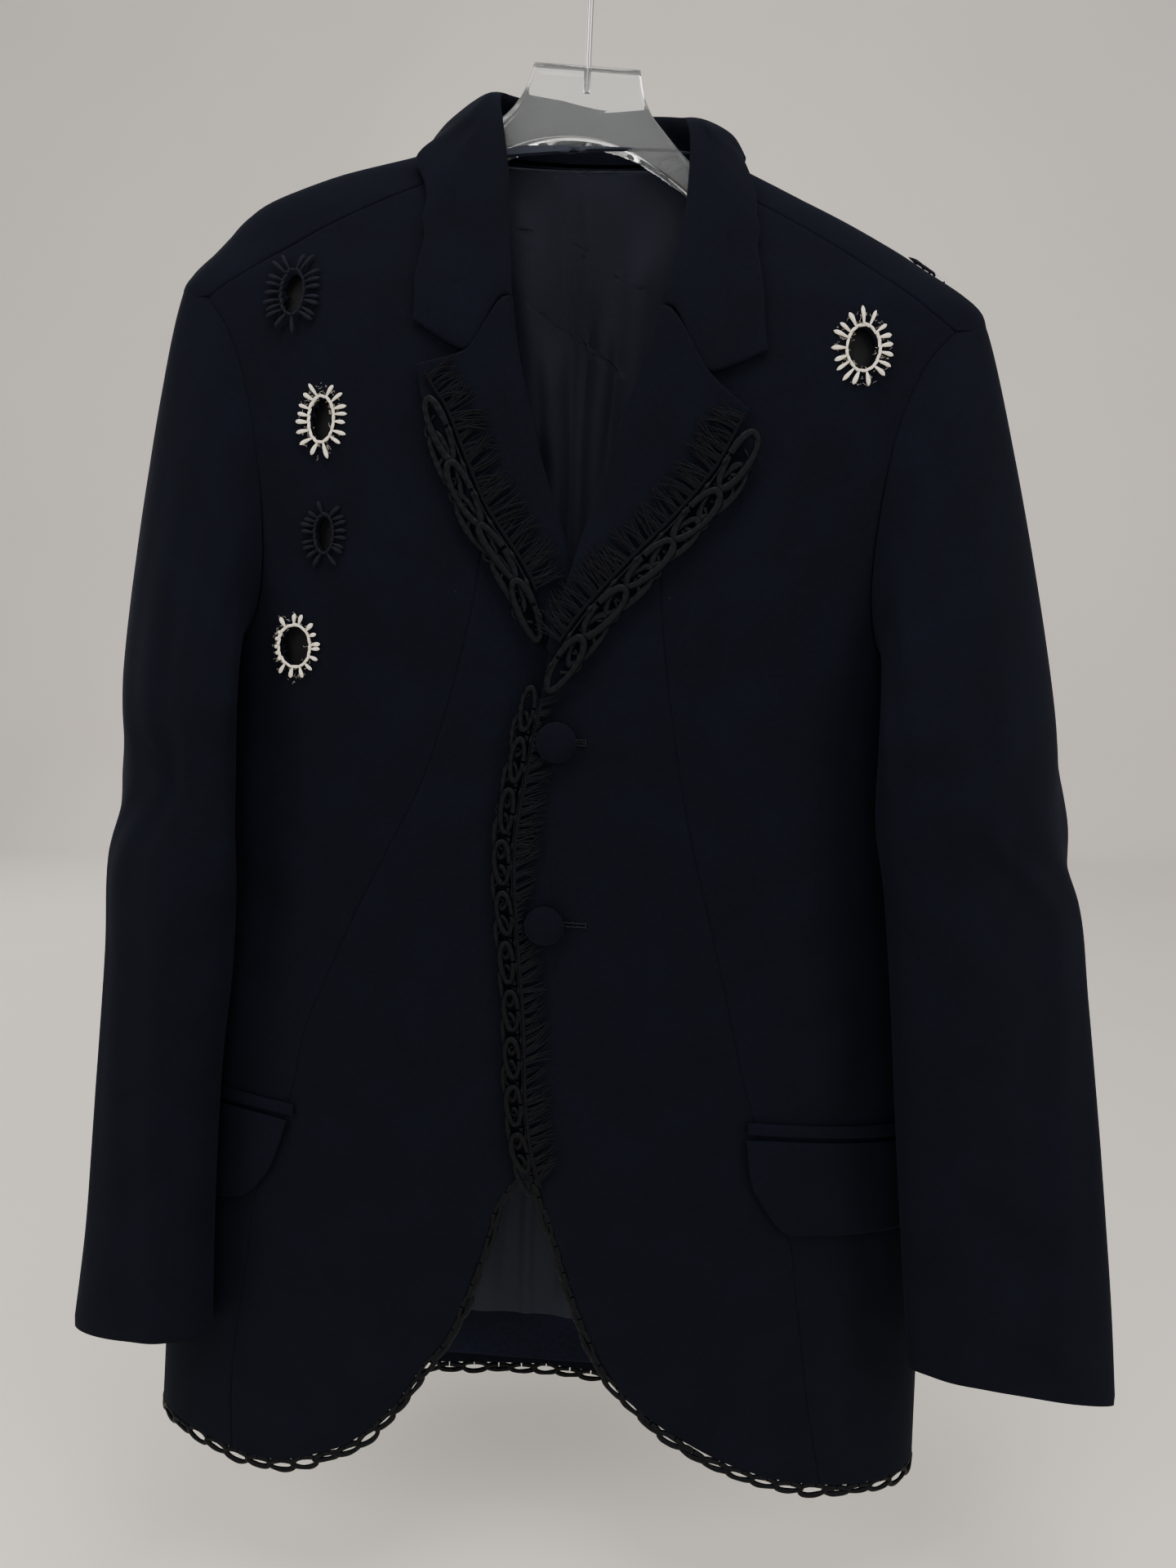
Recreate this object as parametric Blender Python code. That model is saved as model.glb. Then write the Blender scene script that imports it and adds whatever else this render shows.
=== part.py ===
"""A wool blazer with looped cord trim, hung on a clear plastic hanger.

Metres, +Z up, the front faces -Y. The origin is where a rail carries the hook.
Left and right are those of a viewer who faces the front.

The body is a flattened tube. A point on it has a turn, 0 at the front centre,
+1 or -1 at the side and +2 or -2 at the back centre, and a height below the
hanger's top edge. Every cut piece is an outline in (turn, height), cut into
triangles, laid on the tube and given its wall. Sleeves, collar and lapels are
grids of points between named sections.
"""
import math

import bpy
import numpy as np
from mathutils import Matrix, Vector
from mathutils.geometry import delaunay_2d_cdt

# How the garment hangs
HOOK_DROP = 0.100
GARMENT_TILT = math.radians(2.6)
HANGER_TILT = math.radians(5.6)

# Walls and gaps
CLOTH = 0.0020
LINING = 0.0010
SEAM_GAP = 0.00034
EDGE_GAP = 0.0005
PANEL_STEP = (0.046, 0.056)
SHOULDER_HEIGHT = -0.14
SHOULDER_DRAW = 1.5
RIDGE_TURNS_FRONT = (0.55, 0.75, 0.90)
RIDGE_TURNS_BACK = (0.72, 0.84, 0.93, 1.00, 1.07, 1.16, 1.30, 1.50)
RIDGE_HEIGHTS = (-0.050, -0.062, -0.074, -0.086, -0.098, -0.110, -0.122)

# The body's tube: half widths and depths at each height
BODY_COLUMNS = ("height", "left", "right", "front", "side", "back", "power")
BODY = np.array([
    (-0.870, 0.2610, 0.2590, -0.055, 0.025, 0.053, 2.30),
    (-0.740, 0.2540, 0.2530, -0.057, 0.025, 0.050, 2.30),
    (-0.620, 0.2460, 0.2470, -0.060, 0.024, 0.047, 2.30),
    (-0.500, 0.2400, 0.2430, -0.063, 0.023, 0.046, 2.30),
    (-0.400, 0.2360, 0.2400, -0.065, 0.021, 0.050, 2.30),
    (-0.300, 0.2370, 0.2400, -0.063, 0.018, 0.056, 2.30),
    (-0.220, 0.2390, 0.2410, -0.058, 0.014, 0.058, 2.25),
    (-0.160, 0.2400, 0.2410, -0.052, 0.009, 0.057, 2.15),
    (-0.128, 0.2365, 0.2345, -0.045, 0.005, 0.055, 2.10),
    (-0.100, 0.2113, 0.1940, -0.037, 0.003, 0.052, 2.00),
    (-0.080, 0.1900, 0.1555, -0.030, 0.002, 0.050, 2.00),
    (-0.062, 0.1480, 0.1160, -0.022, 0.002, 0.047, 2.00),
    (-0.046, 0.0900, 0.0820, -0.014, 0.002, 0.044, 2.00),
    (-0.036, 0.0680, 0.0660, -0.008, 0.002, 0.042, 2.00),
])

# How far the right front, which is on top, stands off the left one
# Each row: height, rise
LAP = np.array([
    (-0.820, 0.0000),
    (-0.720, 0.0020),
    (-0.640, 0.0045),
    (-0.450, 0.0050),
    (-0.380, 0.0065),
    (-0.330, 0.0085),
    (-0.285, 0.0085),
    (-0.240, 0.0030),
    (-0.190, 0.0000),
])
LAP_FULL = 0.018
LAP_FREE = 0.105

# Cut edges of the fronts, as (x, height)
PRINCESS_LEFT = [(-0.0440, -0.200), (-0.0437, -0.283), (-0.0501, -0.320), (-0.0667, -0.387),
                 (-0.0849, -0.429), (-0.1138, -0.490), (-0.1445, -0.565), (-0.1520, -0.604)]
PRINCESS_LEFT_LOW = [(-0.1760, -0.672), (-0.1830, -0.720), (-0.1930, -0.800), (-0.1980, -0.8555)]
PRINCESS_RIGHT = [(0.0575, -0.200), (0.0563, -0.286), (0.0606, -0.323), (0.0730, -0.392),
                  (0.0841, -0.4385), (0.1019, -0.501), (0.1177, -0.5605), (0.1282, -0.596)]
PRINCESS_RIGHT_LOW = [(0.1552, -0.672), (0.1638, -0.720), (0.1791, -0.807), (0.1850, -0.8465)]
FRONT_EDGE_LEFT = [(0.0238, -0.330), (0.0255, -0.449), (0.0180, -0.540), (0.0060, -0.600),
                   (-0.0080, -0.635), (-0.0215, -0.658)]
FRONT_EDGE_RIGHT = [(-0.0060, -0.352), (-0.0110, -0.383), (-0.0168, -0.420), (-0.0183, -0.449),
                    (-0.0148, -0.492), (-0.0099, -0.541), (-0.0068, -0.592), (-0.0012, -0.6270),
                    (0.0035, -0.6420)]
CUTAWAY_LEFT = [(-0.0215, -0.658), (-0.0290, -0.687), (-0.0385, -0.7195), (-0.0500, -0.7500),
                (-0.0655, -0.7730), (-0.0790, -0.7960), (-0.0930, -0.8140), (-0.1110, -0.8325),
                (-0.1310, -0.8435), (-0.1560, -0.8540), (-0.1835, -0.8570), (-0.2080, -0.8545)]
CUTAWAY_RIGHT = [(0.0035, -0.642), (0.0082, -0.657), (0.0165, -0.681), (0.0250, -0.707),
                 (0.0365, -0.738), (0.0520, -0.768), (0.0800, -0.7975), (0.1110, -0.8185),
                 (0.1510, -0.8365), (0.1880, -0.8460), (0.2120, -0.8500)]

# Seams at the sides and back
SIDE_SEAM_TURN = 1.12
SIDE_HEM = -0.8530
BACK_HEM = -0.8370

# The armhole, from the shoulder point down the front and up the back.
# The width is a share of the body's half width at that height.
# Each row: share, back, width, height
ARMHOLE = np.array([
    (0.000, 0, 1.000, -0.1280),
    (0.050, 0, 0.962, -0.1312),
    (0.100, 0, 0.865, -0.1455),
    (0.155, 0, 0.800, -0.1700),
    (0.210, 0, 0.758, -0.2050),
    (0.270, 0, 0.735, -0.2500),
    (0.330, 0, 0.733, -0.2900),
    (0.375, 0, 0.760, -0.3180),
    (0.420, 0, 0.835, -0.3345),
    (0.460, 0, 0.925, -0.3400),
    (0.500, 0, 1.000, -0.3425),
    (0.540, 1, 0.925, -0.3390),
    (0.580, 1, 0.835, -0.3300),
    (0.630, 1, 0.775, -0.3050),
    (0.690, 1, 0.758, -0.2600),
    (0.760, 1, 0.765, -0.2100),
    (0.830, 1, 0.800, -0.1700),
    (0.900, 1, 0.870, -0.1465),
    (0.950, 1, 0.965, -0.1325),
])
LEFT_SHOULDER_RISE = 0.0065
ARM_STATIONS = 24
ARM_AT_SHOULDER = 2
ARM_AT_SIDE = 13

# Sleeves: two rings under the armhole wrap the body's side
WRAP_HEIGHTS = (-0.372, -0.414)
WRAP_COLUMNS = ("share", "turn", "left_lift", "right_lift", "low_turn", "low_left_lift", "low_right_lift")
WRAP = np.array([
    (0.00, 0.985, 0.0370, 0.0610, 0.955, 0.0405, 0.0700),
    (0.18, 0.813, 0.0440, 0.0560, 0.800, 0.0420, 0.0620),
    (0.30, 0.681, 0.042, 0.044, 0.700, 0.038, 0.044),
    (0.36, 0.644, 0.028, 0.030, 0.660, 0.024, 0.026),
    (0.42, 0.784, 0.0100, 0.0100, 0.760, 0.0150, 0.0130),
    (0.50, 0.965, 0.0160, 0.0160, 0.880, 0.0225, 0.0180),
    (0.58, 1.080, 0.0120, 0.0120, 0.970, 0.0140, 0.0140),
    (0.64, 1.180, 0.013, 0.015, 1.040, 0.016, 0.018),
    (0.72, 1.140, 0.024, 0.031, 1.040, 0.026, 0.038),
    (0.85, 1.068, 0.0330, 0.0520, 1.000, 0.0380, 0.0620),
])
RING_ANGLE = [(0.0, 0.0), (0.18, 75.0), (0.36, 180.0), (0.50, 240.0), (0.64, 300.0), (0.82, 335.0),
              (1.0, 360.0)]
SLEEVE_COLUMNS = ("height", "x", "y", "half_width", "outer", "inner", "turned", "front_up", "out_down")
SLEEVE_LEFT = np.array([
    (-0.460, -0.2222, -0.0440, 0.0525, 0.030, 0.011, 33.0, 0.000, 0.0000),
    (-0.520, -0.2271, -0.0400, 0.0476, 0.031, 0.018, 28.0, 0.000, 0.0000),
    (-0.610, -0.2352, -0.0430, 0.0427, 0.029, 0.022, 21.0, 0.001, 0.0010),
    (-0.700, -0.2414, -0.0450, 0.0438, 0.027, 0.024, 14.0, 0.003, 0.0020),
    (-0.766, -0.2465, -0.0460, 0.0468, 0.026, 0.026, 10.0, 0.006, 0.0035),
])
SLEEVE_RIGHT = np.array([
    (-0.460, 0.2507, -0.0430, 0.0655, 0.032, 0.013, 26.0, 0.000, 0.0000),
    (-0.520, 0.2605, -0.0460, 0.0638, 0.030, 0.015, 20.0, 0.000, 0.0000),
    (-0.610, 0.2738, -0.0500, 0.0634, 0.026, 0.018, 12.0, 0.001, 0.0020),
    (-0.685, 0.2843, -0.0540, 0.0627, 0.023, 0.020, 5.0, 0.003, 0.0040),
    (-0.752, 0.2929, -0.0560, 0.0624, 0.020, 0.020, 1.0, 0.006, 0.0070),
])
LEAVE_COLUMNS = ("share", "along", "out", "fall")
LEAVE = np.array([
    (0.00, 0.060, 0.014, 0.140),
    (0.18, 0.050, 0.030, 0.100),
    (0.30, 0.020, 0.045, 0.080),
    (0.36, 0.006, 0.034, 0.060),
    (0.42, 0.008, 0.018, 0.035),
    (0.50, 0.012, 0.012, 0.030),
    (0.58, 0.010, 0.016, 0.035),
    (0.66, 0.014, 0.030, 0.070),
    (0.80, 0.040, 0.026, 0.110),
])
HEAD_SHARES = (0.0, 0.10, 0.24, 0.42, 0.62, 0.82, 1.0)
SLEEVE_ROWS = 6
SLEEVE_GAP = 0.0006
TOP_FROM = -8
TOP_TO = 11

# The collar, from one front end round the back to the other.
# Foot on the neck seam, fold, and the fall's middle and outer edge on the body.
COLLAR_COLUMNS = ("foot_x", "foot_z", "foot_back", "fold_x", "fold_y", "fold_z", "middle_x", "middle_z",
                  "middle_back", "edge_x", "edge_z", "edge_back", "middle_lift", "edge_lift")
COLLAR = np.array([
    (-0.0395, -0.1345, 0, -0.0325, -0.0505, -0.1305, -0.0560, -0.1655, 0, -0.0864, -0.1505, 0, 0.0045, 0.0038),
    (-0.0430, -0.1250, 0, -0.0335, -0.0465, -0.1200, -0.0580, -0.1440, 0, -0.0862, -0.1370, 0, 0.0048, 0.0040),
    (-0.0500, -0.1070, 0, -0.0365, -0.0385, -0.0950, -0.0600, -0.1110, 0, -0.0850, -0.1150, 0, 0.0055, 0.0042),
    (-0.0590, -0.0840, 0, -0.0395, -0.0280, -0.0640, -0.0620, -0.0830, 0, -0.0852, -0.0930, 0, 0.0070, 0.0045),
    (-0.0690, -0.0620, 0, -0.0450, -0.0160, -0.0350, -0.0660, -0.0600, 0, -0.0868, -0.0720, 0, 0.0095, 0.0050),
    (-0.0755, -0.0440, 0, -0.0490, -0.0020, -0.0150, -0.0640, -0.0395, 0, -0.0840, -0.0465, 0, 0.0135, 0.0065),
    (-0.0690, -0.0390, 1, -0.0460, 0.0180, -0.0070, -0.0620, -0.0395, 1, -0.0830, -0.0475, 1, 0.0115, 0.0065),
    (-0.0520, -0.0385, 1, -0.0310, 0.0370, -0.0035, -0.0420, -0.0400, 1, -0.0600, -0.0590, 1, 0.0075, 0.0050),
    (0.0040, -0.0380, 1, 0.0040, 0.0455, -0.0060, 0.0040, -0.0380, 1, 0.0040, -0.0620, 1, 0.0070, 0.0045),
    (0.0500, -0.0390, 1, 0.0380, 0.0370, -0.0095, 0.0460, -0.0430, 1, 0.0580, -0.0630, 1, 0.0075, 0.0050),
    (0.0700, -0.0415, 1, 0.0530, 0.0180, -0.0170, 0.0680, -0.0440, 1, 0.0850, -0.0525, 1, 0.0115, 0.0065),
    (0.0785, -0.0480, 0, 0.0580, -0.0020, -0.0270, 0.0700, -0.0445, 0, 0.0885, -0.0520, 0, 0.0135, 0.0065),
    (0.0770, -0.0640, 0, 0.0600, -0.0165, -0.0450, 0.0790, -0.0660, 0, 0.0975, -0.0760, 0, 0.0095, 0.0050),
    (0.0720, -0.0850, 0, 0.0598, -0.0290, -0.0720, 0.0795, -0.0870, 0, 0.0998, -0.0940, 0, 0.0070, 0.0045),
    (0.0660, -0.1080, 0, 0.0570, -0.0400, -0.1010, 0.0790, -0.1160, 0, 0.1020, -0.1180, 0, 0.0055, 0.0042),
    (0.0600, -0.1270, 0, 0.0520, -0.0470, -0.1240, 0.0780, -0.1500, 0, 0.1050, -0.1420, 0, 0.0048, 0.0040),
    (0.0565, -0.1375, 0, 0.0495, -0.0505, -0.1325, 0.0765, -0.1725, 0, 0.1077, -0.1600, 0, 0.0045, 0.0038),
])
COLLAR_FOLD = 0.0024
COLLAR_GAP = 0.0022
NECK_STATIONS = 33

# Lapels, from the gorge seam down: roll line, middle and outer edge
# Each row: roll x, roll z, middle x, middle z, edge x, edge z
LAPEL_LEFT = np.array([
    (-0.0318, -0.1360, -0.0563, -0.1668, -0.0835, -0.1740),
    (-0.0285, -0.1580, -0.0530, -0.1820, -0.0790, -0.1920),
    (-0.0215, -0.1880, -0.0460, -0.2030, -0.0705, -0.2150),
    (-0.0115, -0.2230, -0.0350, -0.2320, -0.0570, -0.2400),
    (0.0005, -0.2570, -0.0185, -0.2625, -0.0375, -0.2680),
    (0.0095, -0.2825, -0.0040, -0.2880, -0.0180, -0.2940),
    (0.0165, -0.3050, 0.0065, -0.3090, -0.0060, -0.3180),
])
LAPEL_RIGHT = np.array([
    (0.0490, -0.1380, 0.0768, -0.1738, 0.0990, -0.1915),
    (0.0425, -0.1610, 0.0690, -0.1860, 0.0955, -0.2060),
    (0.0335, -0.1900, 0.0590, -0.2080, 0.0835, -0.2290),
    (0.0232, -0.2290, 0.0445, -0.2410, 0.0655, -0.2520),
    (0.0126, -0.2645, 0.0270, -0.2720, 0.0400, -0.2800),
    (0.0030, -0.2990, 0.0105, -0.3030, 0.0175, -0.3060),
    (-0.0040, -0.3250, -0.0005, -0.3280, 0.0035, -0.3300),
])
ROLL_RADIUS = (0.0026, 0.0015)
ROLL_ANGLES = (-80, -27, 27, 80)
LAPEL_LIFT = (0.0042, 0.0034)
LAPEL_STEPS = 15
LAPEL_WALL = 0.0016

# Looped cord trim
LAPEL_TRIM = {"pitch": 0.0200, "width": 0.0150, "hole_across": 0.0068, "hole_along": 0.0110,
              "centre": 0.0068}
FRONT_TRIM = {"pitch": 0.0200, "width": 0.0125, "hole_across": 0.0058, "hole_along": 0.0105,
              "centre": 0.0058}
HEM_TRIM = {"pitch": 0.0172, "width": 0.0092, "hole_across": 0.0048, "hole_along": 0.0104, "centre": 0.0044}
TRIM_WALL = 0.0024
LAPEL_TRIM_GAP = 0.0005
TRIM_LINE_LEFT = [(-0.0655, -0.1990), (-0.0497, -0.2350), (-0.0405, -0.2527), (-0.0195, -0.2817),
                  (-0.0060, -0.3100)]
TRIM_LINE_RIGHT = [(0.0925, -0.2085), (0.0825, -0.2275), (0.0645, -0.2505), (0.0390, -0.2785),
                   (0.0170, -0.3045), (0.0050, -0.3230), (-0.0030, -0.3370)]

# Frayed fringe
FRINGE_PITCH = 0.0060
FRINGE_ROOT = 0.0018
FRINGE_GAP = 0.0006
FRINGE_STRIP = 0.0020
LAPEL_FRINGE = 0.0155
FRONT_FRINGE = 0.0080
FRINGE_LINE_LEFT = [(-0.0770, -0.1800), (-0.0705, -0.1900), (-0.0630, -0.2010), (-0.0482, -0.2340),
                    (-0.0390, -0.2517), (-0.0180, -0.2807), (-0.0115, -0.2930)]
FRINGE_LINE_RIGHT = [(0.0970, -0.1945), (0.0910, -0.2078), (0.0811, -0.2262), (0.0631, -0.2494),
                     (0.0376, -0.2774), (0.0156, -0.3034), (0.0040, -0.3210)]

# Pockets, as (x, height)
WELT_LEFT = [(-0.1490, -0.6085), (-0.1940, -0.6070), (-0.2290, -0.6090)]
WELT_RIGHT = [(0.1250, -0.5980), (0.1700, -0.6015), (0.2290, -0.6065)]
WELT_HEIGHT = 0.0075
FLAP_LEFT = [(-0.1530, -0.6195), (-0.1580, -0.6355), (-0.1660, -0.6550), (-0.1800, -0.6725),
             (-0.1930, -0.6785), (-0.2100, -0.6800), (-0.2280, -0.6800)]
FLAP_RIGHT = [(0.1245, -0.6090), (0.1290, -0.6355), (0.1386, -0.6530), (0.1522, -0.6695), (0.1710, -0.6720),
              (0.2000, -0.6735), (0.2280, -0.6745)]
FLAP_WALL = 0.0022
FLAP_LIFT = 0.0015
WELT_LIFT = 0.0007
WELT_WALL = 0.0020
FLAP_GAP = 0.0030

# Buttons, as (x, height)
BUTTONS = {"button_upper": (0.0040, -0.3755), "button_lower": (0.0013, -0.4803)}
BUTTON_RADIUS = 0.0113
BUTTON_PROFILE = [(1.00, 0.0016), (0.86, 0.0046), (0.50, 0.0068)]
BUTTON_CROWN = 0.0076
BUTTON_LIFT = 0.0034
BUTTON_SHANK = (0.32, 0.0031)
BUTTON_SIDES = 14

# Worked eyelets: place, half sizes of the hole and reach of the stitches
EYELET_COLUMNS = ("side", "x", "height", "back", "hole_x", "hole_z", "reach_x", "reach_z", "spikes")
EYELETS = {
    "eyelet_left_1": (-1, -0.1577, -0.1340, 0, 0.0060, 0.0116, 0.0150, 0.0245, 14),
    "eyelet_left_2": (-1, -0.1370, -0.2040, 0, 0.0064, 0.0117, 0.0128, 0.0224, 14),
    "eyelet_left_3": (-1, -0.1334, -0.2669, 0, 0.0047, 0.0096, 0.0118, 0.0200, 14),
    "eyelet_left_4": (-1, -0.1503, -0.3305, 0, 0.0090, 0.0110, 0.0126, 0.0205, 14),
    "eyelet_right_1": (1, 0.1601, -0.1542, 0, 0.0082, 0.0114, 0.0168, 0.0210, 14),
    "eyelet_right_2": (1, 0.1930, -0.1130, 1, 0.0100, 0.0080, 0.0185, 0.0150, 14),
}
EYELET_WALL = 0.0024
EYELET_LIFT = 0.0009
EYELET_LIP = 0.0010
EYELET_VALLEY = 0.55
NAVY_EYELETS = ("eyelet_left_1", "eyelet_left_3", "eyelet_right_2")

# The back lining's folds, as soft ridges that stand off the back
# Each row: top x, top height, low x, low height, half width, depth
LINING_FOLDS = np.array([
    (-0.0400, -0.050, -0.0190, -0.150, 0.0110, 0.0100),
    (-0.0190, -0.130, -0.0130, -0.330, 0.0100, 0.0130),
    (0.0040, -0.150, 0.0030, -0.290, 0.0090, 0.0090),
    (0.0330, -0.060, 0.0210, -0.230, 0.0130, 0.0080),
    (-0.0900, -0.300, -0.0700, -0.620, 0.0180, 0.0090),
    (0.0850, -0.280, 0.0700, -0.600, 0.0180, 0.0090),
    (-0.0300, -0.560, -0.0420, -0.780, 0.0150, 0.0070),
    (0.0180, -0.520, 0.0230, -0.780, 0.0140, 0.0080),
])
LINING_DEPTH = 0.0049
FRONT_LINING_DEPTH = 0.0050
LINING_HEM = -0.7950
LINING_TOP = [(0.0, -0.0405), (0.030, -0.0410), (0.055, -0.0420), (0.072, -0.0480), (0.085, -0.0620),
              (0.118, -0.0860), (0.148, -0.1100), (0.164, -0.1450), (0.160, -0.2000), (0.158, -0.2600),
              (0.162, -0.3050), (0.180, -0.3450), (0.205, -0.3750), (0.2215, -0.4300),
              (0.2215, -0.5200), (0.2225, -0.6100), (0.2240, -0.7000)]
FRONT_LINING = [(0.068, -0.1300), (0.078, -0.1050), (0.105, -0.1090), (0.135, -0.1190), (0.166, -0.1300),
                (0.170, -0.1550), (0.163, -0.2000), (0.160, -0.2600), (0.160, -0.3000), (0.168, -0.3300),
                (0.186, -0.3550), (0.199, -0.3900), (0.203, -0.4500), (0.2020, -0.5500), (0.199, -0.6600),
                (0.196, -0.7900), (0.180, -0.8050), (0.130, -0.7950), (0.085, -0.7500), (0.060, -0.6800),
                (0.056, -0.5800), (0.056, -0.4500), (0.056, -0.3200), (0.060, -0.2200)]
LINING_TURN = 1.16
LINING_STEP = (0.055, 0.070)
FACING_DEPTH = 0.0027
FACING_WALL = 0.0012
FACING_HEM = -0.8320

# The hanger, half of its front view, and the hook
HANGER_TOP = [(0.0300, 0.0000), (0.0335, -0.0130), (0.0390, -0.0230), (0.0470, -0.0315), (0.0600, -0.0435),
              (0.0740, -0.0540), (0.0880, -0.0610), (0.1200, -0.0700), (0.1500, -0.0810), (0.1770, -0.0935),
              (0.1900, -0.1070)]
HANGER_LOW = [(0.1900, -0.1190), (0.1770, -0.1150), (0.1500, -0.1030), (0.1200, -0.0900), (0.0880, -0.0780),
              (0.0600, -0.0600), (0.0360, -0.0470), (0.0180, -0.0415)]
HANGER_ARCH = -0.0398
HANGER_WALL = 0.0140
HANGER_BEVEL = 0.0020
WIRE = 0.0034
HOOK_RADIUS = 0.0205
HOOK_SHANK = 0.0430
SCREW_DEPTH = 0.0125
SCREW_CLEARANCE = 0.0003
HOOK_ANGLES = (-62, -40, -18, 4, 26, 48, 70, 92, 114, 136, 158, 180, 202, 222)

COLOURS = {
    "wool": ((0.0085, 0.0095, 0.0160, 1.0), 0.90, 0.0),
    "lining": ((0.0120, 0.0125, 0.0160, 1.0), 0.55, 0.0),
    "cord": ((0.0060, 0.0062, 0.0080, 1.0), 0.40, 0.0),
    "fringe": ((0.0060, 0.0062, 0.0085, 1.0), 0.85, 0.0),
    "cream_yarn": ((0.60, 0.53, 0.41, 1.0), 0.95, 0.0),
    "navy_yarn": ((0.0080, 0.0085, 0.0200, 1.0), 0.95, 0.0),
    "acrylic": ((0.90, 0.93, 0.94, 1.0), 0.06, 0.0),
    "steel": ((0.72, 0.72, 0.72, 1.0), 0.25, 1.0),
}


def clear_scene():
    """Removes every object, so that the scene holds only the model."""
    for item in list(bpy.data.objects):
        bpy.data.objects.remove(item, do_unlink=True)


def material(name):
    """Returns the named finish, made once."""
    found = bpy.data.materials.get(name)
    if found:
        return found
    colour, roughness, metallic = COLOURS[name]
    made = bpy.data.materials.new(name)
    made.use_nodes = True
    shader = made.node_tree.nodes["Principled BSDF"]
    shader.inputs["Base Color"].default_value = colour
    shader.inputs["Roughness"].default_value = roughness
    shader.inputs["Metallic"].default_value = metallic
    return made


def smooth(places, values, at):
    """Cubic through a table's rows, with slopes that never overshoot them."""
    places = np.asarray(places, float)
    values = np.asarray(values, float)
    at = np.clip(at, places[0], places[-1])
    rise = np.diff(values) / np.diff(places)
    same = rise[1:] * rise[:-1] > 0
    total = np.where(same, rise[1:] + rise[:-1], 1.0)
    inner = np.where(same, 2 * rise[1:] * rise[:-1] / total, 0.0)
    slope = np.concatenate([rise[:1], inner, rise[-1:]])
    i = np.clip(np.searchsorted(places, at, side="right") - 1, 0, len(places) - 2)
    width = places[i + 1] - places[i]
    t = (at - places[i]) / width
    return ((1 + 2 * t) * (1 - t) ** 2 * values[i] + t * (1 - t) ** 2 * width * slope[i]
            + t * t * (3 - 2 * t) * values[i + 1] + t * t * (t - 1) * width * slope[i + 1])


def round_line(points, at):
    """Points of the round line through the rows, at row numbers that may have a fraction."""
    points = np.asarray(points, float)
    ends = np.vstack([2 * points[0] - points[1], points, 2 * points[-1] - points[-2]])
    at = np.clip(np.asarray(at, float), 0, len(points) - 1)
    i = np.clip(np.floor(at).astype(int), 0, len(points) - 2)
    t = (at - i)[:, None]
    a, b, c, d = ends[i], ends[i + 1], ends[i + 2], ends[i + 3]
    square, cube = 2 * a - 5 * b + 4 * c - d, 3 * b - a - 3 * c + d
    return 0.5 * (2 * b + (c - a) * t + square * t ** 2 + cube * t ** 3)


def unit(vectors):
    """The vectors at length one."""
    return vectors / np.maximum(np.linalg.norm(vectors, axis=-1, keepdims=True), 1e-12)


# Turns are even lengths round a middling section of the body
ARC_ANGLES = np.linspace(0, math.pi / 2, 3001)
ARC_POINTS = np.stack([0.242 * np.sin(ARC_ANGLES) ** (2 / 2.3),
                       0.056 * np.cos(ARC_ANGLES) ** (2 / 2.3)], axis=1)
ARC_LENGTHS = np.concatenate([[0], np.cumsum(np.linalg.norm(np.diff(ARC_POINTS, axis=0), axis=1))])
QUARTER = ARC_LENGTHS[-1]
ARC_SHARES = ARC_LENGTHS / QUARTER


def angle_at(turn):
    """The angle round the body's section at each turn."""
    quarter = np.floor(turn)
    part = turn - quarter
    even = quarter % 2 == 0
    angle = np.interp(np.where(even, part, 1 - part), ARC_SHARES, ARC_ANGLES)
    return np.where(even, quarter * math.pi / 2 + angle, (quarter + 1) * math.pi / 2 - angle)


def body_sizes(height):
    """The body's sizes at each height, by name."""
    return {name: smooth(BODY[:, 0], BODY[:, i], height) for i, name in enumerate(BODY_COLUMNS) if i}


def on_body(turn, height):
    """Points of the body's tube: a rounded oblong whose front and back have their own depths."""
    height = np.asarray(height, float)
    size = body_sizes(height)
    angle = angle_at(np.asarray(turn, float))
    across, deep = np.sin(angle), np.cos(angle)
    half = np.where(across < 0, size["left"], size["right"])
    x = np.sign(across) * half * np.abs(across) ** (2 / size["power"])
    face = np.where(deep > 0, size["front"], size["back"])
    y = size["side"] + (face - size["side"]) * np.abs(deep) ** (2 / size["power"])
    return np.stack([x, y, height + 0 * x], axis=-1)


def body_slopes(turn, height):
    """How a point of the body moves as its turn and its height grow."""
    small = 0.004
    by_turn = (on_body(turn + small, height) - on_body(turn - small, height)) / (2 * small)
    by_height = (on_body(turn, height + small) - on_body(turn, height - small)) / (2 * small)
    return by_turn, by_height


def lap_rise(x, height):
    """How far the right front stands off the body, most near its edge."""
    rise = smooth(LAP[:, 0], LAP[:, 1], height)
    t = np.clip((LAP_FREE - x) / (LAP_FREE - LAP_FULL), 0, 1)
    return rise * t * t * (3 - 2 * t)


def laid(place, lift, lapped=False):
    """Points that stand off the body by lift, and by the lap too on the right front."""
    place = np.asarray(place, float)
    turn, height = place[..., 0], place[..., 1]
    point = on_body(turn, height)
    by_turn, by_height = body_slopes(turn, height)
    normal = unit(np.cross(by_turn, by_height))
    if lapped:
        lift = lift + lap_rise(point[..., 0], height)
    return point + normal * (np.asarray(lift) + 0 * turn)[..., None]


def turn_at(x, height, back=False):
    """The turn of the point of the body at x and height."""
    size = body_sizes(np.asarray(height, float))
    half = np.where(np.asarray(x) < 0, size["left"], size["right"])
    share = np.clip(np.abs(x) / half, 0, 1) ** (size["power"] / 2)
    turn = np.interp(np.arcsin(share), ARC_ANGLES, ARC_SHARES)
    turn = np.where(back, 2 - turn, turn)
    return np.where(np.asarray(x) < 0, -turn, turn)


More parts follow.
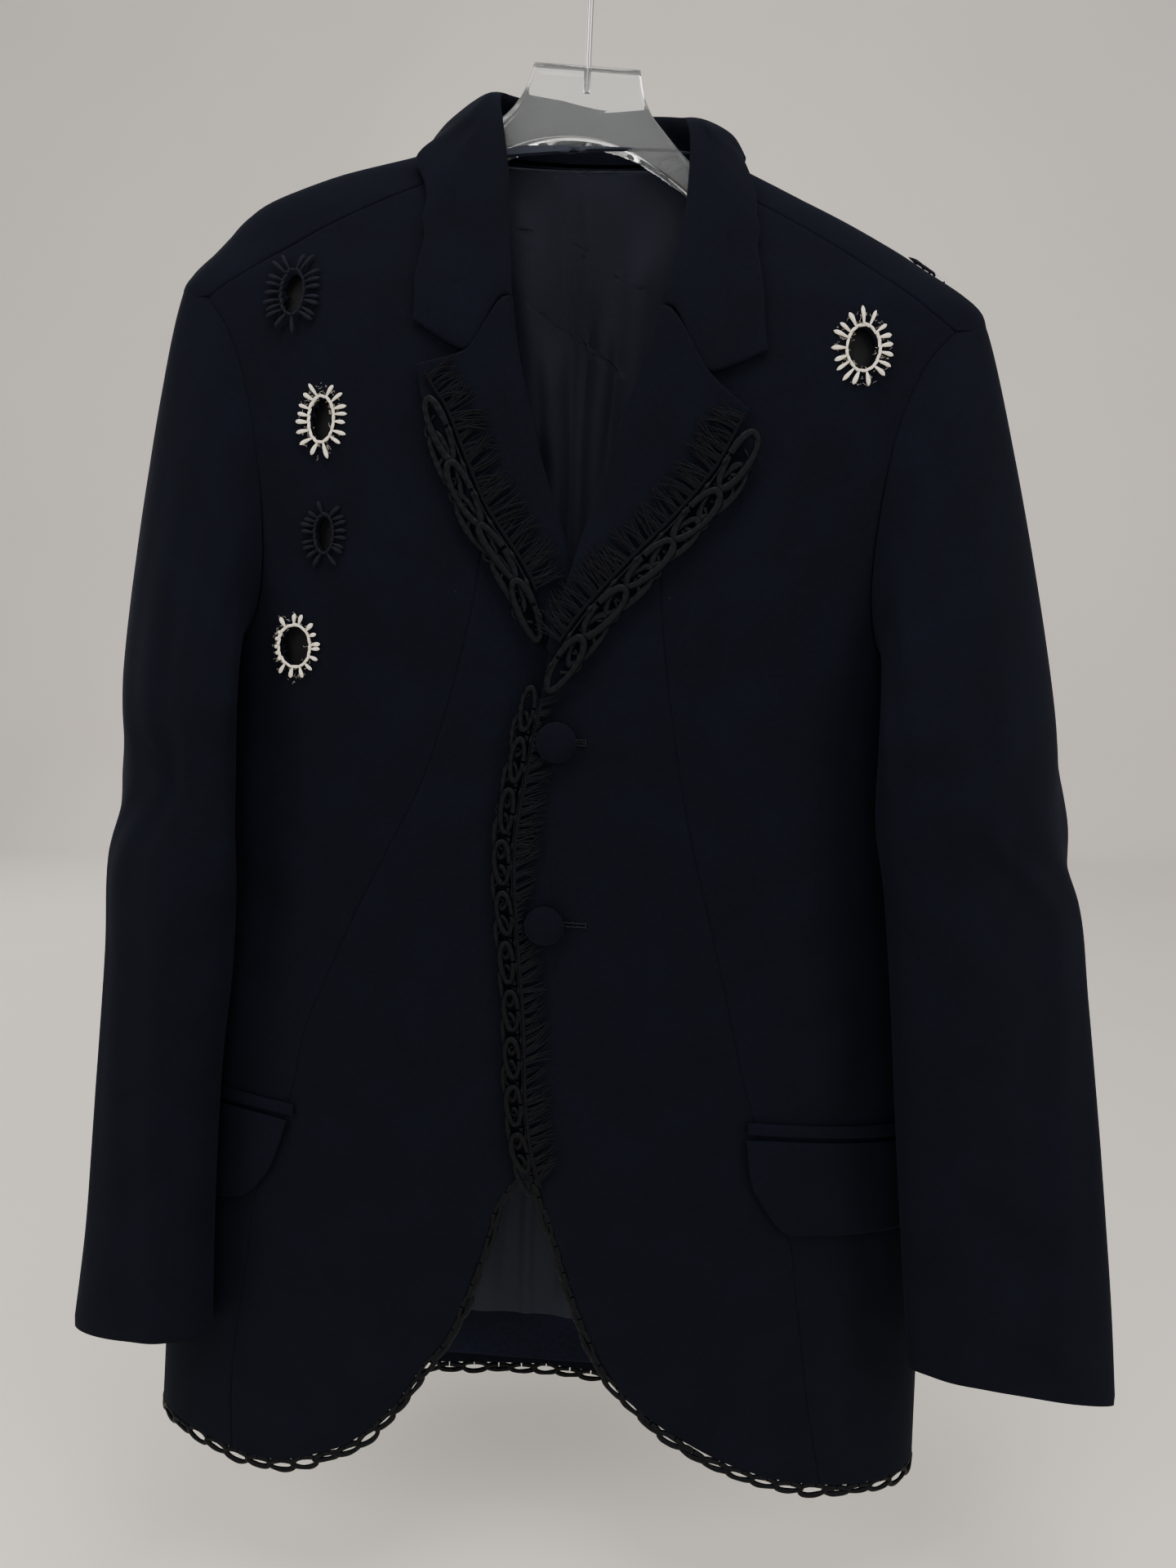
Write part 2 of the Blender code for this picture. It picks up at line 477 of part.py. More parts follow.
def from_front(points, back=False):
    """(x, height) of a face as (turn, height)."""
    points = np.asarray(points, float)
    return np.stack([turn_at(points[:, 0], points[:, 1], back), points[:, 1]], axis=1)


def settled(place, target):
    """The (turn, height) places of the body's points nearest to the targets."""
    place = np.array(place, float)
    for _ in range(6):
        by_turn, by_height = body_slopes(place[:, 0], place[:, 1])
        off = target - on_body(place[:, 0], place[:, 1])
        a = np.sum(by_turn * by_turn, axis=1)
        b = np.sum(by_turn * by_height, axis=1)
        c = np.sum(by_height * by_height, axis=1)
        u, v = np.sum(by_turn * off, axis=1), np.sum(by_height * off, axis=1)
        room = a * c - b * b
        place[:, 0] += (c * u - b * v) / room
        place[:, 1] += (a * v - b * u) / room
    return place


def moved_aside(line, distance, ways=None):
    """A (turn, height) line moved sideways on the body: to its left where distance is above 0."""
    point = on_body(line[:, 0], line[:, 1])
    by_turn, by_height = body_slopes(line[:, 0], line[:, 1])
    normal = unit(np.cross(by_turn, by_height))
    along = unit(np.gradient(point, axis=0)) if ways is None else ways
    aside = unit(np.cross(normal, along))
    return settled(line, point + aside * np.reshape(distance, (-1, 1)))


def even_line(points, pitch):
    """A round (turn, height) line through the rows, read at even steps of about one pitch."""
    fine = round_line(points, np.linspace(0, len(points) - 1, 40 * (len(points) - 1) + 1))
    steps = np.linalg.norm(np.diff(on_body(fine[:, 0], fine[:, 1]), axis=0), axis=1)
    lengths = np.concatenate([[0], np.cumsum(steps)])
    count = max(1, round(lengths[-1] / pitch))
    at = np.linspace(0, lengths[-1], count + 1)
    return np.stack([np.interp(at, lengths, fine[:, i]) for i in (0, 1)], axis=1)


def to_plane(place):
    """(turn, height) as lengths, drawn out over the shoulders, where outlines are cut into triangles."""
    place = np.asarray(place, float)
    drawn = place[:, 1] + SHOULDER_DRAW * np.maximum(0, place[:, 1] - SHOULDER_HEIGHT)
    return np.stack([place[:, 0] * QUARTER, drawn], axis=1)


def from_plane(points):
    """Lengths as (turn, height)."""
    over = np.maximum(0, points[:, 1] - SHOULDER_HEIGHT)
    drawn = over * SHOULDER_DRAW / (1 + SHOULDER_DRAW)
    return np.stack([points[:, 0] / QUARTER, points[:, 1] - drawn], axis=1)


def inside(points, outline):
    """Which points lie within the closed outline."""
    x, y = points[:, 0][:, None], points[:, 1][:, None]
    x1, y1 = outline[:, 0][None], outline[:, 1][None]
    x2, y2 = np.roll(x1, -1), np.roll(y1, -1)
    crosses = (y1 > y) != (y2 > y)
    safe = np.where(y2 == y1, 1.0, y2 - y1)
    return np.sum(crosses & (x < (x2 - x1) * (y - y1) / safe + x1), axis=1) % 2 == 1


def dense(outline):
    """The outline with points between its corners, to measure distances from."""
    following = np.roll(outline, -1, axis=0)
    return np.vstack([outline * (1 - t) + following * t for t in (0, 0.2, 0.4, 0.6, 0.8)])


def far_from(points, others, distance):
    """Which points are farther than the distance from all the others."""
    if not len(points) or not len(others):
        return np.ones(len(points), bool)
    return np.min(np.linalg.norm(points[:, None] - others[None], axis=2), axis=1) > distance


def triangles(outline, holes, inner):
    """Cuts the outline, less its holes, into triangles through the inner points."""
    loops = [outline] + list(holes)
    points = np.vstack(loops + ([inner] if len(inner) else []))
    edges = []
    start = 0
    for loop in loops:
        count = len(loop)
        edges += [(start + i, start + (i + 1) % count) for i in range(count)]
        start += count
    made = delaunay_2d_cdt([Vector(p) for p in points], edges, [], 0, 1e-7)
    verts = np.array([tuple(v) for v in made[0]])
    faces = np.array([f for f in made[2] if len(f) == 3])
    middle = verts[faces].mean(axis=1)
    keep = inside(middle, outline)
    for hole in holes:
        keep &= ~inside(middle, hole)
    faces = faces[keep]
    a, b, c = verts[faces[:, 0]], verts[faces[:, 1]], verts[faces[:, 2]]
    turned = (b[:, 0] - a[:, 0]) * (c[:, 1] - a[:, 1]) < (b[:, 1] - a[:, 1]) * (c[:, 0] - a[:, 0])
    faces[turned] = faces[turned][:, ::-1]
    used, again = np.unique(faces, return_inverse=True)
    return verts[used], again.reshape(faces.shape)


def closed_wall(outer, inner, faces):
    """Joins an outer and an inner face of the same triangles by a wall round every edge."""
    count = len(outer)
    sides = {(int(t[i]), int(t[(i + 1) % 3])) for t in faces for i in range(3)}
    made = [tuple(t) for t in faces] + [tuple(t[::-1] + count) for t in faces]
    for a, b in sorted(sides):
        if (b, a) not in sides:
            made.append((b, a, a + count))
            made.append((b, a + count, b + count))
    return np.vstack([outer, inner]), made


def add_mesh(name, points, faces, finish, place=None):
    """One named object from its points, which are in the garment's frame, and its faces."""
    frame = GARMENT_FRAME if place is None else place
    mesh = bpy.data.meshes.new(name)
    mesh.from_pydata([frame @ Vector(p) for p in points], [], [tuple(int(i) for i in f) for f in faces])
    mesh.update()
    mesh.shade_smooth()
    mesh.set_sharp_from_angle(angle=math.radians(40))
    made = bpy.data.objects.new(name, mesh)
    mesh.materials.append(material(finish))
    bpy.context.scene.collection.objects.link(made)
    return made


def shrunk(outline, distance):
    """The closed (turn, height) outline with every edge moved in by the distance."""
    plane = to_plane(outline)
    around = np.roll(plane, -1, axis=0)
    if np.sum(plane[:, 0] * around[:, 1] - around[:, 0] * plane[:, 1]) < 0:
        outline = outline[::-1]
    point = on_body(outline[:, 0], outline[:, 1])
    by_turn, by_height = body_slopes(outline[:, 0], outline[:, 1])
    normal = unit(np.cross(by_turn, by_height))
    before = unit(point - np.roll(point, 1, axis=0))
    after = unit(np.roll(point, -1, axis=0) - point)
    first, second = unit(np.cross(normal, before)), unit(np.cross(normal, after))
    spread = np.maximum(1 + np.sum(first * second, axis=1, keepdims=True), 0.35)
    return settled(outline, point + (first + second) / spread * distance)


def lattice(outline, holes, step):
    """Points in offset rows inside the outline, clear of its edge and of the holes."""
    across, down = step
    low, high = outline.min(axis=0), outline.max(axis=0)
    rows = np.arange(low[1] + down * 0.6, high[1], down)
    columns = np.arange(low[0] + across * 0.3, high[0], across)
    points = np.array([(x + (i % 2) * across / 2, y) for i, y in enumerate(rows) for x in columns])
    points = points[inside(points, outline)]
    points = points[far_from(points, dense(outline), 0.40 * min(step))]
    for hole in holes:
        points = points[~inside(points, hole) & far_from(points, dense(hole), 0.25 * min(step))]
    return points


def cut_panel(name, outline, step, holes=(), extra=(), lift=0.0, wall=CLOTH, lapped=False, finish="wool",
              shape=None, inset=SEAM_GAP / 2):
    """A cut piece: its outline in (turn, height), laid on the body, with its wall inward."""
    plane = to_plane(shrunk(outline, inset))
    gaps = [to_plane(hole) for hole in holes]
    inner = lattice(plane, gaps, step)
    if len(extra):
        added = to_plane(np.vstack(extra))
        added = added[inside(added, plane) & far_from(added, dense(plane), 0.005)]
        for gap in gaps:
            added = added[~inside(added, gap) & far_from(added, dense(gap), 0.0015)]
        if len(added):
            inner = inner[far_from(inner, added, 0.45 * min(step))]
            inner = np.vstack([inner, added]) if len(inner) else added
    verts, faces = triangles(plane, gaps, inner)
    place = from_plane(verts)
    rise = lift + (shape(place) if shape else 0.0)
    points, made = closed_wall(laid(place, rise, lapped), laid(place, rise - wall, lapped), faces)
    return add_mesh(name, points, made, finish)


def grid_faces(rows, columns):
    """Two triangles for each cell of a grid of points."""
    index = np.arange(rows * columns).reshape(rows, columns)
    a, b = index[:-1, :-1].ravel(), index[:-1, 1:].ravel()
    c, d = index[1:, 1:].ravel(), index[1:, :-1].ravel()
    return np.vstack([np.stack([a, b, c], axis=1), np.stack([a, c, d], axis=1)])


def grid_normals(grid, ring=False):
    """The direction away from a grid's face at each of its points."""
    if ring:
        across = np.roll(grid, -1, axis=1) - np.roll(grid, 1, axis=1)
    else:
        across = np.gradient(grid, axis=1)
    return unit(np.cross(across, np.gradient(grid, axis=0)))


def cut_grid(name, grid, wall=CLOTH, finish="wool", normals=None):
    """A piece worked out as rows of points, with its wall behind the face that shows."""
    normals = grid_normals(grid) if normals is None else normals
    rows, columns = grid.shape[:2]
    inside = (grid - normals * wall).reshape(-1, 3)
    points, made = closed_wall(grid.reshape(-1, 3), inside, grid_faces(rows, columns))
    return add_mesh(name, points, made, finish)


def collar_rows():
    """The collar's table read at even steps, as named columns."""
    at = np.linspace(0, len(COLLAR) - 1, NECK_STATIONS)
    named = {name: COLLAR[:, i] for i, name in enumerate(COLLAR_COLUMNS)}
    rows = {}
    for part in ("foot", "middle", "edge"):
        spots = np.stack([named[part + "_x"], named[part + "_z"]], axis=1)
        place = from_front(spots, named[part + "_back"] > 0)
        place[:, 0] += 4 * (place[:, 0] < 0)
        rows[part] = from_plane(round_line(to_plane(place), at))
    rows["fold"] = round_line(np.stack([named["fold_x"], named["fold_y"], named["fold_z"]], axis=1), at)
    rows["middle_lift"] = np.interp(at, np.arange(len(COLLAR)), named["middle_lift"])
    rows["edge_lift"] = np.interp(at, np.arange(len(COLLAR)), named["edge_lift"])
    return rows


def armhole_ring(sign):
    """The armhole as a closed line from the shoulder point down the front and up the back."""
    share, height = ARMHOLE[:, 0], ARMHOLE[:, 3].copy()
    if sign < 0:
        height += LEFT_SHOULDER_RISE * np.clip((height + 0.200) / 0.070, 0, 1)
    size = body_sizes(height)
    half = size["left"] if sign < 0 else size["right"]
    turn = np.abs(turn_at(sign * ARMHOLE[:, 2] * half, height, ARMHOLE[:, 1] > 0))
    rows = np.stack([turn, height], axis=1)
    rows = np.vstack([rows[-3:], rows, rows[:4]])
    shares = np.concatenate([share[-3:] - 1, share, share[:4] + 1])
    at = np.interp(np.arange(ARM_STATIONS) / ARM_STATIONS, shares, np.arange(len(shares)))
    return round_line(rows, at) * (sign, 1)


def cut_lines():
    """Every cut line of the body's pieces in (turn, height), read once and shared by its neighbours."""
    rows = collar_rows()
    neck = rows["foot"]
    centre = NECK_STATIONS // 2
    lines = {"neck": neck, "collar": rows}
    back_seam = np.array([neck[centre], turn_row(0.0050, -0.20), turn_row(0.0040, -0.50),
                          turn_row(0.0050, BACK_HEM)])
    lines["centre_back"] = even_line(back_seam, 0.060)
    for side, sign in (("left", -1), ("right", 1)):
        tables = SIDES[side]
        stations = tables["neck_stations"]
        arm = armhole_ring(sign)
        lines[side, "arm"] = arm
        own_neck = neck - (4, 0) * (np.arange(len(neck)) <= centre)[:, None] if side == "left" else neck
        lines[side, "neck"] = own_neck
        princess_top = own_neck[stations["princess"]]
        roll = lapel_rows(side)
        lines[side, "roll"] = roll["panel_edge"]
        edge = from_front(tables["front_edge"])
        cutaway = from_front(tables["cutaway"])
        side_hem = np.array([(sign * t, SIDE_HEM) for t in (0.88, 0.95, 1.03, SIDE_SEAM_TURN)])
        lines[side, "front_edge"] = even_line(edge, LAPEL_TRIM["pitch"])
        hem = even_line(np.vstack([cutaway, side_hem]), HEM_TRIM["pitch"])
        lines[side, "hem"] = hem
        turns = np.array([SIDE_SEAM_TURN, 1.2, 1.3, 1.45, 1.6, 1.75, 1.9]) * sign
        share = (np.abs(turns) - SIDE_SEAM_TURN) / (2 - SIDE_SEAM_TURN)
        back = np.stack([turns, SIDE_HEM + (BACK_HEM - SIDE_HEM) * share], axis=1)
        shift = np.array((0 if side == "right" else -4, 0))
        lines[side, "centre_back"] = lines["centre_back"] + shift
        back = np.vstack([back, lines[side, "centre_back"][-1:]])
        lines[side, "back_hem"] = even_line(back, HEM_TRIM["pitch"])
        low = from_front(tables["princess_low"])
        meets = int(np.argmin(np.abs(hem[:, 0] - low[-1, 0])))
        lines[side, "meets"] = meets
        upper = even_line(np.vstack([princess_top[None], from_front(tables["princess"])]), 0.045)
        lower = even_line(np.vstack([low[:-1], hem[meets][None]]), 0.045)
        lines[side, "princess"] = np.vstack([upper, lower])
        seam = np.array([arm[ARM_AT_SIDE], (sign * SIDE_SEAM_TURN, -0.42),
                         (sign * SIDE_SEAM_TURN, -0.60), hem[-1]])
        lines[side, "side_seam"] = even_line(seam, 0.055)
        start, end = own_neck[stations["shoulder"]], arm[ARM_AT_SHOULDER]
        first, last = on_body(*start), on_body(*end)
        t = np.linspace(0, 1, 8)
        x = first[0] + (last[0] - first[0]) * t
        height = first[2] + (last[2] - first[2]) * t + 0.004 * np.sin(math.pi * t)
        lines[side, "shoulder"] = from_front(np.stack([x, height], axis=1))
        lines[side, "shoulder"][[0, -1]] = start, end
    return lines


def turn_row(x, height):
    """(turn, height) of a point of the back."""
    return (float(turn_at(x, height, True)) if x >= 0 else float(4 + turn_at(x, height, True)), height)


def lapel_rows(side):
    """A lapel's lines as (x, height) rows, and the cut edge of the front beside its roll."""
    table = LAPEL_LEFT if side == "left" else LAPEL_RIGHT
    sign = -1 if side == "left" else 1
    at = np.linspace(0, len(table) - 1, LAPEL_STEPS)
    rows = round_line(table, at)
    roll, middle, edge = rows[:, 0:2], rows[:, 2:4], rows[:, 4:6]
    along = unit(np.gradient(roll, axis=0))
    square = np.stack([-along[:, 1], along[:, 0]], axis=1) * sign
    share = np.linspace(0, 1, LAPEL_STEPS)[:, None]
    radius = ROLL_RADIUS[0] + (ROLL_RADIUS[1] - ROLL_RADIUS[0]) * share
    return {"roll": roll, "middle": middle, "edge": edge, "square": square, "radius": radius,
            "panel_edge": from_front(roll + square * (radius + EDGE_GAP))}


def oval(x, height, half_x, half_z, count, back, shift=0.0):
    """A closed oval on the body, as (turn, height)."""
    angle = (np.arange(count) + shift) * 2 * math.pi / count
    return from_front(np.stack([x + half_x * np.cos(angle), height + half_z * np.sin(angle)], axis=1), back)


def eyelets_of(side, back):
    """The eyelets' holes in one piece, and a ring of points round each that the stitches lie on."""
    holes, rings = [], []
    for row in EYELETS.values():
        size = dict(zip(EYELET_COLUMNS, row))
        if size["side"] == (-1 if side == "left" else 1) and bool(size["back"]) == back:
            place = (size["x"], size["height"])
            holes.append(oval(*place, size["hole_x"], size["hole_z"], 12, back))
            rings.append(oval(*place, size["reach_x"], size["reach_z"], 10, back))
    return holes, rings


def pocket_lines(side):
    """Outlines of a welt and its flap in (turn, height), and points inside the flap."""
    tables = SIDES[side]
    top = round_line(tables["welt"], np.linspace(0, 2, 6))
    low = top - (0, WELT_HEIGHT)
    welt = from_front(np.vstack([top, low[::-1]]))
    front = round_line(tables["flap"], np.linspace(0, len(tables["flap"]) - 1, 10))
    upper = round_line(tables["welt"], np.linspace(0.25, 2, 5)) - (0, WELT_HEIGHT + FLAP_GAP)
    upper = upper[(np.abs(upper[:, 0]) > abs(front[0, 0]) + 0.012)]
    flap = from_front(np.vstack([front, upper[::-1]]))
    centre = 0.5 * (front[0] + front[-1]) + (0, 0.008)
    inner = np.array([centre + (dx, dz) for dx, dz in ((-0.022, -0.004), (0.0, 0.004), (0.022, 0.010))])
    return {"welt": welt, "flap": flap, "inner": from_front(inner)}


def add_body(lines):
    """The six cut pieces of the body."""
    for side, sign in (("left", -1), ("right", 1)):
        lapped = side == "right"
        at = SIDES[side]["neck_stations"]
        neck, arm = lines[side, "neck"], lines[side, "arm"]
        princess, hem, meets = lines[side, "princess"], lines[side, "hem"], lines[side, "meets"]
        seam, side_seam = lines[side, "shoulder"], lines[side, "side_seam"]
        pocket = pocket_lines(side)
        patches = [pocket["welt"], pocket["flap"], pocket["inner"]]
        holes, rings = eyelets_of(side, False)

        end = 0 if side == "left" else len(neck) - 1
        front_neck = between(neck, at["princess"], end)
        outline = np.vstack([princess[::-1], front_neck[1:], lines[side, "roll"][1:],
                             lines[side, "front_edge"], hem[1:meets]])
        cut_panel("centre_front_" + side, outline, PANEL_STEP, lapped=lapped, extra=patches)

        columns = np.array([(sign * t, z) for t in (0.84, 0.93, 1.0, 1.06)
                            for z in np.arange(-0.39, -0.84, -0.06)])
        ridge = np.array([(sign * t, z) for t in RIDGE_TURNS_FRONT for z in RIDGE_HEIGHTS[3:]])
        outline = np.vstack([between(neck, at["shoulder"], at["princess"]), princess[1:], hem[meets + 1:-1],
                             side_seam[::-1], arm[ARM_AT_SHOULDER:ARM_AT_SIDE][::-1], seam[::-1][1:-1]])
        cut_panel("side_front_" + side, outline, PANEL_STEP, holes=holes, lapped=lapped,
                  extra=rings + patches + [columns, ridge])

        holes, rings = eyelets_of(side, True)
        columns = np.array([(sign * t, z) for t in (1.19, 1.32) for z in np.arange(-0.40, -0.84, -0.07)])
        ridge = np.array([(sign * t, z) for t in RIDGE_TURNS_BACK for z in RIDGE_HEIGHTS])
        back_arm = np.vstack([arm[:ARM_AT_SHOULDER][::-1], arm[ARM_AT_SIDE + 1:][::-1]])
        outline = np.vstack([seam, back_arm, side_seam, lines[side, "back_hem"][1:-1],
                             lines[side, "centre_back"][::-1],
                             between(neck, NECK_STATIONS // 2, at["shoulder"])[1:-1]])
        cut_panel("back_" + side, outline, PANEL_STEP, holes=holes, extra=rings + [columns, ridge])


def between(rows, first, last):
    """The rows from one number to another, in either order, both ends included."""
    return rows[first:last + 1] if last >= first else rows[last:first + 1][::-1]


def ring_point(size, sign, angle):
    """A point of a sleeve's section at an angle from its outer edge."""
    along = np.array([math.cos(size["turned"]), math.sin(size["turned"])])
    front = np.array([along[1], -along[0]])
    deep = np.where(np.sin(angle) > 0, size["outer"], size["inner"])
    flat = (np.cos(angle) * size["half_width"])[:, None] * along + (np.sin(angle) * deep)[:, None] * front
    x = size["x"] + sign * flat[:, 0]
    height = size["height"] + np.sin(angle) * size["front_up"] - np.cos(angle) * size["out_down"]
    return np.stack([x, size["y"] + flat[:, 1], height], axis=1)


def add_sleeve(side, sign, lines):
    """Top and under sleeve, from the armhole past the wrap at the body's side to the cuff."""
    arm = lines[side, "arm"]
    share = np.arange(ARM_STATIONS) / ARM_STATIONS
    point = on_body(arm[:, 0], arm[:, 1])
    by_turn, by_height = body_slopes(arm[:, 0], arm[:, 1])
    normal = unit(np.cross(by_turn, by_height))
    along = unit(np.roll(point, -1, axis=0) - np.roll(point, 1, axis=0))
    into = unit(np.cross(normal, along)) * sign
    start = point + into * (SEAM_GAP * 1.5)

    wrap = {name: np.interp(share, np.append(WRAP[:, 0], 1.0), np.append(WRAP[:, i], WRAP[0, i]))
            for i, name in enumerate(WRAP_COLUMNS) if i}
    wraps = []
    for prefix, height in zip(("", "low_"), WRAP_HEIGHTS):
        place = np.stack([sign * wrap[prefix + "turn"], height + 0 * share], axis=1)
        wraps.append(laid(place, wrap[prefix + side + "_lift"]))
        wraps[-1][:, 2] = height
    end = wraps[0]

    table = SLEEVE_LEFT if side == "left" else SLEEVE_RIGHT
    angles = np.radians(np.interp(share, *np.array(RING_ANGLE).T))
    heights = np.linspace(table[0, 0], table[-1, 0], SLEEVE_ROWS)
    rings = []
    for height in heights:
        size = {name: float(smooth(-table[:, 0], table[:, i], -height))
                for i, name in enumerate(SLEEVE_COLUMNS) if i}
        size["height"] = height
        size["turned"] = math.radians(size["turned"])
        rings.append(ring_point(size, sign, angles))

    leave = {name: np.interp(share, np.append(LEAVE[:, 0], 1.0), np.append(LEAVE[:, i], LEAVE[0, i]))
             for i, name in enumerate(LEAVE_COLUMNS) if i}
    first = into * leave["along"][:, None] + normal * leave["out"][:, None]
    last = unit(wraps[1] - end) * leave["fall"][:, None]
    rows = []
    for t in HEAD_SHARES:
        rows.append(start * (2 * t ** 3 - 3 * t ** 2 + 1) + first * (t ** 3 - 2 * t ** 2 + t)
                    + end * (3 * t ** 2 - 2 * t ** 3) + last * (t ** 3 - t ** 2))
    grid = np.stack(rows + wraps[1:] + rings)
    normals = grid_normals(grid, ring=True)
    for _ in range(2):
        normals[1:-1] = unit(normals[:-2] + 2 * normals[1:-1] + normals[2:])
    middle = grid.mean(axis=1, keepdims=True)
    turned = np.sum(normals * (grid - middle)) < 0
    for name, first, last in (("top_sleeve_", TOP_FROM, TOP_TO),
                              ("under_sleeve_", TOP_TO, TOP_FROM + ARM_STATIONS)):
        index = np.arange(first, last + 1) % ARM_STATIONS
        part, faced = grid[:, index].copy(), normals[:, index]
        if turned:
            part, faced = part[:, ::-1].copy(), -faced[:, ::-1]
        part[:, 0] += unit(part[:, 1] - part[:, 0]) * SLEEVE_GAP / 2
        part[:, -1] += unit(part[:, -2] - part[:, -1]) * SLEEVE_GAP / 2
        cut_grid(name + side, part, normals=faced)


def add_collar(lines):
    """The turned collar: a stand that rises from the neck seam, and a fall over the shoulders."""
    rows = lines["collar"]
    fold = rows["fold"]
    foot_place = moved_aside(rows["foot"], np.full(NECK_STATIONS, -COLLAR_GAP))
    foot = laid(foot_place, -CLOTH)
    middle = laid(rows["middle"], rows["middle_lift"])
    edge = laid(rows["edge"], rows["edge_lift"])
    along = unit(np.gradient(fold, axis=0))
    ways = []
    for end in (middle, foot):
        way = end - fold
        ways.append(unit(way - along * np.sum(way * along, axis=1, keepdims=True)))
    into, across = unit(ways[0] + ways[1]), unit(ways[0] - ways[1])
    centre = fold + into * COLLAR_FOLD
    beside = across * COLLAR_FOLD
    grid = np.stack([foot, centre - beside, fold, centre + beside, middle, edge], axis=1)
    normals = grid_normals(grid)
    normals[:, 2] = -into
    if np.sum(normals[:, 4] * laid_normal(rows["middle"])) < 0:
        normals = -normals
        normals[:, 2] *= -1
        grid, normals = grid[::-1], normals[::-1]
    cut_grid("collar", grid, normals=normals)


def laid_normal(place):
    """The body's outward direction at the places."""
    by_turn, by_height = body_slopes(place[:, 0], place[:, 1])
    return unit(np.cross(by_turn, by_height))


def add_lapel(side, lines):
    """A lapel: the front turned back round its roll and laid over the front."""
    lapped = side == "right"
    rows = lapel_rows(side)
    share = np.linspace(0, 1, LAPEL_STEPS)
    lift = LAPEL_LIFT[0] + (LAPEL_LIFT[1] - LAPEL_LIFT[0]) * share
    radius = rows["radius"][:, 0]
    low = -LAPEL_WALL
    columns = []
    for angle in np.radians(ROLL_ANGLES):
        out = rows["radius"] - math.cos(angle) * rows["radius"]
        height = (lift + low) / 2 + math.sin(angle) * (lift - low) / 2
        columns.append(laid(from_front(rows["roll"] + rows["square"] * out), height, lapped))
    for part in ("middle", "edge"):
        columns.append(laid(from_front(rows[part]), lift, lapped))
    grid = np.stack(columns, axis=1)
    normals = grid_normals(grid)
    place = from_front(rows["roll"])
    out = laid_normal(place)
    turned = np.sum(normals[:, -1] * out) < 0
    if turned:
        normals = -normals
    by_turn, by_height = body_slopes(place[:, 0], place[:, 1])
    aside = unit(on_body(*from_front(rows["roll"] + rows["square"] * ROLL_RADIUS[0]).T) - on_body(*place.T))
    for column, angle in enumerate(np.radians(ROLL_ANGLES)):
        normals[:, column] = unit(math.sin(angle) * out - math.cos(angle) * aside)
    if turned:
        grid, normals = grid[::-1], normals[::-1]
    cut_grid("lapel_" + side, grid, wall=LAPEL_WALL, normals=normals)


def loop_cell(trim, crests):
    """One cell of the looped trim: points as (share of the pitch, distance out), faces, and its rows."""
    outer = [(0.0, trim["width"] * 0.80)]
    outer += [((i + 1) / (crests + 1), trim["width"]) for i in range(crests)]
    hole = []
    for i in range(6):
        angle = i * math.pi / 3
        hole.append((0.5 + math.cos(angle) * trim["hole_along"] / 2 / trim["pitch"],
                     trim["centre"] + math.sin(angle) * trim["hole_across"] / 2))
    border = [(0.0, 0.0), (1.0, 0.0), (1.0, outer[0][1])] + outer[:0:-1] + [outer[0]]
    scale = np.array((trim["pitch"], 1.0))
    verts, faces = triangles(np.array(border) * scale, [np.array(hole) * scale], [])
    return verts / scale, faces


def looped_trim(name, line, trim, inner=0.0, lift=0.0002, lapped=False, crests=1, wall=TRIM_WALL, sign=1,
                trims=0.0006):
    """Cord loops in a row beside a (turn, height) line whose rows are one pitch apart."""
    cell, faces = loop_cell(trim, crests)
    count = len(line) - 1
    points, index, made = [], {}, []
    for k in range(count):
        numbers = []
        for share, out in cell:
            key = (round(k + share, 5), round(out, 6))
            if key not in index:
                index[key] = len(points)
                points.append(key)
            numbers.append(index[key])
        made += [[numbers[i] for i in face] for face in faces]
    points, made = np.array(points), np.array(made)
    at = np.clip(points[:, 0], trims / trim["pitch"], count - trims / trim["pitch"])
    base = round_line(line, at)
    ahead, behind = round_line(line, at + 0.05), round_line(line, at - 0.05)
    ways = unit(on_body(ahead[:, 0], ahead[:, 1]) - on_body(behind[:, 0], behind[:, 1]))
    place = moved_aside(base, sign * (inner + points[:, 1]), ways)
    if sign < 0:
        made = made[:, ::-1]
    verts, walls = closed_wall(laid(place, lift, lapped), laid(place, lift - wall, lapped), made)
    return add_mesh(name, verts, walls, "cord")


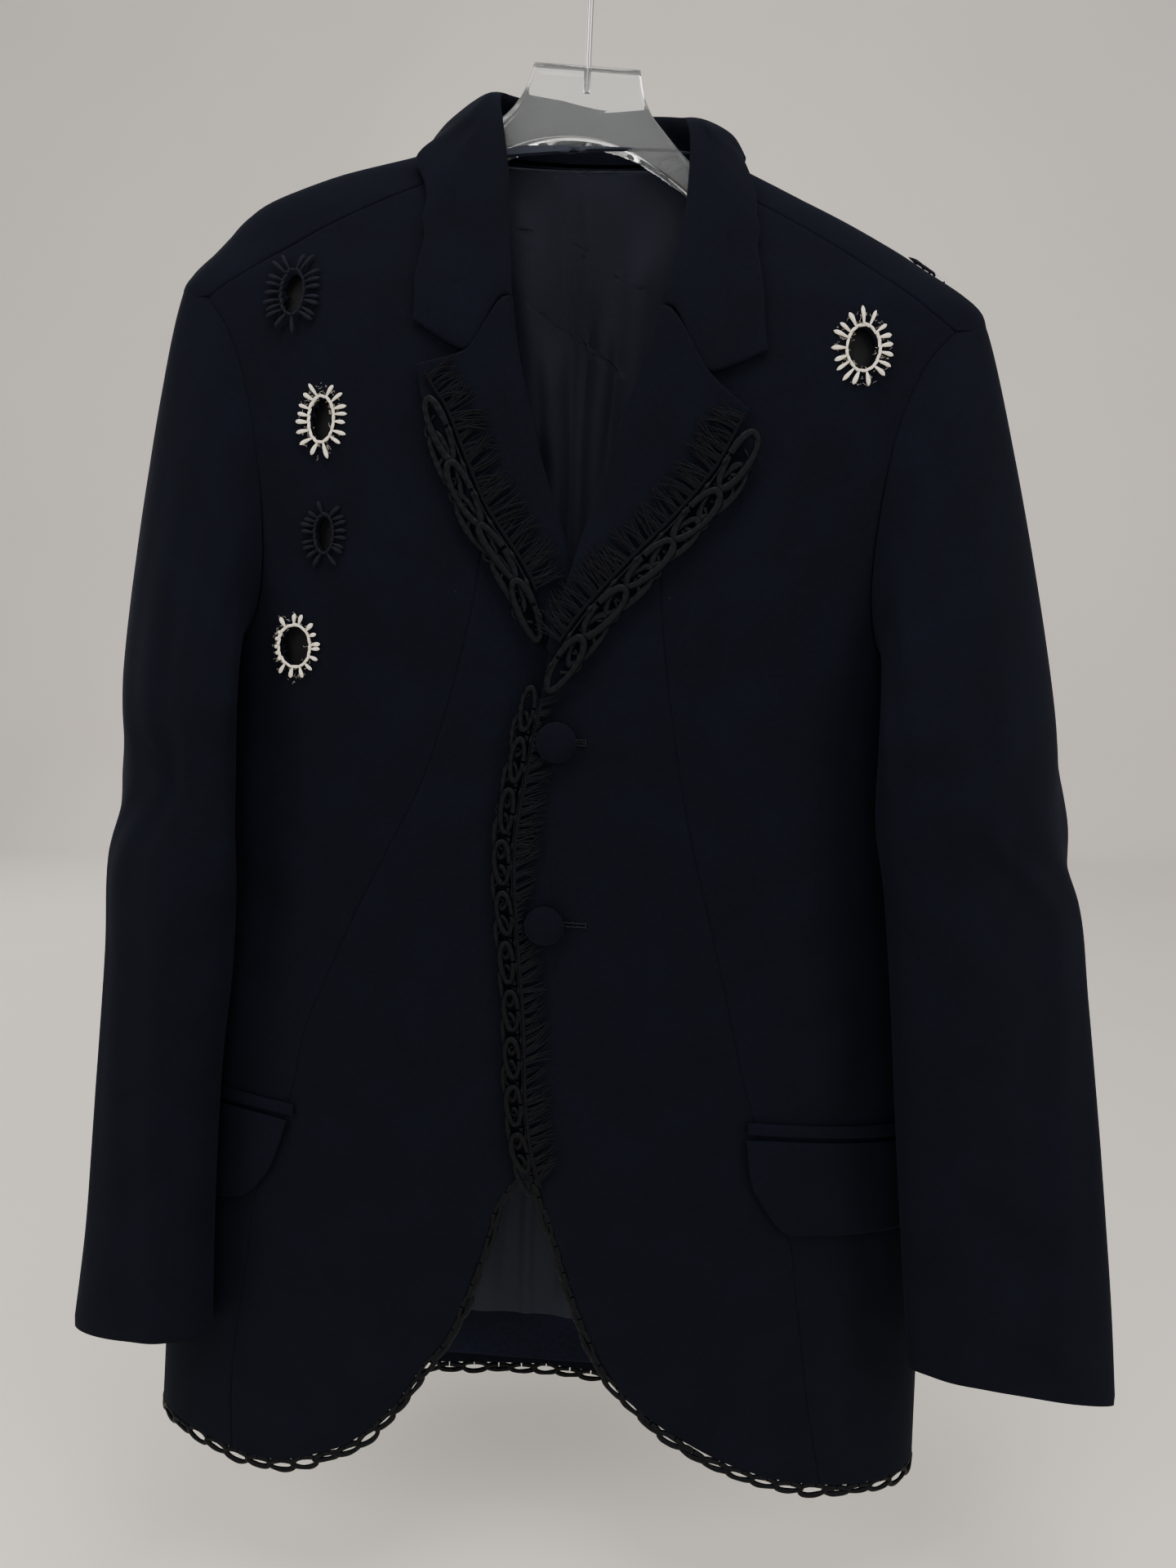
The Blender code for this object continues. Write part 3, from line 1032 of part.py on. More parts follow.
def fringe(name, line, lift, length, lapped=False, sign=1, seed=1):
    """Frayed strands along a (turn, height) line, fused into a narrow strip at their roots."""
    rng = np.random.default_rng(seed)
    count = len(line) - 1
    ways = unit(np.gradient(on_body(line[:, 0], line[:, 1]), axis=0))
    edge = {}
    for out in (0.0, FRINGE_STRIP):
        place = moved_aside(line, np.full(len(line), sign * out), ways)
        edge[out] = (laid(place, lift, lapped), laid(place, lift - FRINGE_ROOT, lapped))
    verts = [point for along in (0.0, FRINGE_STRIP) for face in (0, 1) for point in edge[along][face]]
    n = len(line)
    made = []
    for i in range(count):
        a, b, c, d = i, i + n, i + 2 * n, i + 3 * n
        made += [(a, a + 1, b + 1), (a, b + 1, b)]
        made += [(a, c, c + 1), (a, c + 1, a + 1)]
        made += [(b, b + 1, d + 1), (b, d + 1, d)]
    made += [(0, n, 3 * n), (0, 3 * n, 2 * n), (n - 1, 4 * n - 1, 2 * n - 1), (n - 1, 3 * n - 1, 4 * n - 1)]
    sway = np.convolve(rng.uniform(-1, 1, count + 6), np.ones(4) / 4, "same")[3:-3]
    reach = np.convolve(rng.uniform(-1, 1, count + 2), np.ones(2) / 2, "same")[1:-1]
    for i in range(count):
        base = (i + 2 * n, i + 1 + 2 * n, i + 1 + 3 * n, i + 3 * n)
        middle = 0.5 * (line[i] + line[i + 1])[None]
        way = unit(on_body(line[i + 1, 0], line[i + 1, 1]) - on_body(line[i, 0], line[i, 1]))[None]
        long = min(length * (1 + 0.14 * reach[i]), room_to_button(middle[0]) - FRINGE_STRIP)
        start = len(verts)
        for share, half in ((0.5, 0.0011), (1.0, 0.0006)):
            out = FRINGE_STRIP + long * share
            place = moved_aside(middle, [sign * out], way)[0]
            side = way[0] * long * share ** 1.5 * 0.30 * sway[i]
            top = laid(place[None], lift + 0.0004 * share, lapped)[0] + side
            low = laid(place[None], lift - FRINGE_ROOT * (1 - 0.45 * share), lapped)[0] + side
            if share < 1:
                wide = way[0] * half
                verts += [top - wide, top + wide, low + wide, low - wide]
            else:
                verts.append((top + low) / 2)
        for k in range(4):
            j = (k + 1) % 4
            made += [(base[k], start + k, start + j), (base[k], start + j, base[j])]
            made += [(start + k, start + 4, start + j)]
    return add_mesh(name, np.array(verts), outward(verts, made), "fringe")


def room_to_button(place):
    """How far a (turn, height) place is from the rim of the nearest button."""
    point = on_body(place[0], place[1])
    near = [math.dist(point[[0, 2]], button) for button in BUTTONS.values()]
    return max(0.0038, min(near) - BUTTON_RADIUS - 0.0008)


def add_trims(lines):
    """Looped trim at the lapels, the front edge and all round the hem, and the fringe."""
    for side, sign in (("left", -1), ("right", 1)):
        lapped = side == "right"
        hem = lines[side, "hem"]
        looped_trim("hem_trim_" + side, hem, HEM_TRIM, inner=EDGE_GAP, lapped=lapped, sign=-sign)
        trim_line = SIDES[side]["trim_line"]
        line = even_line(from_front(trim_line), LAPEL_TRIM["pitch"])
        lift = LAPEL_LIFT[0] + TRIM_WALL + LAPEL_TRIM_GAP
        looped_trim("lapel_trim_" + side, line, LAPEL_TRIM, lift=lift, lapped=lapped, crests=2, sign=sign)
        line = even_line(from_front(SIDES[side]["fringe_line"]), FRINGE_PITCH)
        lift = LAPEL_LIFT[0] + FRINGE_GAP + FRINGE_ROOT
        fringe("lapel_fringe_" + side, line, lift, LAPEL_FRINGE, lapped, -sign, seed=3 + sign)
    front = lines["right", "front_edge"]
    looped_trim("front_trim", front, FRONT_TRIM, inner=EDGE_GAP, lapped=True, crests=2, sign=-1)
    line = even_line(front, FRINGE_PITCH)
    line = moved_aside(line, np.full(len(line), 0.0008))
    fringe("front_fringe", line, FRINGE_ROOT + 0.0006, FRONT_FRINGE, True, 1, seed=9)
    back = np.vstack([lines["left", "back_hem"] + (4, 0), lines["right", "back_hem"][::-1][1:]])
    looped_trim("hem_trim_back", back, HEM_TRIM, inner=EDGE_GAP, sign=1)


def add_pockets():
    """Welts and flaps, from the points of the fronts under them."""
    for side in ("left", "right"):
        pocket = pocket_lines(side)
        for part, inner, wall, rise in (("welt", [], WELT_WALL, WELT_LIFT),
                                        ("flap", pocket["inner"], FLAP_WALL, FLAP_LIFT)):
            plane = to_plane(shrunk(pocket[part], SEAM_GAP / 2))
            verts, faces = triangles(plane, [], to_plane(inner) if len(inner) else [])
            place = from_plane(verts)
            lift = rise + wall
            points, made = closed_wall(laid(place, lift), laid(place, lift - wall), faces)
            add_mesh("pocket_" + part + "_" + side, points, made, "wool")


def add_buttons():
    """Domed buttons that stand on the right front."""
    for name, place in BUTTONS.items():
        place = from_front([place])
        centre = laid(place, BUTTON_LIFT, True)[0]
        out = laid_normal(place)[0]
        side = unit(np.cross(out, (0, 0, 1)))
        up = np.cross(side, out)
        verts, made = [], []
        rings = [(BUTTON_SHANK[0], -BUTTON_SHANK[1]), (BUTTON_SHANK[0], 0.0), (0.90, 0.0)] + BUTTON_PROFILE
        for size, height in rings:
            for i in range(BUTTON_SIDES):
                angle = i * 2 * math.pi / BUTTON_SIDES
                round_way = side * math.cos(angle) + up * math.sin(angle)
                verts.append(centre + round_way * BUTTON_RADIUS * size + out * height)
        verts += [centre + out * BUTTON_CROWN, centre - out * BUTTON_SHANK[1]]
        top, low = len(verts) - 2, len(verts) - 1
        for k in range(len(rings) - 1):
            for i in range(BUTTON_SIDES):
                j = (i + 1) % BUTTON_SIDES
                a, b = k * BUTTON_SIDES + i, k * BUTTON_SIDES + j
                made += [(a, b, b + BUTTON_SIDES), (a, b + BUTTON_SIDES, a + BUTTON_SIDES)]
        last = (len(rings) - 1) * BUTTON_SIDES
        for i in range(BUTTON_SIDES):
            j = (i + 1) % BUTTON_SIDES
            made += [(last + i, last + j, top), (j, i, low)]
        add_mesh(name, np.array(verts), outward(np.array(verts) - centre, made), "wool")


def add_eyelets():
    """A star of thick stitches round each cut eyelet."""
    for name, row in EYELETS.items():
        size = dict(zip(EYELET_COLUMNS, row))
        back = bool(size["back"])
        spikes = size["spikes"]
        angle = (np.arange(2 * spikes) + 0.5) * math.pi / spikes
        deep = np.where(np.arange(2 * spikes) % 2 == 0, 1.0, EYELET_VALLEY)
        uneven = 1 + 0.07 * np.sin(angle * 5 + size["x"] * 90)
        star = []
        for a, d, u in zip(angle, deep, uneven):
            reach_x = size["hole_x"] + (size["reach_x"] * u - size["hole_x"]) * d
            reach_z = size["hole_z"] + (size["reach_z"] * u - size["hole_z"]) * d
            star.append((size["x"] + reach_x * math.cos(a), size["height"] + reach_z * math.sin(a)))
        star = from_front(star, back)
        half = (size["hole_x"] - EYELET_LIP, size["hole_z"] - EYELET_LIP)
        hole = oval(size["x"], size["height"], half[0], half[1], 12, back)
        verts, faces = triangles(to_plane(star), [to_plane(hole)], [])
        place = from_plane(verts)
        lift = EYELET_LIFT + EYELET_WALL
        points, made = closed_wall(laid(place, lift), laid(place, lift - EYELET_WALL), faces)
        add_mesh(name, points, made, "navy_yarn" if name in NAVY_EYELETS else "cream_yarn")


def fold_depth(place):
    """How far the lining's folds stand off the back towards the front."""
    x = on_body(place[:, 0], place[:, 1])[:, 0]
    z = place[:, 1]
    total = 0 * x
    for top_x, top_z, low_x, low_z, half_width, depth in LINING_FOLDS:
        share = (top_z - z) / (top_z - low_z)
        centre = top_x + (low_x - top_x) * share
        near = np.clip(1 - np.abs(x - centre) / half_width, 0, 1)
        fade = np.clip((share + 0.15) / 0.25, 0, 1) * np.clip((1.15 - share) / 0.25, 0, 1)
        total = total + depth * near ** 1.2 * fade
    return -total


def add_linings(lines):
    """The back lining with its folds, the facing of the back hem and the front linings."""
    right = from_front(LINING_TOP, True)
    left = from_front(np.array(LINING_TOP) * (-1, 1), True) + (4, 0)
    low = np.array([(t, LINING_HEM) for t in np.linspace(LINING_TURN, 4 - LINING_TURN, 10)])
    outline = np.vstack([low, left[1:][::-1], right])
    folds = []
    for top_x, top_z, low_x, low_z, half_width, depth in LINING_FOLDS:
        for share in np.linspace(-0.08, 1.08, max(4, round((top_z - low_z) / 0.05))):
            z = top_z + (low_z - top_z) * share
            for shift in (-1, 0, 1):
                x = top_x + (low_x - top_x) * share + shift * half_width
                if z < -0.046 and z > LINING_HEM + 0.008:
                    folds.append(turn_row(x, z))
    cut_panel("back_lining", outline, LINING_STEP, extra=[np.array(folds)], lift=-LINING_DEPTH,
              wall=LINING, finish="lining", shape=fold_depth)
    top = [(t, LINING_HEM - 0.0006) for t in np.linspace(2.62, 1.38, 9)]
    base = [(t, FACING_HEM) for t in np.linspace(1.38, 2.62, 9)]
    cut_panel("back_hem_facing", np.array(base + top), (0.060, 0.060), lift=-FACING_DEPTH, wall=FACING_WALL)
    for side, sign in (("left", -1), ("right", 1)):
        outline = from_front(np.array(FRONT_LINING) * (sign, 1))
        cut_panel("front_lining_" + side, outline, (0.060, 0.080), lift=-FRONT_LINING_DEPTH, wall=LINING,
                  finish="lining")


def add_hanger():
    """The flat clear body with a bore for the screw, and the bent wire of the hook."""
    half = HANGER_TOP + HANGER_LOW + [(0.0, HANGER_ARCH)]
    outline = np.array(half + [(-x, z) for x, z in half[:-1]][::-1])[::-1]
    inset = inset_outline(outline, HANGER_BEVEL)
    deep = HANGER_WALL / 2
    loops = [(inset, -deep), (outline, -deep + HANGER_BEVEL), (outline, deep - HANGER_BEVEL), (inset, deep)]
    verts = np.vstack([np.stack([loop[:, 0], y + 0 * loop[:, 0], loop[:, 1]], axis=1) for loop, y in loops])
    n = len(outline)
    faces = triangles_kept(inset)
    made = [tuple(f) for f in faces] + [tuple(f[::-1] + 3 * n) for f in faces]
    for k in range(3):
        for i in range(n):
            j = (i + 1) % n
            made += [(k * n + i, (k + 1) * n + j, k * n + j), (k * n + i, (k + 1) * n + i, (k + 1) * n + j)]
    body = add_mesh("hanger_body", verts, outward(verts, made), "acrylic", HANGER_FRAME)

    bore_line = [(0, 0, 0.004), (0, 0, -SCREW_DEPTH - 0.0008)]
    bore = add_tube("bore_cutter", bore_line, WIRE / 2 + SCREW_CLEARANCE, 12, "steel", GARMENT_FRAME)
    cut = body.modifiers.new("bore", "BOOLEAN")
    cut.operation = "DIFFERENCE"
    cut.object = bore
    bore.hide_render = True
    bore.display_type = "WIRE"

    centre = HOOK_DROP + WIRE / 2 - HOOK_RADIUS
    shift = -math.tan(GARMENT_TILT) * (HOOK_DROP - HOOK_RADIUS)
    line = [(0, 0, -SCREW_DEPTH), (0, 0, 0.0), (0, 0, HOOK_SHANK), (shift * 0.9, 0, HOOK_SHANK + 0.010)]
    for degrees in HOOK_ANGLES:
        angle = math.radians(degrees)
        line.append((shift - HOOK_RADIUS * math.cos(angle), 0, centre + HOOK_RADIUS * math.sin(angle)))
    add_tube("hook", line, WIRE / 2, 8, "steel", GARMENT_FRAME)


def add_tube(name, line, radius, sides, finish, frame):
    """A round bar along a line in the plane of the hanger."""
    line = np.array(line, float)
    along = unit(np.gradient(line, axis=0))
    flat = np.cross(along, (0, 1, 0))
    verts, made = [], []
    for point, way in zip(line, flat):
        for i in range(sides):
            angle = i * 2 * math.pi / sides
            verts.append(point + radius * (way * math.cos(angle) + np.array((0, 1, 0)) * math.sin(angle)))
    verts += [line[0], line[-1]]
    count = len(line)
    for k in range(count - 1):
        for i in range(sides):
            j = (i + 1) % sides
            a, b = k * sides + i, k * sides + j
            made += [(a, b, b + sides), (a, b + sides, a + sides)]
    for i in range(sides):
        j = (i + 1) % sides
        last = (count - 1) * sides
        made += [(j, i, len(verts) - 2), (last + i, last + j, len(verts) - 1)]
    verts = np.array(verts)
    return add_mesh(name, verts, outward(verts, made), finish, frame)


def outward(verts, faces):
    """The faces, turned over if the closed shape is inside out."""
    verts = np.asarray(verts, float)
    faces = np.array(faces)
    a, b, c = verts[faces[:, 0]], verts[faces[:, 1]], verts[faces[:, 2]]
    return faces if np.sum(np.cross(a, b) * c) > 0 else faces[:, ::-1]


def triangles_kept(outline):
    """Triangles of an outline by the numbers of its own corners."""
    verts, faces = triangles(outline, [], [])
    index = [int(np.argmin(np.linalg.norm(outline - v, axis=1))) for v in verts]
    return np.array([[index[i] for i in f] for f in faces])


def inset_outline(outline, distance):
    """A flat outline with every edge moved in."""
    around = np.roll(outline, -1, axis=0)
    turned = np.sum(outline[:, 0] * around[:, 1] - around[:, 0] * outline[:, 1]) > 0
    before, after = unit(outline - np.roll(outline, 1, axis=0)), unit(around - outline)
    square = np.array([[0, 1], [-1, 0]]) * (1 if turned else -1)
    first, second = before @ square, after @ square
    return outline + (first + second) / (1 + np.sum(first * second, axis=1, keepdims=True)) * distance


SIDES = {
    "left": {
        "neck_stations": {"princess": 4, "shoulder": 8},
        "front_edge": FRONT_EDGE_LEFT, "cutaway": CUTAWAY_LEFT,
        "princess": PRINCESS_LEFT, "princess_low": PRINCESS_LEFT_LOW,
        "welt": WELT_LEFT, "flap": FLAP_LEFT, "trim_line": TRIM_LINE_LEFT, "fringe_line": FRINGE_LINE_LEFT,
    },
    "right": {
        "neck_stations": {"princess": 28, "shoulder": 24},
        "front_edge": FRONT_EDGE_RIGHT, "cutaway": CUTAWAY_RIGHT,
        "princess": PRINCESS_RIGHT, "princess_low": PRINCESS_RIGHT_LOW,
        "welt": WELT_RIGHT, "flap": FLAP_RIGHT,
        "trim_line": TRIM_LINE_RIGHT, "fringe_line": FRINGE_LINE_RIGHT,
    },
}
GARMENT_FRAME = Matrix.Translation((0, 0, -HOOK_DROP)) @ Matrix.Rotation(GARMENT_TILT, 4, "Y")
HANGER_FRAME = Matrix.Translation((0, 0, -HOOK_DROP)) @ Matrix.Rotation(HANGER_TILT, 4, "Y")

clear_scene()
cut = cut_lines()
add_body(cut)
for sleeve_side, sleeve_sign in (("left", -1), ("right", 1)):
    add_sleeve(sleeve_side, sleeve_sign, cut)
    add_lapel(sleeve_side, cut)
add_collar(cut)
add_trims(cut)
add_pockets()
add_buttons()
add_eyelets()
add_linings(cut)
add_hanger()
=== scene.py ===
"""A wool blazer with looped cord trim on a clear hanger, finished for its picture.

Metres, +Z up, the front faces -Y, and the rail carries the hook at the origin.
Left and right are those of a viewer who faces the front.
"""
import math

import bpy
import numpy as np
from mathutils import Matrix


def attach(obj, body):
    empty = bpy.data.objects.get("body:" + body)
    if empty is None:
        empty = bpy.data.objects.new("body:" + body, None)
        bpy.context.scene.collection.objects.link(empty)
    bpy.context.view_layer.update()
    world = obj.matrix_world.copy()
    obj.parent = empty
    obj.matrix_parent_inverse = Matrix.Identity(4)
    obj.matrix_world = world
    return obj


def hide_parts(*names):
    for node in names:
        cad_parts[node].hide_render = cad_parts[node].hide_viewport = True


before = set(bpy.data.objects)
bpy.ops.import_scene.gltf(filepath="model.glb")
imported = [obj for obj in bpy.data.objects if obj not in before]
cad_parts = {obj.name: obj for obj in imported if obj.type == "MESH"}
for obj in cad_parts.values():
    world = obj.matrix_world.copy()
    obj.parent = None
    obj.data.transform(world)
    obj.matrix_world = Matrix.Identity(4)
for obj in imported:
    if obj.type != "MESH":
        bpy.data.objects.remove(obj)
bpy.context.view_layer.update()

## Hanger and hook
# A clear hanger moulded in acrylic, with rounded edges, that hangs a little
# askew, and a bent hook of plated steel wire, screwed into its neck.


def metres(rows, plain=()):
    """A table's rows in metres, from millimetres, apart from its plain columns."""
    table = np.array(rows, float)
    table[:, [i not in plain for i in range(table.shape[1])]] /= 1000
    return table


HOOK_DROP = 0.100
GARMENT_TILT = math.radians(2.6)
HANGER_TILT = math.radians(5.6)
GARMENT = np.array(Matrix.Translation((0, 0, -HOOK_DROP)) @ Matrix.Rotation(GARMENT_TILT, 4, "Y"))
HANGER = np.array(Matrix.Translation((0, 0, -HOOK_DROP)) @ Matrix.Rotation(HANGER_TILT, 4, "Y"))
HANGER_TOP = metres([
    (30, 0), (33.5, -13), (39, -23), (47, -31.5), (60, -43.5), (74, -54), (88, -61), (120, -70), (150, -81),
    (177, -93.5), (190, -107)])
HANGER_LOW = metres([
    (190, -119), (177, -115), (150, -103), (120, -90), (88, -78), (60, -60), (36, -47), (18, -41.5)])
HANGER_ARCH = -0.0398
HANGER_DEPTH = 0.0140
HANGER_ROUND = 0.0022
WIRE = 0.0034
HOOK_RADIUS = 0.0205
HOOK_SHANK = 0.0430
SCREW_DEPTH = 0.0125
THREAD_PITCH = 0.0009
THREAD_DIP = 0.00032
# the thread runs out over this height above the hanger
THREAD_END = 0.0010
WIRE_SIDES = 20
BORE_PLAY = 0.0003


def unit(vectors):
    """The vectors at length one."""
    return vectors / np.maximum(np.linalg.norm(vectors, axis=-1, keepdims=True), 1e-12)


def round_line(points, at):
    """The round line through the rows (a Catmull-Rom cubic), at row numbers that may have a fraction."""
    points = np.asarray(points, float)
    ends = np.concatenate([2 * points[:1] - points[1:2], points, 2 * points[-1:] - points[-2:-1]])
    at = np.clip(np.asarray(at, float), 0, len(points) - 1)
    i = np.clip(np.floor(at).astype(int), 0, len(points) - 2)
    t = (at - i).reshape((-1,) + (1,) * (points.ndim - 1))
    a, b, c, d = ends[i], ends[i + 1], ends[i + 2], ends[i + 3]
    bent, turned = 2 * a - 5 * b + 4 * c - d, 3 * b - a - 3 * c + d
    return 0.5 * (2 * b + (c - a) * t + bent * t ** 2 + turned * t ** 3)


def fine(points, times):
    """The round line through the rows with the given number of steps between each two."""
    return round_line(points, np.linspace(0, len(points) - 1, times * (len(points) - 1) + 1))


def linear(code):
    """A colour's sRGB hex code as linear light."""
    part = np.array([int(code[i:i + 2], 16) for i in (1, 3, 5)]) / 255
    light = np.where(part <= 0.04045, part / 12.92, ((part + 0.055) / 1.055) ** 2.4)
    return (*light, 1.0)


def add_node(tree, kind, inputs=None, **settings):
    """Adds a node, sets its properties, fills or links its inputs by name or number; gives its outputs."""
    made = tree.nodes.new("ShaderNode" + kind)
    for key, value in settings.items():
        setattr(made, key, value)
    for key, value in (inputs or {}).items():
        if isinstance(value, bpy.types.NodeSocket):
            tree.links.new(value, made.inputs[key])
        else:
            made.inputs[key].default_value = value
    return made.outputs


def new_finish(name, code, sheen="#FFFFFF", **sockets):
    """A material with its shader's own sockets set: it, its node tree and the shader's inputs."""
    made = bpy.data.materials.new(name)
    made.use_nodes = True
    shader = made.node_tree.nodes["Principled BSDF"].inputs
    shader["Base Color"].default_value = linear(code)
    shader["Sheen Tint"].default_value = linear(sheen)
    for key, value in sockets.items():
        shader[key.replace("_", " ")].default_value = value
    return made, made.node_tree, shader


def add_piece(name, points, faces, finish, uv=None, place=GARMENT, sharp=50):
    """One object from points in the garment's or hanger's frame, with its place in its mesh."""
    mesh = bpy.data.meshes.new(name)
    mesh.from_pydata(points @ place[:3, :3].T + place[:3, 3], [], faces)
    mesh.update()
    if uv is not None:
        corner = np.zeros(len(mesh.loops), np.int32)
        mesh.loops.foreach_get("vertex_index", corner)
        mesh.uv_layers.new(name="cut").data.foreach_set("uv", uv[corner].ravel().astype(np.float32))
    mesh.shade_smooth()
    mesh.set_sharp_from_angle(angle=math.radians(sharp))
    mesh.materials.append(finish)
    made = bpy.data.objects.new(name, mesh)
    bpy.context.scene.collection.objects.link(made)
    return made


def lengths_along(points, axis=0):
    """The length from the start of a line, or of each line of a grid, to each of its points."""
    walked = np.cumsum(np.linalg.norm(np.diff(points, axis=axis), axis=-1), axis=axis)
    return np.concatenate([0 * np.take(walked, [0], axis), walked], axis=axis)


def coords(*values):
    """Points whose coordinates are the values, all stretched to one shape."""
    return np.stack(np.broadcast_arrays(*values), axis=-1)


def ring_quads(index):
    """The quads between neighbouring closed rings of point numbers."""
    ahead = np.roll(index, -1, axis=-1)
    return np.stack([index[..., :-1, :], ahead[..., :-1, :], ahead[..., 1:, :], index[..., 1:, :]],
                    axis=-1).reshape(-1, 4)


def swept(path, radius, sides, flat=(0, 1, 0), squash=1.0):
    """Tubes along paths: a circle of the radius about each point, square to the path, closed at both ends.

    path is (tubes, points, 3); radius is one number or (tubes, points); squash flattens it towards the
    flat direction. Returns points, faces and a map whose u goes once round and v is metres along.
    """
    path = np.asarray(path, float)
    tubes, count = path.shape[:2]
    along = unit(np.gradient(path, axis=1))
    first = unit(np.cross(along, np.broadcast_to(np.asarray(flat, float), path.shape)))
    second = np.cross(along, first) * squash
    angle = np.arange(sides) * 2 * math.pi / sides
    size = np.broadcast_to(radius, (tubes, count))[..., None, None]
    points = (path[:, :, None] + size * (first[:, :, None] * np.cos(angle)[:, None]
                                         + second[:, :, None] * np.sin(angle)[:, None]))
    index = np.arange(tubes * count * sides).reshape(tubes, count, sides)
    around = np.arange(sides) / sides
    uv = coords(around, lengths_along(path, 1)[..., None])
    faces = ring_quads(index).tolist() + index[:, 0, ::-1].tolist() + index[:, -1].tolist()
    return points.reshape(-1, 3), faces, uv.reshape(-1, 2)


def inset(outline, distance):
    """A closed flat outline with every edge moved in by the distance."""
    before, after = unit(outline - np.roll(outline, 1, axis=0)), unit(np.roll(outline, -1, axis=0) - outline)
    square = np.array([[0, 1], [-1, 0]])
    first, second = before @ square, after @ square
    return outline + (first + second) / (1 + np.sum(first * second, axis=1, keepdims=True)) * distance


# Acrylic, moulded and polished: clear as water, with bright lines where its edges bend the light
acrylic, tree, shader = new_finish("acrylic_polished", "#F6FAFB", Roughness=0.03, IOR=1.49,
                                   Transmission_Weight=0.94)
where = add_node(tree, "TexCoord")["Object"]
# slow waves of 25 mm that a moulded face keeps
waves = add_node(tree, "TexNoise", {"Vector": where, "Scale": 40.0, "Detail": 1.0})
bump = add_node(tree, "Bump", {"Height": waves["Fac"], "Strength": 0.12, "Distance": 0.001})
tree.links.new(bump["Normal"], shader["Normal"])

right_top = fine(HANGER_TOP, 6)
under = fine(np.vstack([HANGER_LOW, (0, HANGER_ARCH), (HANGER_LOW * (-1, 1))[::-1]]), 5)
outline = np.vstack([right_top, under, (right_top * (-1, 1))[::-1]])[::-1]
deep = HANGER_DEPTH / 2
rounds = [(HANGER_ROUND * (1 - math.sin(a)), -deep + HANGER_ROUND * (1 - math.cos(a)))
          for a in np.linspace(0, math.pi / 2, 5)]
loops = rounds + [(moved, -y) for moved, y in rounds[::-1]]
edges = [inset(outline, moved) for moved, y in loops]
points = np.concatenate([np.insert(edge, 1, y, axis=1) for edge, (moved, y) in zip(edges, loops)])
index = np.arange(len(points)).reshape(len(loops), -1)
ahead = np.roll(index, -1, axis=1)
quads = np.stack([index[:-1], index[1:], ahead[1:], ahead[:-1]], axis=-1).reshape(-1, 4)
hanger = add_piece("clear_hanger", points, quads.tolist() + [list(index[0]), list(index[-1][::-1])], acrylic,
                   place=HANGER, sharp=40)
bored = [(0, 0, 0.004), (0, 0, -SCREW_DEPTH - 0.0008)]
bore = add_piece("bore", *swept([bored], WIRE / 2 + BORE_PLAY, 24)[:2], acrylic)
cut = hanger.modifiers.new("bore", "BOOLEAN")
cut.object = bore
ready = bpy.context.evaluated_depsgraph_get()
hanger.data = bpy.data.meshes.new_from_object(hanger.evaluated_get(ready))
hanger.modifiers.clear()
bpy.data.objects.remove(bore, do_unlink=True)
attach(hanger, "root")
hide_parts("hanger_body")

# Nickel-plated steel wire, drawn and bent: a soft grey gleam with fine lines along it
steel, tree, shader = new_finish("nickel_plated_wire", "#B9B8B4", Metallic=1.0, Roughness=0.28)
where = add_node(tree, "UVMap", uv_map="cut")["UV"]
# drawing lines 0.3 mm apart round the wire
drawn = add_node(tree, "Mapping", {"Vector": where, "Scale": (36.0, 40.0, 1.0)})
lines = add_node(tree, "TexNoise", {"Vector": drawn["Vector"], "Scale": 1.0, "Detail": 2.0})
rough = add_node(tree, "MapRange", {"Value": lines["Fac"], "To Min": 0.2, "To Max": 0.42})
tree.links.new(rough["Result"], shader["Roughness"])

centre = HOOK_DROP + WIRE / 2 - HOOK_RADIUS
shift = -math.tan(GARMENT_TILT) * (HOOK_DROP - HOOK_RADIUS)
turns = np.radians(np.arange(-62, 223, 4))
shank = [(0, 0, z) for z in np.arange(-SCREW_DEPTH, HOOK_SHANK, 0.00015)]
arc = coords(shift - HOOK_RADIUS * np.cos(turns), 0, centre + HOOK_RADIUS * np.sin(turns))
foot, head = (0, 0, HOOK_SHANK), (shift * 0.9, 0, HOOK_SHANK + 0.010)
leaning = fine([(0, 0, HOOK_SHANK - 0.004), foot, head, arc[0]], 5)
line = np.vstack([shank, leaning[5:-1], arc])
points, faces, uv = swept([line], WIRE / 2, WIRE_SIDES)
# the screw's thread: the wire's face dips and rises once in each pitch as it winds round
ring, side = np.divmod(np.arange(len(points)), WIRE_SIDES)
wound = side / WIRE_SIDES - line[ring, 2] / THREAD_PITCH
threaded = np.clip(1 - line[ring, 2] / THREAD_END, 0, 1)
dip = THREAD_DIP * threaded * (0.5 + 0.5 * np.cos(2 * math.pi * wound))
points -= unit(points - line[ring]) * dip[:, None]
hook = add_piece("wire_hook", points, faces, steel, uv=uv)
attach(hook, "root")
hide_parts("hook")

## Lining and hem facing
# The back is lined in satin, loose enough to hang in long upright folds. A wool
# facing turns up inside the back hem, and the fronts are lined as far as they show.

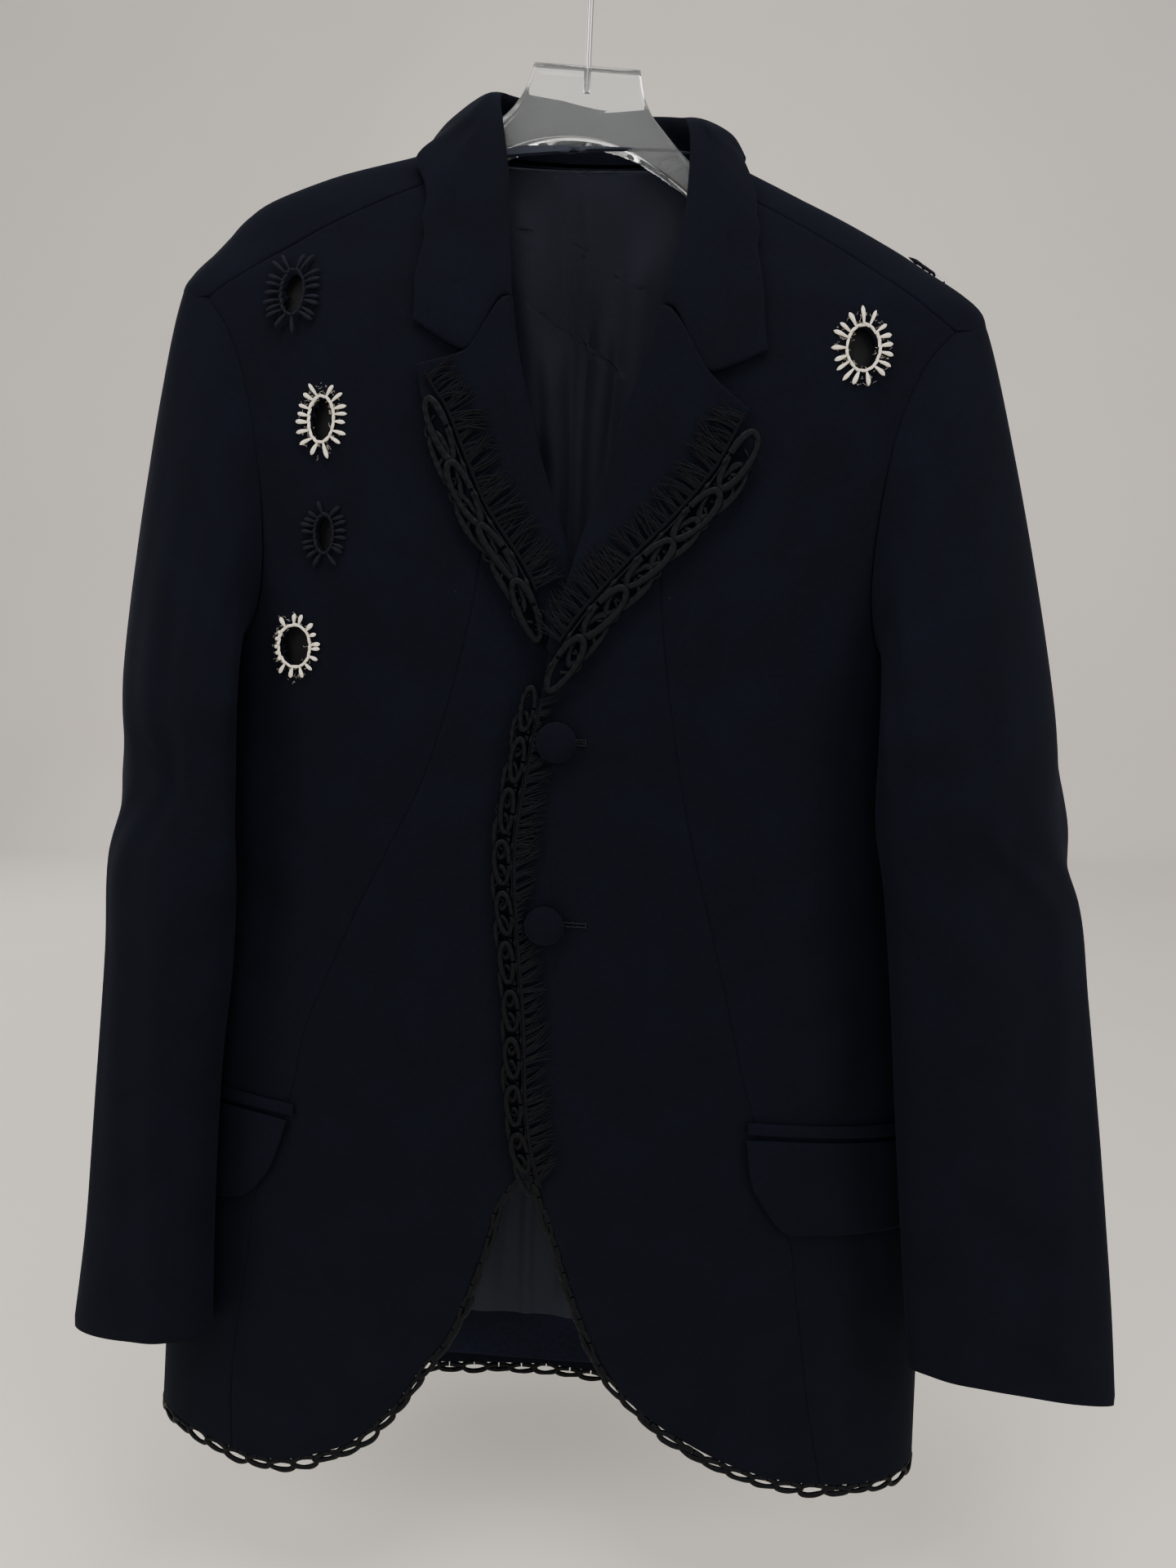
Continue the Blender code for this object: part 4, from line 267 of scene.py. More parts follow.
# The body is a flattened tube. A point on it has a turn, 0 at the front centre,
# +1 or -1 at the side and +2 or -2 at the back centre, and a height.
BODY_COLUMNS = ("height", "left", "right", "front", "side", "back", "power")
BODY = metres([
    (-870, 261, 259, -55, 25, 53, 2.3), (-740, 254, 253, -57, 25, 50, 2.3),
    (-620, 246, 247, -60, 24, 47, 2.3), (-500, 240, 243, -63, 23, 46, 2.3),
    (-400, 236, 240, -65, 21, 50, 2.3), (-300, 237, 240, -63, 18, 56, 2.3),
    (-220, 239, 241, -58, 14, 58, 2.25), (-160, 240, 241, -52, 9, 57, 2.15),
    (-128, 236.5, 234.5, -45, 5, 55, 2.1), (-100, 211.3, 194, -37, 3, 52, 2),
    (-80, 190, 155.5, -30, 2, 50, 2), (-62, 148, 116, -22, 2, 47, 2), (-46, 90, 82, -14, 2, 44, 2),
    (-36, 68, 66, -8, 2, 42, 2)], plain=(6,))
# how far the right front, which is on top, stands off the left one
LAP_RISE = metres([
    (-820, 0), (-720, 2), (-640, 4.5), (-450, 5), (-380, 6.5), (-330, 8.5), (-285, 8.5), (-240, 3),
    (-190, 0)])
LAP_FULL = 0.018
LAP_FREE = 0.105
LINING = 0.0010
LINING_DEPTH = 0.0049
LINING_HEM = -0.7950
LINING_TURN = 1.16
LINING_TOP = metres([
    (0, -40.5), (30, -41), (55, -42), (72, -48), (85, -62), (118, -86), (148, -110), (164, -145),
    (160, -200), (158, -260), (162, -305), (180, -345), (205, -375), (221.5, -430), (221.5, -520),
    (222.5, -610), (224, -700)])
# each fold: its line's upper x and height, lower x and height, half its width and its depth
LINING_FOLDS = metres([
    (-42, -70, -25, -200, 13, 4), (-17, -150, -11, -330, 10, 5), (13, -120, 9, -300, 10, 4),
    (36, -90, 26, -260, 13, 4), (-90, -300, -70, -620, 18, 9), (85, -280, 70, -600, 18, 9),
    (-30, -560, -42, -780, 15, 7), (18, -520, 23, -780, 14, 8)])
# finer folds between the large ones: the same columns
LINING_PLEATS = metres([
    (-2, -45, 1, -330, 4.4, 0.9), (50, -80, 42, -300, 9, 1.8), (-65, -120, -56, -420, 12, 2.8),
    (110, -200, 100, -520, 14, 2.6), (-130, -220, -118, -600, 15, 2.6), (-10, -620, -12, -790, 6, 2.2),
    (36, -640, 39, -790, 7, 2)])
FACING_DEPTH = 0.0027
FACING_WALL = 0.0012
FACING_HEM = -0.8320
FACING_TURNS = np.linspace(1.38, 2.62, 9)
FRONT_LINING_DEPTH = 0.0050
FRONT_LINING_IN = metres([
    (68, -130), (60, -220), (56, -320), (56, -450), (56, -580), (60, -680), (85, -750), (130, -795)])
FRONT_LINING_OUT = metres([
    (78, -105), (105, -101), (135, -105), (166, -116), (170, -155), (163, -200), (160, -260), (160, -300),
    (168, -330), (186, -355), (199, -390), (203, -450), (202, -550), (199, -660), (196, -790)])
CLOTH = 0.0020
SIDES = (("left", -1), ("right", 1))
# rows this near to a cut edge round it off, within the reach
EDGE_ROWS = np.array([0.0, 0.0004, 0.0010, 0.0020])
EDGE_REACH = 0.0016
# panels narrower than this get their edge rows closer
EDGE_FULL = 0.020
# a sheet's flat size is at least this wide, and its piece fills at least this share of it
LEAST_WIDTH = 0.011
LEAST_SHARE = 0.32


def smooth(places, values, at):
    """Cubic through a table's rows, with slopes that never overshoot them."""
    places = np.asarray(places, float)
    values = np.asarray(values, float)
    at = np.clip(at, places[0], places[-1])
    wide = np.diff(places).reshape((-1,) + (1,) * (values.ndim - 1))
    rise = np.diff(values, axis=0) / wide
    same = rise[1:] * rise[:-1] > 0
    total = np.where(same, rise[1:] + rise[:-1], 1.0)
    inner = np.where(same, 2 * rise[1:] * rise[:-1] / total, 0.0)
    slope = np.concatenate([rise[:1], inner, rise[-1:]])
    i = np.clip(np.searchsorted(places, at, side="right") - 1, 0, len(places) - 2)
    shape = np.shape(at) + (1,) * (values.ndim - 1)
    width = (places[i + 1] - places[i]).reshape(shape)
    t = ((at - places[i]) / (places[i + 1] - places[i])).reshape(shape)
    return ((1 + 2 * t) * (1 - t) ** 2 * values[i] + t * (1 - t) ** 2 * width * slope[i]
            + t * t * (3 - 2 * t) * values[i + 1] + t * t * (t - 1) * width * slope[i + 1])


# turns are even lengths round a middling section of the body
ARC_ANGLES = np.linspace(0, math.pi / 2, 3001)
ARC_POINTS = coords(0.242 * np.sin(ARC_ANGLES) ** (2 / 2.3), 0.056 * np.cos(ARC_ANGLES) ** (2 / 2.3))
ARC_LENGTHS = lengths_along(ARC_POINTS)
QUARTER = ARC_LENGTHS[-1]


def angle_at(turn):
    """The angle round the body's section at each turn."""
    quarter = np.floor(turn)
    part = turn - quarter
    even = quarter % 2 == 0
    angle = np.interp(np.where(even, part, 1 - part), ARC_LENGTHS / QUARTER, ARC_ANGLES)
    return np.where(even, quarter * math.pi / 2 + angle, (quarter + 1) * math.pi / 2 - angle)


def body_sizes(height):
    """The body's sizes at each height, by name."""
    return {name: smooth(BODY[:, 0], BODY[:, i], height) for i, name in enumerate(BODY_COLUMNS) if i}


def on_body(place):
    """Points of the body: a rounded oblong, |sin| and |cos| of the angle raised to 2 / power."""
    turn, height = np.moveaxis(np.asarray(place, float), -1, 0)
    size = body_sizes(height)
    angle = angle_at(turn)
    across, back = np.sin(angle), np.cos(angle)
    half = np.where(across < 0, size["left"], size["right"])
    x = np.sign(across) * half * np.abs(across) ** (2 / size["power"])
    face = np.where(back > 0, size["front"], size["back"])
    y = size["side"] + (face - size["side"]) * np.abs(back) ** (2 / size["power"])
    return coords(x, y, height)


def body_slopes(place, small=0.004):
    """How a point of the body moves as its turn and its height grow."""
    return [(on_body(place + step) - on_body(place - step)) / (2 * small) for step in small * np.eye(2)]


def body_normal(place):
    """The body's outward direction at (turn, height) places."""
    return unit(np.cross(*body_slopes(place)))


def lap_rise(x, height):
    """How far the right front stands off the body, most near its edge."""
    t = np.clip((LAP_FREE - x) / (LAP_FREE - LAP_FULL), 0, 1)
    return smooth(LAP_RISE[:, 0], LAP_RISE[:, 1], height) * t * t * (3 - 2 * t)


def laid(place, lift, lapped=False):
    """Points that stand off the body by lift, and by the lap too on the right front."""
    place = np.asarray(place, float)
    point = on_body(place)
    if lapped:
        lift = lift + lap_rise(point[..., 0], place[..., 1])
    return point + body_normal(place) * np.asarray(lift)[..., None]


def turn_at(x, height, back=False):
    """The turn of the point of the body at x and height."""
    size = body_sizes(np.asarray(height, float))
    half = np.where(np.asarray(x) < 0, size["left"], size["right"])
    share = np.clip(np.abs(x) / half, 0, 1) ** (size["power"] / 2)
    turn = np.interp(np.arcsin(share), ARC_ANGLES, ARC_LENGTHS / QUARTER)
    turn = np.where(back, 2 - turn, turn)
    return np.where(np.asarray(x) < 0, -turn, turn)


def from_front(points, back=False):
    """(x, height) of a face as (turn, height)."""
    points = np.asarray(points, float)
    return coords(turn_at(points[..., 0], points[..., 1], back), points[..., 1])


def spaced(total, step):
    """Places along a length at even steps, with close ones beside both ends, for rounded edges."""
    near = EDGE_ROWS * min(1.0, total / EDGE_FULL)
    between = np.linspace(near[-1], total - near[-1], max(3, round(total / step)))
    return np.concatenate([near[:-1], between, total - near[-2::-1]])


def read_along(line, shares):
    """Places on a (turn, height) line at shares of its length on the body."""
    length = lengths_along(on_body(line))
    return np.stack([np.interp(shares * length[-1], length, line[:, i]) for i in (0, 1)], axis=1)


def panel_grid(side_a, side_b, step, top=None, low=None, columns=None, crowd=0.0):
    """A cut piece's (turn, height) grid between two long edges that run from its top to its foot.

    Each row runs straight from one edge to the other, with close columns beside both. Where the piece
    has a top or a foot edge too, its bow is blended in from that end (a Coons patch). Crowd sets the
    columns closer in the middle, by a sine.
    """
    length = max(lengths_along(on_body(side))[-1] for side in (side_a, side_b))
    shares = spaced(length, step) / length
    first, last = read_along(side_a, shares), read_along(side_b, shares)
    width = np.linalg.norm(on_body(first) - on_body(last), axis=1)
    total = np.quantile(width, 0.9)
    count = columns or max(8, round(total / step))
    close = EDGE_ROWS / np.maximum(width, 0.004)[:, None] * np.clip(width / EDGE_FULL, 0.02, 1)[:, None]
    even = np.linspace(0, 1, count)[None, 1:-1]
    even = even + crowd * np.sin(2 * math.pi * even) / (2 * math.pi)
    inner = close[:, -1:] + (1 - 2 * close[:, -1:]) * even
    share = np.concatenate([close, inner, 1 - close[:, ::-1]], axis=1)[..., None]
    grid = first[:, None] * (1 - share) + last[:, None] * share
    down = shares[:, None, None]
    for edge, fade, row in ((top, 1 - down, 0), (low, down, -1)):
        if edge is not None:
            wanted = read_along(edge, share[row, :, 0])
            grid = grid + (wanted - grid[row])[None] * fade
    return grid


def edge_distance(points):
    """How far each point of a grid is from the grid's nearest edge, along its rows and columns."""
    left, up = lengths_along(points, 1), lengths_along(points)
    return np.minimum(np.minimum(left, left[:, -1:] - left), np.minimum(up, up[-1:] - up))


def grid_normals(grid):
    """The direction away from a grid's face at each of its points."""
    return unit(np.cross(np.gradient(grid, axis=1), np.gradient(grid, axis=0)))


def facing(normals, outward, last=0):
    """The normals, all turned round if those of the last columns, or of all, point inwards on the whole."""
    return normals * (-1 if np.sum(normals[:, -last:] * outward) < 0 else 1)


def grid_quads(rows, columns):
    """The quads of a grid of points numbered row by row."""
    index = np.arange(rows * columns).reshape(rows, columns)
    return np.stack([index[:-1, :-1], index[:-1, 1:], index[1:, 1:], index[1:, :-1]], axis=-1).reshape(-1, 4)


def cloth_wall(points, normals, wall, quads, rounding):
    """A closed cloth: the face, its back one wall behind, and a strip that joins them round every edge.

    Near an edge both faces draw in by the rounding, so that the edge is round.
    """
    points, normals = points.reshape(-1, 3), normals.reshape(-1, 3)
    rounding = np.reshape(rounding, (-1, 1))
    corner = points[quads]
    way = np.cross(corner[:, 2] - corner[:, 0], corner[:, 3] - corner[:, 1])
    if np.sum(way * normals[quads[:, 0]]) < 0:
        quads = quads[:, ::-1]
    count = len(points)
    start = quads.ravel().astype(np.int64)
    end = np.roll(quads, -1, axis=1).ravel().astype(np.int64)
    free = ~np.isin(end * count + start, start * count + end)
    a, b = start[free], end[free]
    strip = np.stack([b, a, a + count, b + count], axis=1)
    faces = np.concatenate([quads, quads[:, ::-1] + count, strip])
    return np.vstack([points - normals * rounding, points - normals * (wall - rounding)]), faces


def cloth_uv(points):
    """The cut cloth's own map in metres: across by the length along rows, down by the columns' mean."""
    u = lengths_along(points, 1)
    v = lengths_along(points).mean(axis=1)
    return coords(u - u[:, -1:] / 2, -v[:, None]).reshape(-1, 2)


def cloth_piece(name, points, normals, wall, finish, quads=None, soft=0.72):
    """One piece of cloth from its grid of points: the closed wall, its map, and what it was cut from."""
    quads = grid_quads(*points.shape[:2]) if quads is None else quads
    near = np.clip(1 - edge_distance(points) / EDGE_REACH, 0, 1)
    verts, faces = cloth_wall(points, normals, wall, quads, soft * wall / 2 * near ** 2)
    uv = np.tile(cloth_uv(points), (2, 1))
    made = add_piece(name + "_cloth", verts, faces.tolist(), finish, uv=uv, sharp=70)
    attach(made, "root")
    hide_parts(name)
    corner = points.reshape(-1, 3)[quads]
    halves = [np.cross(corner[:, i] - corner[:, 0], corner[:, 2] - corner[:, 0]) for i in (1, 3)]
    area = float(np.sum(np.linalg.norm(halves, axis=-1)) / 2)
    width = max(round(float(np.max(lengths_along(points, 1))), 3), LEAST_WIDTH)
    length = round(float(np.max(lengths_along(points))), 3)
    area = min(area, width * length)
    length = min(length, area / LEAST_SHARE / width)
    print("cut", name, round(width * 1000), round(length * 1000), round(area * 1e4))
    return made


def folds_at(place, table, sharpness=1.6):
    """The height of long soft folds: each a rounded ridge about a slanting line, fading at both ends."""
    x, z = on_body(place)[..., 0], place[..., 1]
    total = 0
    for top_x, top_z, low_x, low_z, half_width, depth in table:
        share = (top_z - z) / (top_z - low_z)
        bow = 0.10 * half_width * np.sin(share * 9 + top_x * 90)
        near = np.clip(1 - np.abs(x - (top_x + (low_x - top_x) * share) - bow) / half_width, 0, 1)
        fade = np.clip((share + 0.15) / 0.25, 0, 1) * np.clip((1.15 - share) / 0.25, 0, 1)
        total = total + depth * (np.sin(near * math.pi / 2) ** sharpness) * fade * fade * (3 - 2 * fade)
    return total


def relief_and_dye(tree, shader, height, strength, distance, share, dark, light):
    """Raises a surface by the height times the distance, and dyes it from dark to light by the share."""
    bump = add_node(tree, "Bump", {"Height": height, "Strength": strength, "Distance": distance})
    tree.links.new(bump["Normal"], shader["Normal"])
    dye = add_node(tree, "Mix", {0: share, 6: linear(dark), 7: linear(light)}, data_type="RGBA", name="dye")
    tree.links.new(dye[2], shader["Base Color"])
    return dye[2]


def painted_light_copy(finish, name, dark, light):
    """A copy of a cloth with its two tones changed, for painted light and painted shade."""
    made = finish.copy()
    made.name = name
    for i, code in ((6, dark), (7, light)):
        made.node_tree.nodes["dye"].inputs[i].default_value = linear(code)
    return made


# Polyester satin lining: smooth and closely woven, so it takes long soft gleams down its folds
satin, tree, shader = new_finish("satin_lining", "#10131B", "#8C96B4", Roughness=0.7, Sheen_Weight=0.06,
                                 Sheen_Roughness=0.4, Specular_IOR_Level=0.16)
where = add_node(tree, "UVMap", uv_map="cut")["UV"]
# a twill of about 0.3 mm, drawn at 0.8 mm so that it shows at all, and slubs 6 mm long
rib = add_node(tree, "Mapping", {"Vector": where, "Rotation": (0, 0, 0.9)})
twill = add_node(tree, "TexWave", {"Vector": rib["Vector"], "Scale": 200.0, "Distortion": 0.6, "Detail": 1.0})
slub = add_node(tree, "Mapping", {"Vector": where, "Scale": (900.0, 160.0, 1.0)})
threads = add_node(tree, "TexNoise", {"Vector": slub["Vector"], "Scale": 1.0, "Detail": 3.0})
height = add_node(tree, "Math", {0: twill["Fac"], 1: threads["Fac"]}, operation="ADD")
relief_and_dye(tree, shader, height["Value"], 0.25, 0.0002, threads["Fac"], "#141822", "#1B202D")

right = from_front(LINING_TOP, True)
right = np.vstack([right, [(LINING_TURN, LINING_HEM)]])
left = right * (-1, 1) + (4, 0)
left[:-1] = from_front(LINING_TOP * (-1, 1), True) + (4, 0)
place = panel_grid(fine(right, 8), fine(left, 8), 0.0056, columns=136, crowd=0.60)
folds = folds_at(place, LINING_FOLDS, 1.3) + folds_at(place, LINING_PLEATS)
points = laid(place, -LINING_DEPTH - folds)
normals = facing(grid_normals(points), body_normal(place))
cloth_piece("back_lining", points, normals, LINING, satin, soft=0.3)

# Wool flannel suiting, woven as a fine twill and milled: a matt navy that is almost black, with a
# short nap that catches light at grazing angles and hides most of the weave
wool, tree, shader = new_finish("wool_flannel", "#08090D", "#5C6784", Roughness=0.95, Sheen_Weight=0.06,
                                Sheen_Roughness=0.5, Specular_IOR_Level=0.06)
where = add_node(tree, "UVMap", uv_map="cut")["UV"]
# the twill's ribs are 0.5 mm apart and are drawn at 1.1 mm, which the picture can just hold
slant = add_node(tree, "Mapping", {"Vector": where, "Rotation": (0, 0, 0.95)})
twill = add_node(tree, "TexWave", {"Vector": slant["Vector"], "Scale": 143.0, "Distortion": 1.6,
                                   "Detail": 2.0, "Detail Scale": 4.0})
# single fibres and their tufts, about 0.8 mm across
fibres = add_node(tree, "TexNoise", {"Vector": where, "Scale": 1250.0, "Detail": 3.0, "Roughness": 0.7})
relief = add_node(tree, "Math", {0: twill["Fac"], 1: 0.12, 2: fibres["Fac"]}, operation="MULTIPLY_ADD")
# cloudy nap, brushed this way and that by wear, in patches of 3 and of 40 mm
nap = add_node(tree, "TexNoise", {"Vector": where, "Scale": 330.0, "Detail": 2.0})
cloud = add_node(tree, "TexNoise", {"Vector": where, "Scale": 26.0, "Detail": 2.0})
both = add_node(tree, "Math", {0: nap["Fac"], 1: cloud["Fac"]}, operation="ADD")
mixed = add_node(tree, "MapRange", {"Value": both["Value"], "From Min": 0.75, "From Max": 1.3})
dyed = relief_and_dye(tree, shader, relief["Value"], 0.45, 0.0004, mixed["Result"], "#070910", "#090C15")
fleck = add_node(tree, "MapRange", {"Value": fibres["Fac"], "From Min": 0.30, "From Max": 0.72,
                                    "To Min": 0.78, "To Max": 1.22})
toned = add_node(tree, "VectorMath", {0: dyed, "Scale": fleck["Result"]}, operation="SCALE")
# specks of pale lint, 0.6 mm across and a hand's breadth or less apart
lint = add_node(tree, "TexVoronoi", {"Vector": where, "Scale": 34.0})
speck = add_node(tree, "Math", {0: lint["Distance"], 1: 0.010}, operation="LESS_THAN")
chosen = add_node(tree, "SeparateColor", {"Color": lint["Color"]})
rare = add_node(tree, "Math", {0: chosen["Red"], 1: 0.16}, operation="LESS_THAN")
there = add_node(tree, "Math", {0: speck["Value"], 1: rare["Value"]}, operation="MULTIPLY")
pale = linear("#3A3C42")
linted = add_node(tree, "Mix", {0: there["Value"], 6: toned["Vector"], 7: pale}, data_type="RGBA")
tree.links.new(linted[2], shader["Base Color"])

foot = coords(FACING_TURNS, FACING_HEM)
head = coords(FACING_TURNS, LINING_HEM - 0.0006)
place = panel_grid(foot, head, 0.0045, columns=9)
points = laid(place, -FACING_DEPTH + 0.0004 * np.sin(place[..., 0] * 31) * np.sin(place[..., 0] * 11))
# painted lighter than the other wool: the facing lies in shade inside the back, and its paler tones stand in
# for light that does not reach it
painted_light_wool = painted_light_copy(wool, "wool_facing_painted_lighter", "#0E1119", "#141825")
cloth_piece("back_hem_facing", points, body_normal(place), FACING_WALL, painted_light_wool)
# the fronts are lined in the same satin, painted darker: painted shade, so that the lining seen through the
# cut eyelets looks as dark as a hole's shade
painted_shade_satin = painted_light_copy(satin, "satin_front_lining_painted_shade", "#020306", "#040509")
for side, sign in SIDES:
    first, last = (fine(from_front(line * (sign, 1)), 6) for line in (FRONT_LINING_IN, FRONT_LINING_OUT))
    place = panel_grid(first, last, 0.0060)
    points = laid(place, -FRONT_LINING_DEPTH)
    cloth_piece("front_lining_" + side, points, body_normal(place), LINING, painted_shade_satin, soft=0.3)

## Backs
# Two pieces joined down the centre back, from the neck seam over the shoulder to a
# seam that lies a little forward, and down to the hem. One worked eyelet is cut into
# the right one, behind the shoulder.
EDGE_GAP = 0.0005
SIDE_SEAM_TURN = 1.12
SIDE_HEM = -0.8530
BACK_HEM = -0.8370
# rows of the hem's line are as far apart as its loops of trim
HEM_PITCH = 0.0172
NECK_STATIONS = 33
NECK_MIDDLE = 16
NECK_SHOULDER = {"left": 8, "right": 24}
NECK_PRINCESS = {"left": 4, "right": 28}
SHOULDER_HEIGHT = -0.14
SHOULDER_DRAW = 1.5
# The collar, from one front end round the back to the other: its foot on the neck seam, its fold, and
# the fall's middle and outer edge on the body
COLLAR_COLUMNS = ("foot_x", "foot_z", "foot_back", "fold_x", "fold_y", "fold_z", "middle_x", "middle_z",
                  "middle_back", "edge_x", "edge_z", "edge_back", "middle_lift", "edge_lift")
COLLAR = metres([
    (-39.5, -134.5, 0, -32.5, -50.5, -130.5, -56, -165.5, 0, -86.4, -150.5, 0, 4.5, 3.8),
    (-43, -125, 0, -33.5, -46.5, -120, -58, -144, 0, -86.2, -137, 0, 4.8, 4),
    (-50, -107, 0, -36.5, -38.5, -95, -60, -111, 0, -85, -115, 0, 5.5, 4.2),
    (-59, -84, 0, -39.5, -28, -64, -62, -83, 0, -85.2, -93, 0, 7, 4.5),
    (-69, -62, 0, -45, -16, -35, -66, -60, 0, -86.8, -72, 0, 9.5, 5),
    (-75.5, -44, 0, -49, -2, -15, -64, -39.5, 0, -84, -46.5, 0, 13.5, 6.5),
    (-69, -39, 1, -46, 18, -7, -62, -39.5, 1, -83, -47.5, 1, 11.5, 6.5),
    (-52, -38.5, 1, -31, 37, -3.5, -42, -40, 1, -60, -59, 1, 7.5, 5),
    (4, -38, 1, 4, 45.5, -6, 4, -38, 1, 4, -62, 1, 7, 4.5),
    (50, -39, 1, 38, 37, -9.5, 46, -43, 1, 58, -63, 1, 7.5, 5),
    (70, -41.5, 1, 53, 18, -17, 68, -44, 1, 85, -52.5, 1, 11.5, 6.5),
    (78.5, -48, 0, 58, -2, -27, 70, -44.5, 0, 88.5, -52, 0, 13.5, 6.5),
    (77, -64, 0, 60, -16.5, -45, 79, -66, 0, 97.5, -76, 0, 9.5, 5),
    (72, -85, 0, 59.8, -29, -72, 79.5, -87, 0, 99.8, -94, 0, 7, 4.5),
    (66, -108, 0, 57, -40, -101, 79, -116, 0, 102, -118, 0, 5.5, 4.2),
    (60, -127, 0, 52, -47, -124, 78, -150, 0, 105, -142, 0, 4.8, 4),
    (56.5, -137.5, 0, 49.5, -50.5, -132.5, 76.5, -172.5, 0, 107.7, -160, 0, 4.5, 3.8)], plain=(2, 8, 11))
# The armhole, from the shoulder point down the front and up the back: the share of the way, whether
# at the back, the width as a share of the body's half width at that height, and the height
ARMHOLE = metres([
    (0, 0, 1, -128), (0.05, 0, 0.962, -131.2), (0.1, 0, 0.865, -145.5), (0.155, 0, 0.8, -170),
    (0.21, 0, 0.758, -205), (0.27, 0, 0.735, -250), (0.33, 0, 0.733, -290), (0.375, 0, 0.76, -318),
    (0.42, 0, 0.835, -334.5), (0.46, 0, 0.925, -340), (0.5, 0, 1, -342.5), (0.54, 1, 0.925, -339),
    (0.58, 1, 0.835, -330), (0.63, 1, 0.775, -305), (0.69, 1, 0.758, -260), (0.76, 1, 0.765, -210),
    (0.83, 1, 0.8, -170), (0.9, 1, 0.87, -146.5), (0.95, 1, 0.965, -132.5)], plain=(0, 1, 2))
LEFT_SHOULDER_RISE = 0.0065
ARM_STATIONS = 24
ARM_AT_SHOULDER = 2
ARM_AT_SIDE = 13
BACK_CELL = 0.0042
# Worked eyelets: side, whether behind, and the middle, the cut hole's and the stitches' half sizes
EYELETS = {
    "eyelet_left_1": ("left", False, metres([(-157.7, -134), (6, 11.6), (15, 24.5)])),
    "eyelet_left_2": ("left", False, metres([(-137, -204), (6.4, 11.7), (12.8, 22.4)])),
    "eyelet_left_3": ("left", False, metres([(-133.4, -266.9), (4.7, 9.6), (11.8, 20)])),
    "eyelet_left_4": ("left", False, metres([(-150.3, -330.5), (9, 11), (12.6, 20.5)])),
    "eyelet_right_1": ("right", False, metres([(160.1, -154.2), (8.2, 11.4), (16.8, 21)])),
    "eyelet_right_2": ("right", True, metres([(193, -113), (10, 8), (18.5, 15)])),
}
# Drape of the backs: soft ridges, and troughs where the depth is below 0
BACK_DRAPE = metres([
    (-145, -150, -175, -420, 26, 2.2), (-118, -160, -130, -500, 20, -1.6), (-50, -70, -80, -240, 26, -1.6),
    (56, -70, 86, -260, 24, -1.7), (140, -150, 168, -400, 25, 2.4), (115, -170, 124, -520, 19, -1.4),
    (-70, -420, -58, -800, 30, 2.4), (60, -450, 76, -810, 33, 2.1), (-150, -480, -162, -820, 28, -1.8),
    (150, -520, 156, -820, 26, -1.8), (30, -300, -20, -370, 14, 1), (-20, -390, 50, -450, 16, 0.9)])


def to_plane(place):
    """(turn, height) as lengths, drawn out over the shoulders."""
    drawn = place[:, 1] + SHOULDER_DRAW * np.maximum(0, place[:, 1] - SHOULDER_HEIGHT)
    return coords(place[:, 0] * QUARTER, drawn)


def from_plane(points):
    """Lengths as (turn, height)."""
    over = np.maximum(0, points[:, 1] - SHOULDER_HEIGHT)
    return coords(points[:, 0] / QUARTER, points[:, 1] - over * SHOULDER_DRAW / (1 + SHOULDER_DRAW))


def even_line(points, pitch):
    """A round (turn, height) line through the rows, read at even steps of about one pitch."""
    dense = fine(points, 40)
    steps = max(1, round(lengths_along(on_body(dense))[-1] / pitch))
    return read_along(dense, np.linspace(0, 1, steps + 1))


def settled(place, target):
    """The (turn, height) places of the body's points nearest to the targets, by Newton's steps."""
    place = np.array(place, float)
    for _ in range(5):
        by_turn, by_height = body_slopes(place)
        off = target - on_body(place)
        a, b, c = (np.sum(p * q, axis=-1) for p, q in ((by_turn, by_turn), (by_turn, by_height),
                                                       (by_height, by_height)))
        u, v = np.sum(by_turn * off, axis=-1), np.sum(by_height * off, axis=-1)
        room = a * c - b * b
        place[..., 0] += (c * u - b * v) / room
        place[..., 1] += (a * v - b * u) / room
    return place


def moved_aside(line, distance):
    """A (turn, height) line moved sideways on the body: to its left where distance is above 0."""
    point = on_body(line)
    along = unit(np.gradient(point, axis=0))
    return settled(line, point + unit(np.cross(body_normal(line), along)) * distance)


def armhole_ring(sign):
    """The armhole as a closed line from the shoulder point down the front and up the back."""
    share, back, width, height = ARMHOLE.T.copy()
    if sign < 0:
        height += LEFT_SHOULDER_RISE * np.clip((height + 0.200) / 0.070, 0, 1)
    size = body_sizes(height)
    half = size["left"] if sign < 0 else size["right"]
    rows = coords(np.abs(turn_at(sign * width * half, height, back > 0)), height)
    rows = np.vstack([rows[-3:], rows, rows[:4]])
    shares = np.concatenate([share[-3:] - 1, share, share[:4] + 1])
    at = np.interp(np.arange(ARM_STATIONS) / ARM_STATIONS, shares, np.arange(len(shares)))
    return round_line(rows, at) * (sign, 1)


def eyelet_cut(place, side, back):
    """Cuts the eyelets' holes in a grid: places near a hole's rim move onto it, and cells inside it go."""
    quads = grid_quads(*place.shape[:2])
    flat = place.reshape(-1, 2).copy()
    spot = on_body(flat)[:, [0, 2]]
    behind = (np.abs(flat[:, 0]) > 1) == back
    keep = np.ones(len(quads), bool)
    for own_side, own_back, (centre, half, _) in EYELETS.values():
        if own_side == side and own_back == back:
            # 1 on the hole's rim; places within a quarter of it are moved onto it
            away = np.linalg.norm((spot - centre) / half, axis=1)
            near = behind & (np.abs(away - 1) < 0.26)
            spot[near] = centre + (spot[near] - centre) / away[near][:, None]
            flat[near] = from_front(spot[near], back)
            middle = np.linalg.norm((spot[quads].mean(axis=1) - centre) / half, axis=1)
            keep &= ~((middle < 0.97) & behind[quads[:, 0]])
    return flat.reshape(place.shape), quads[keep]


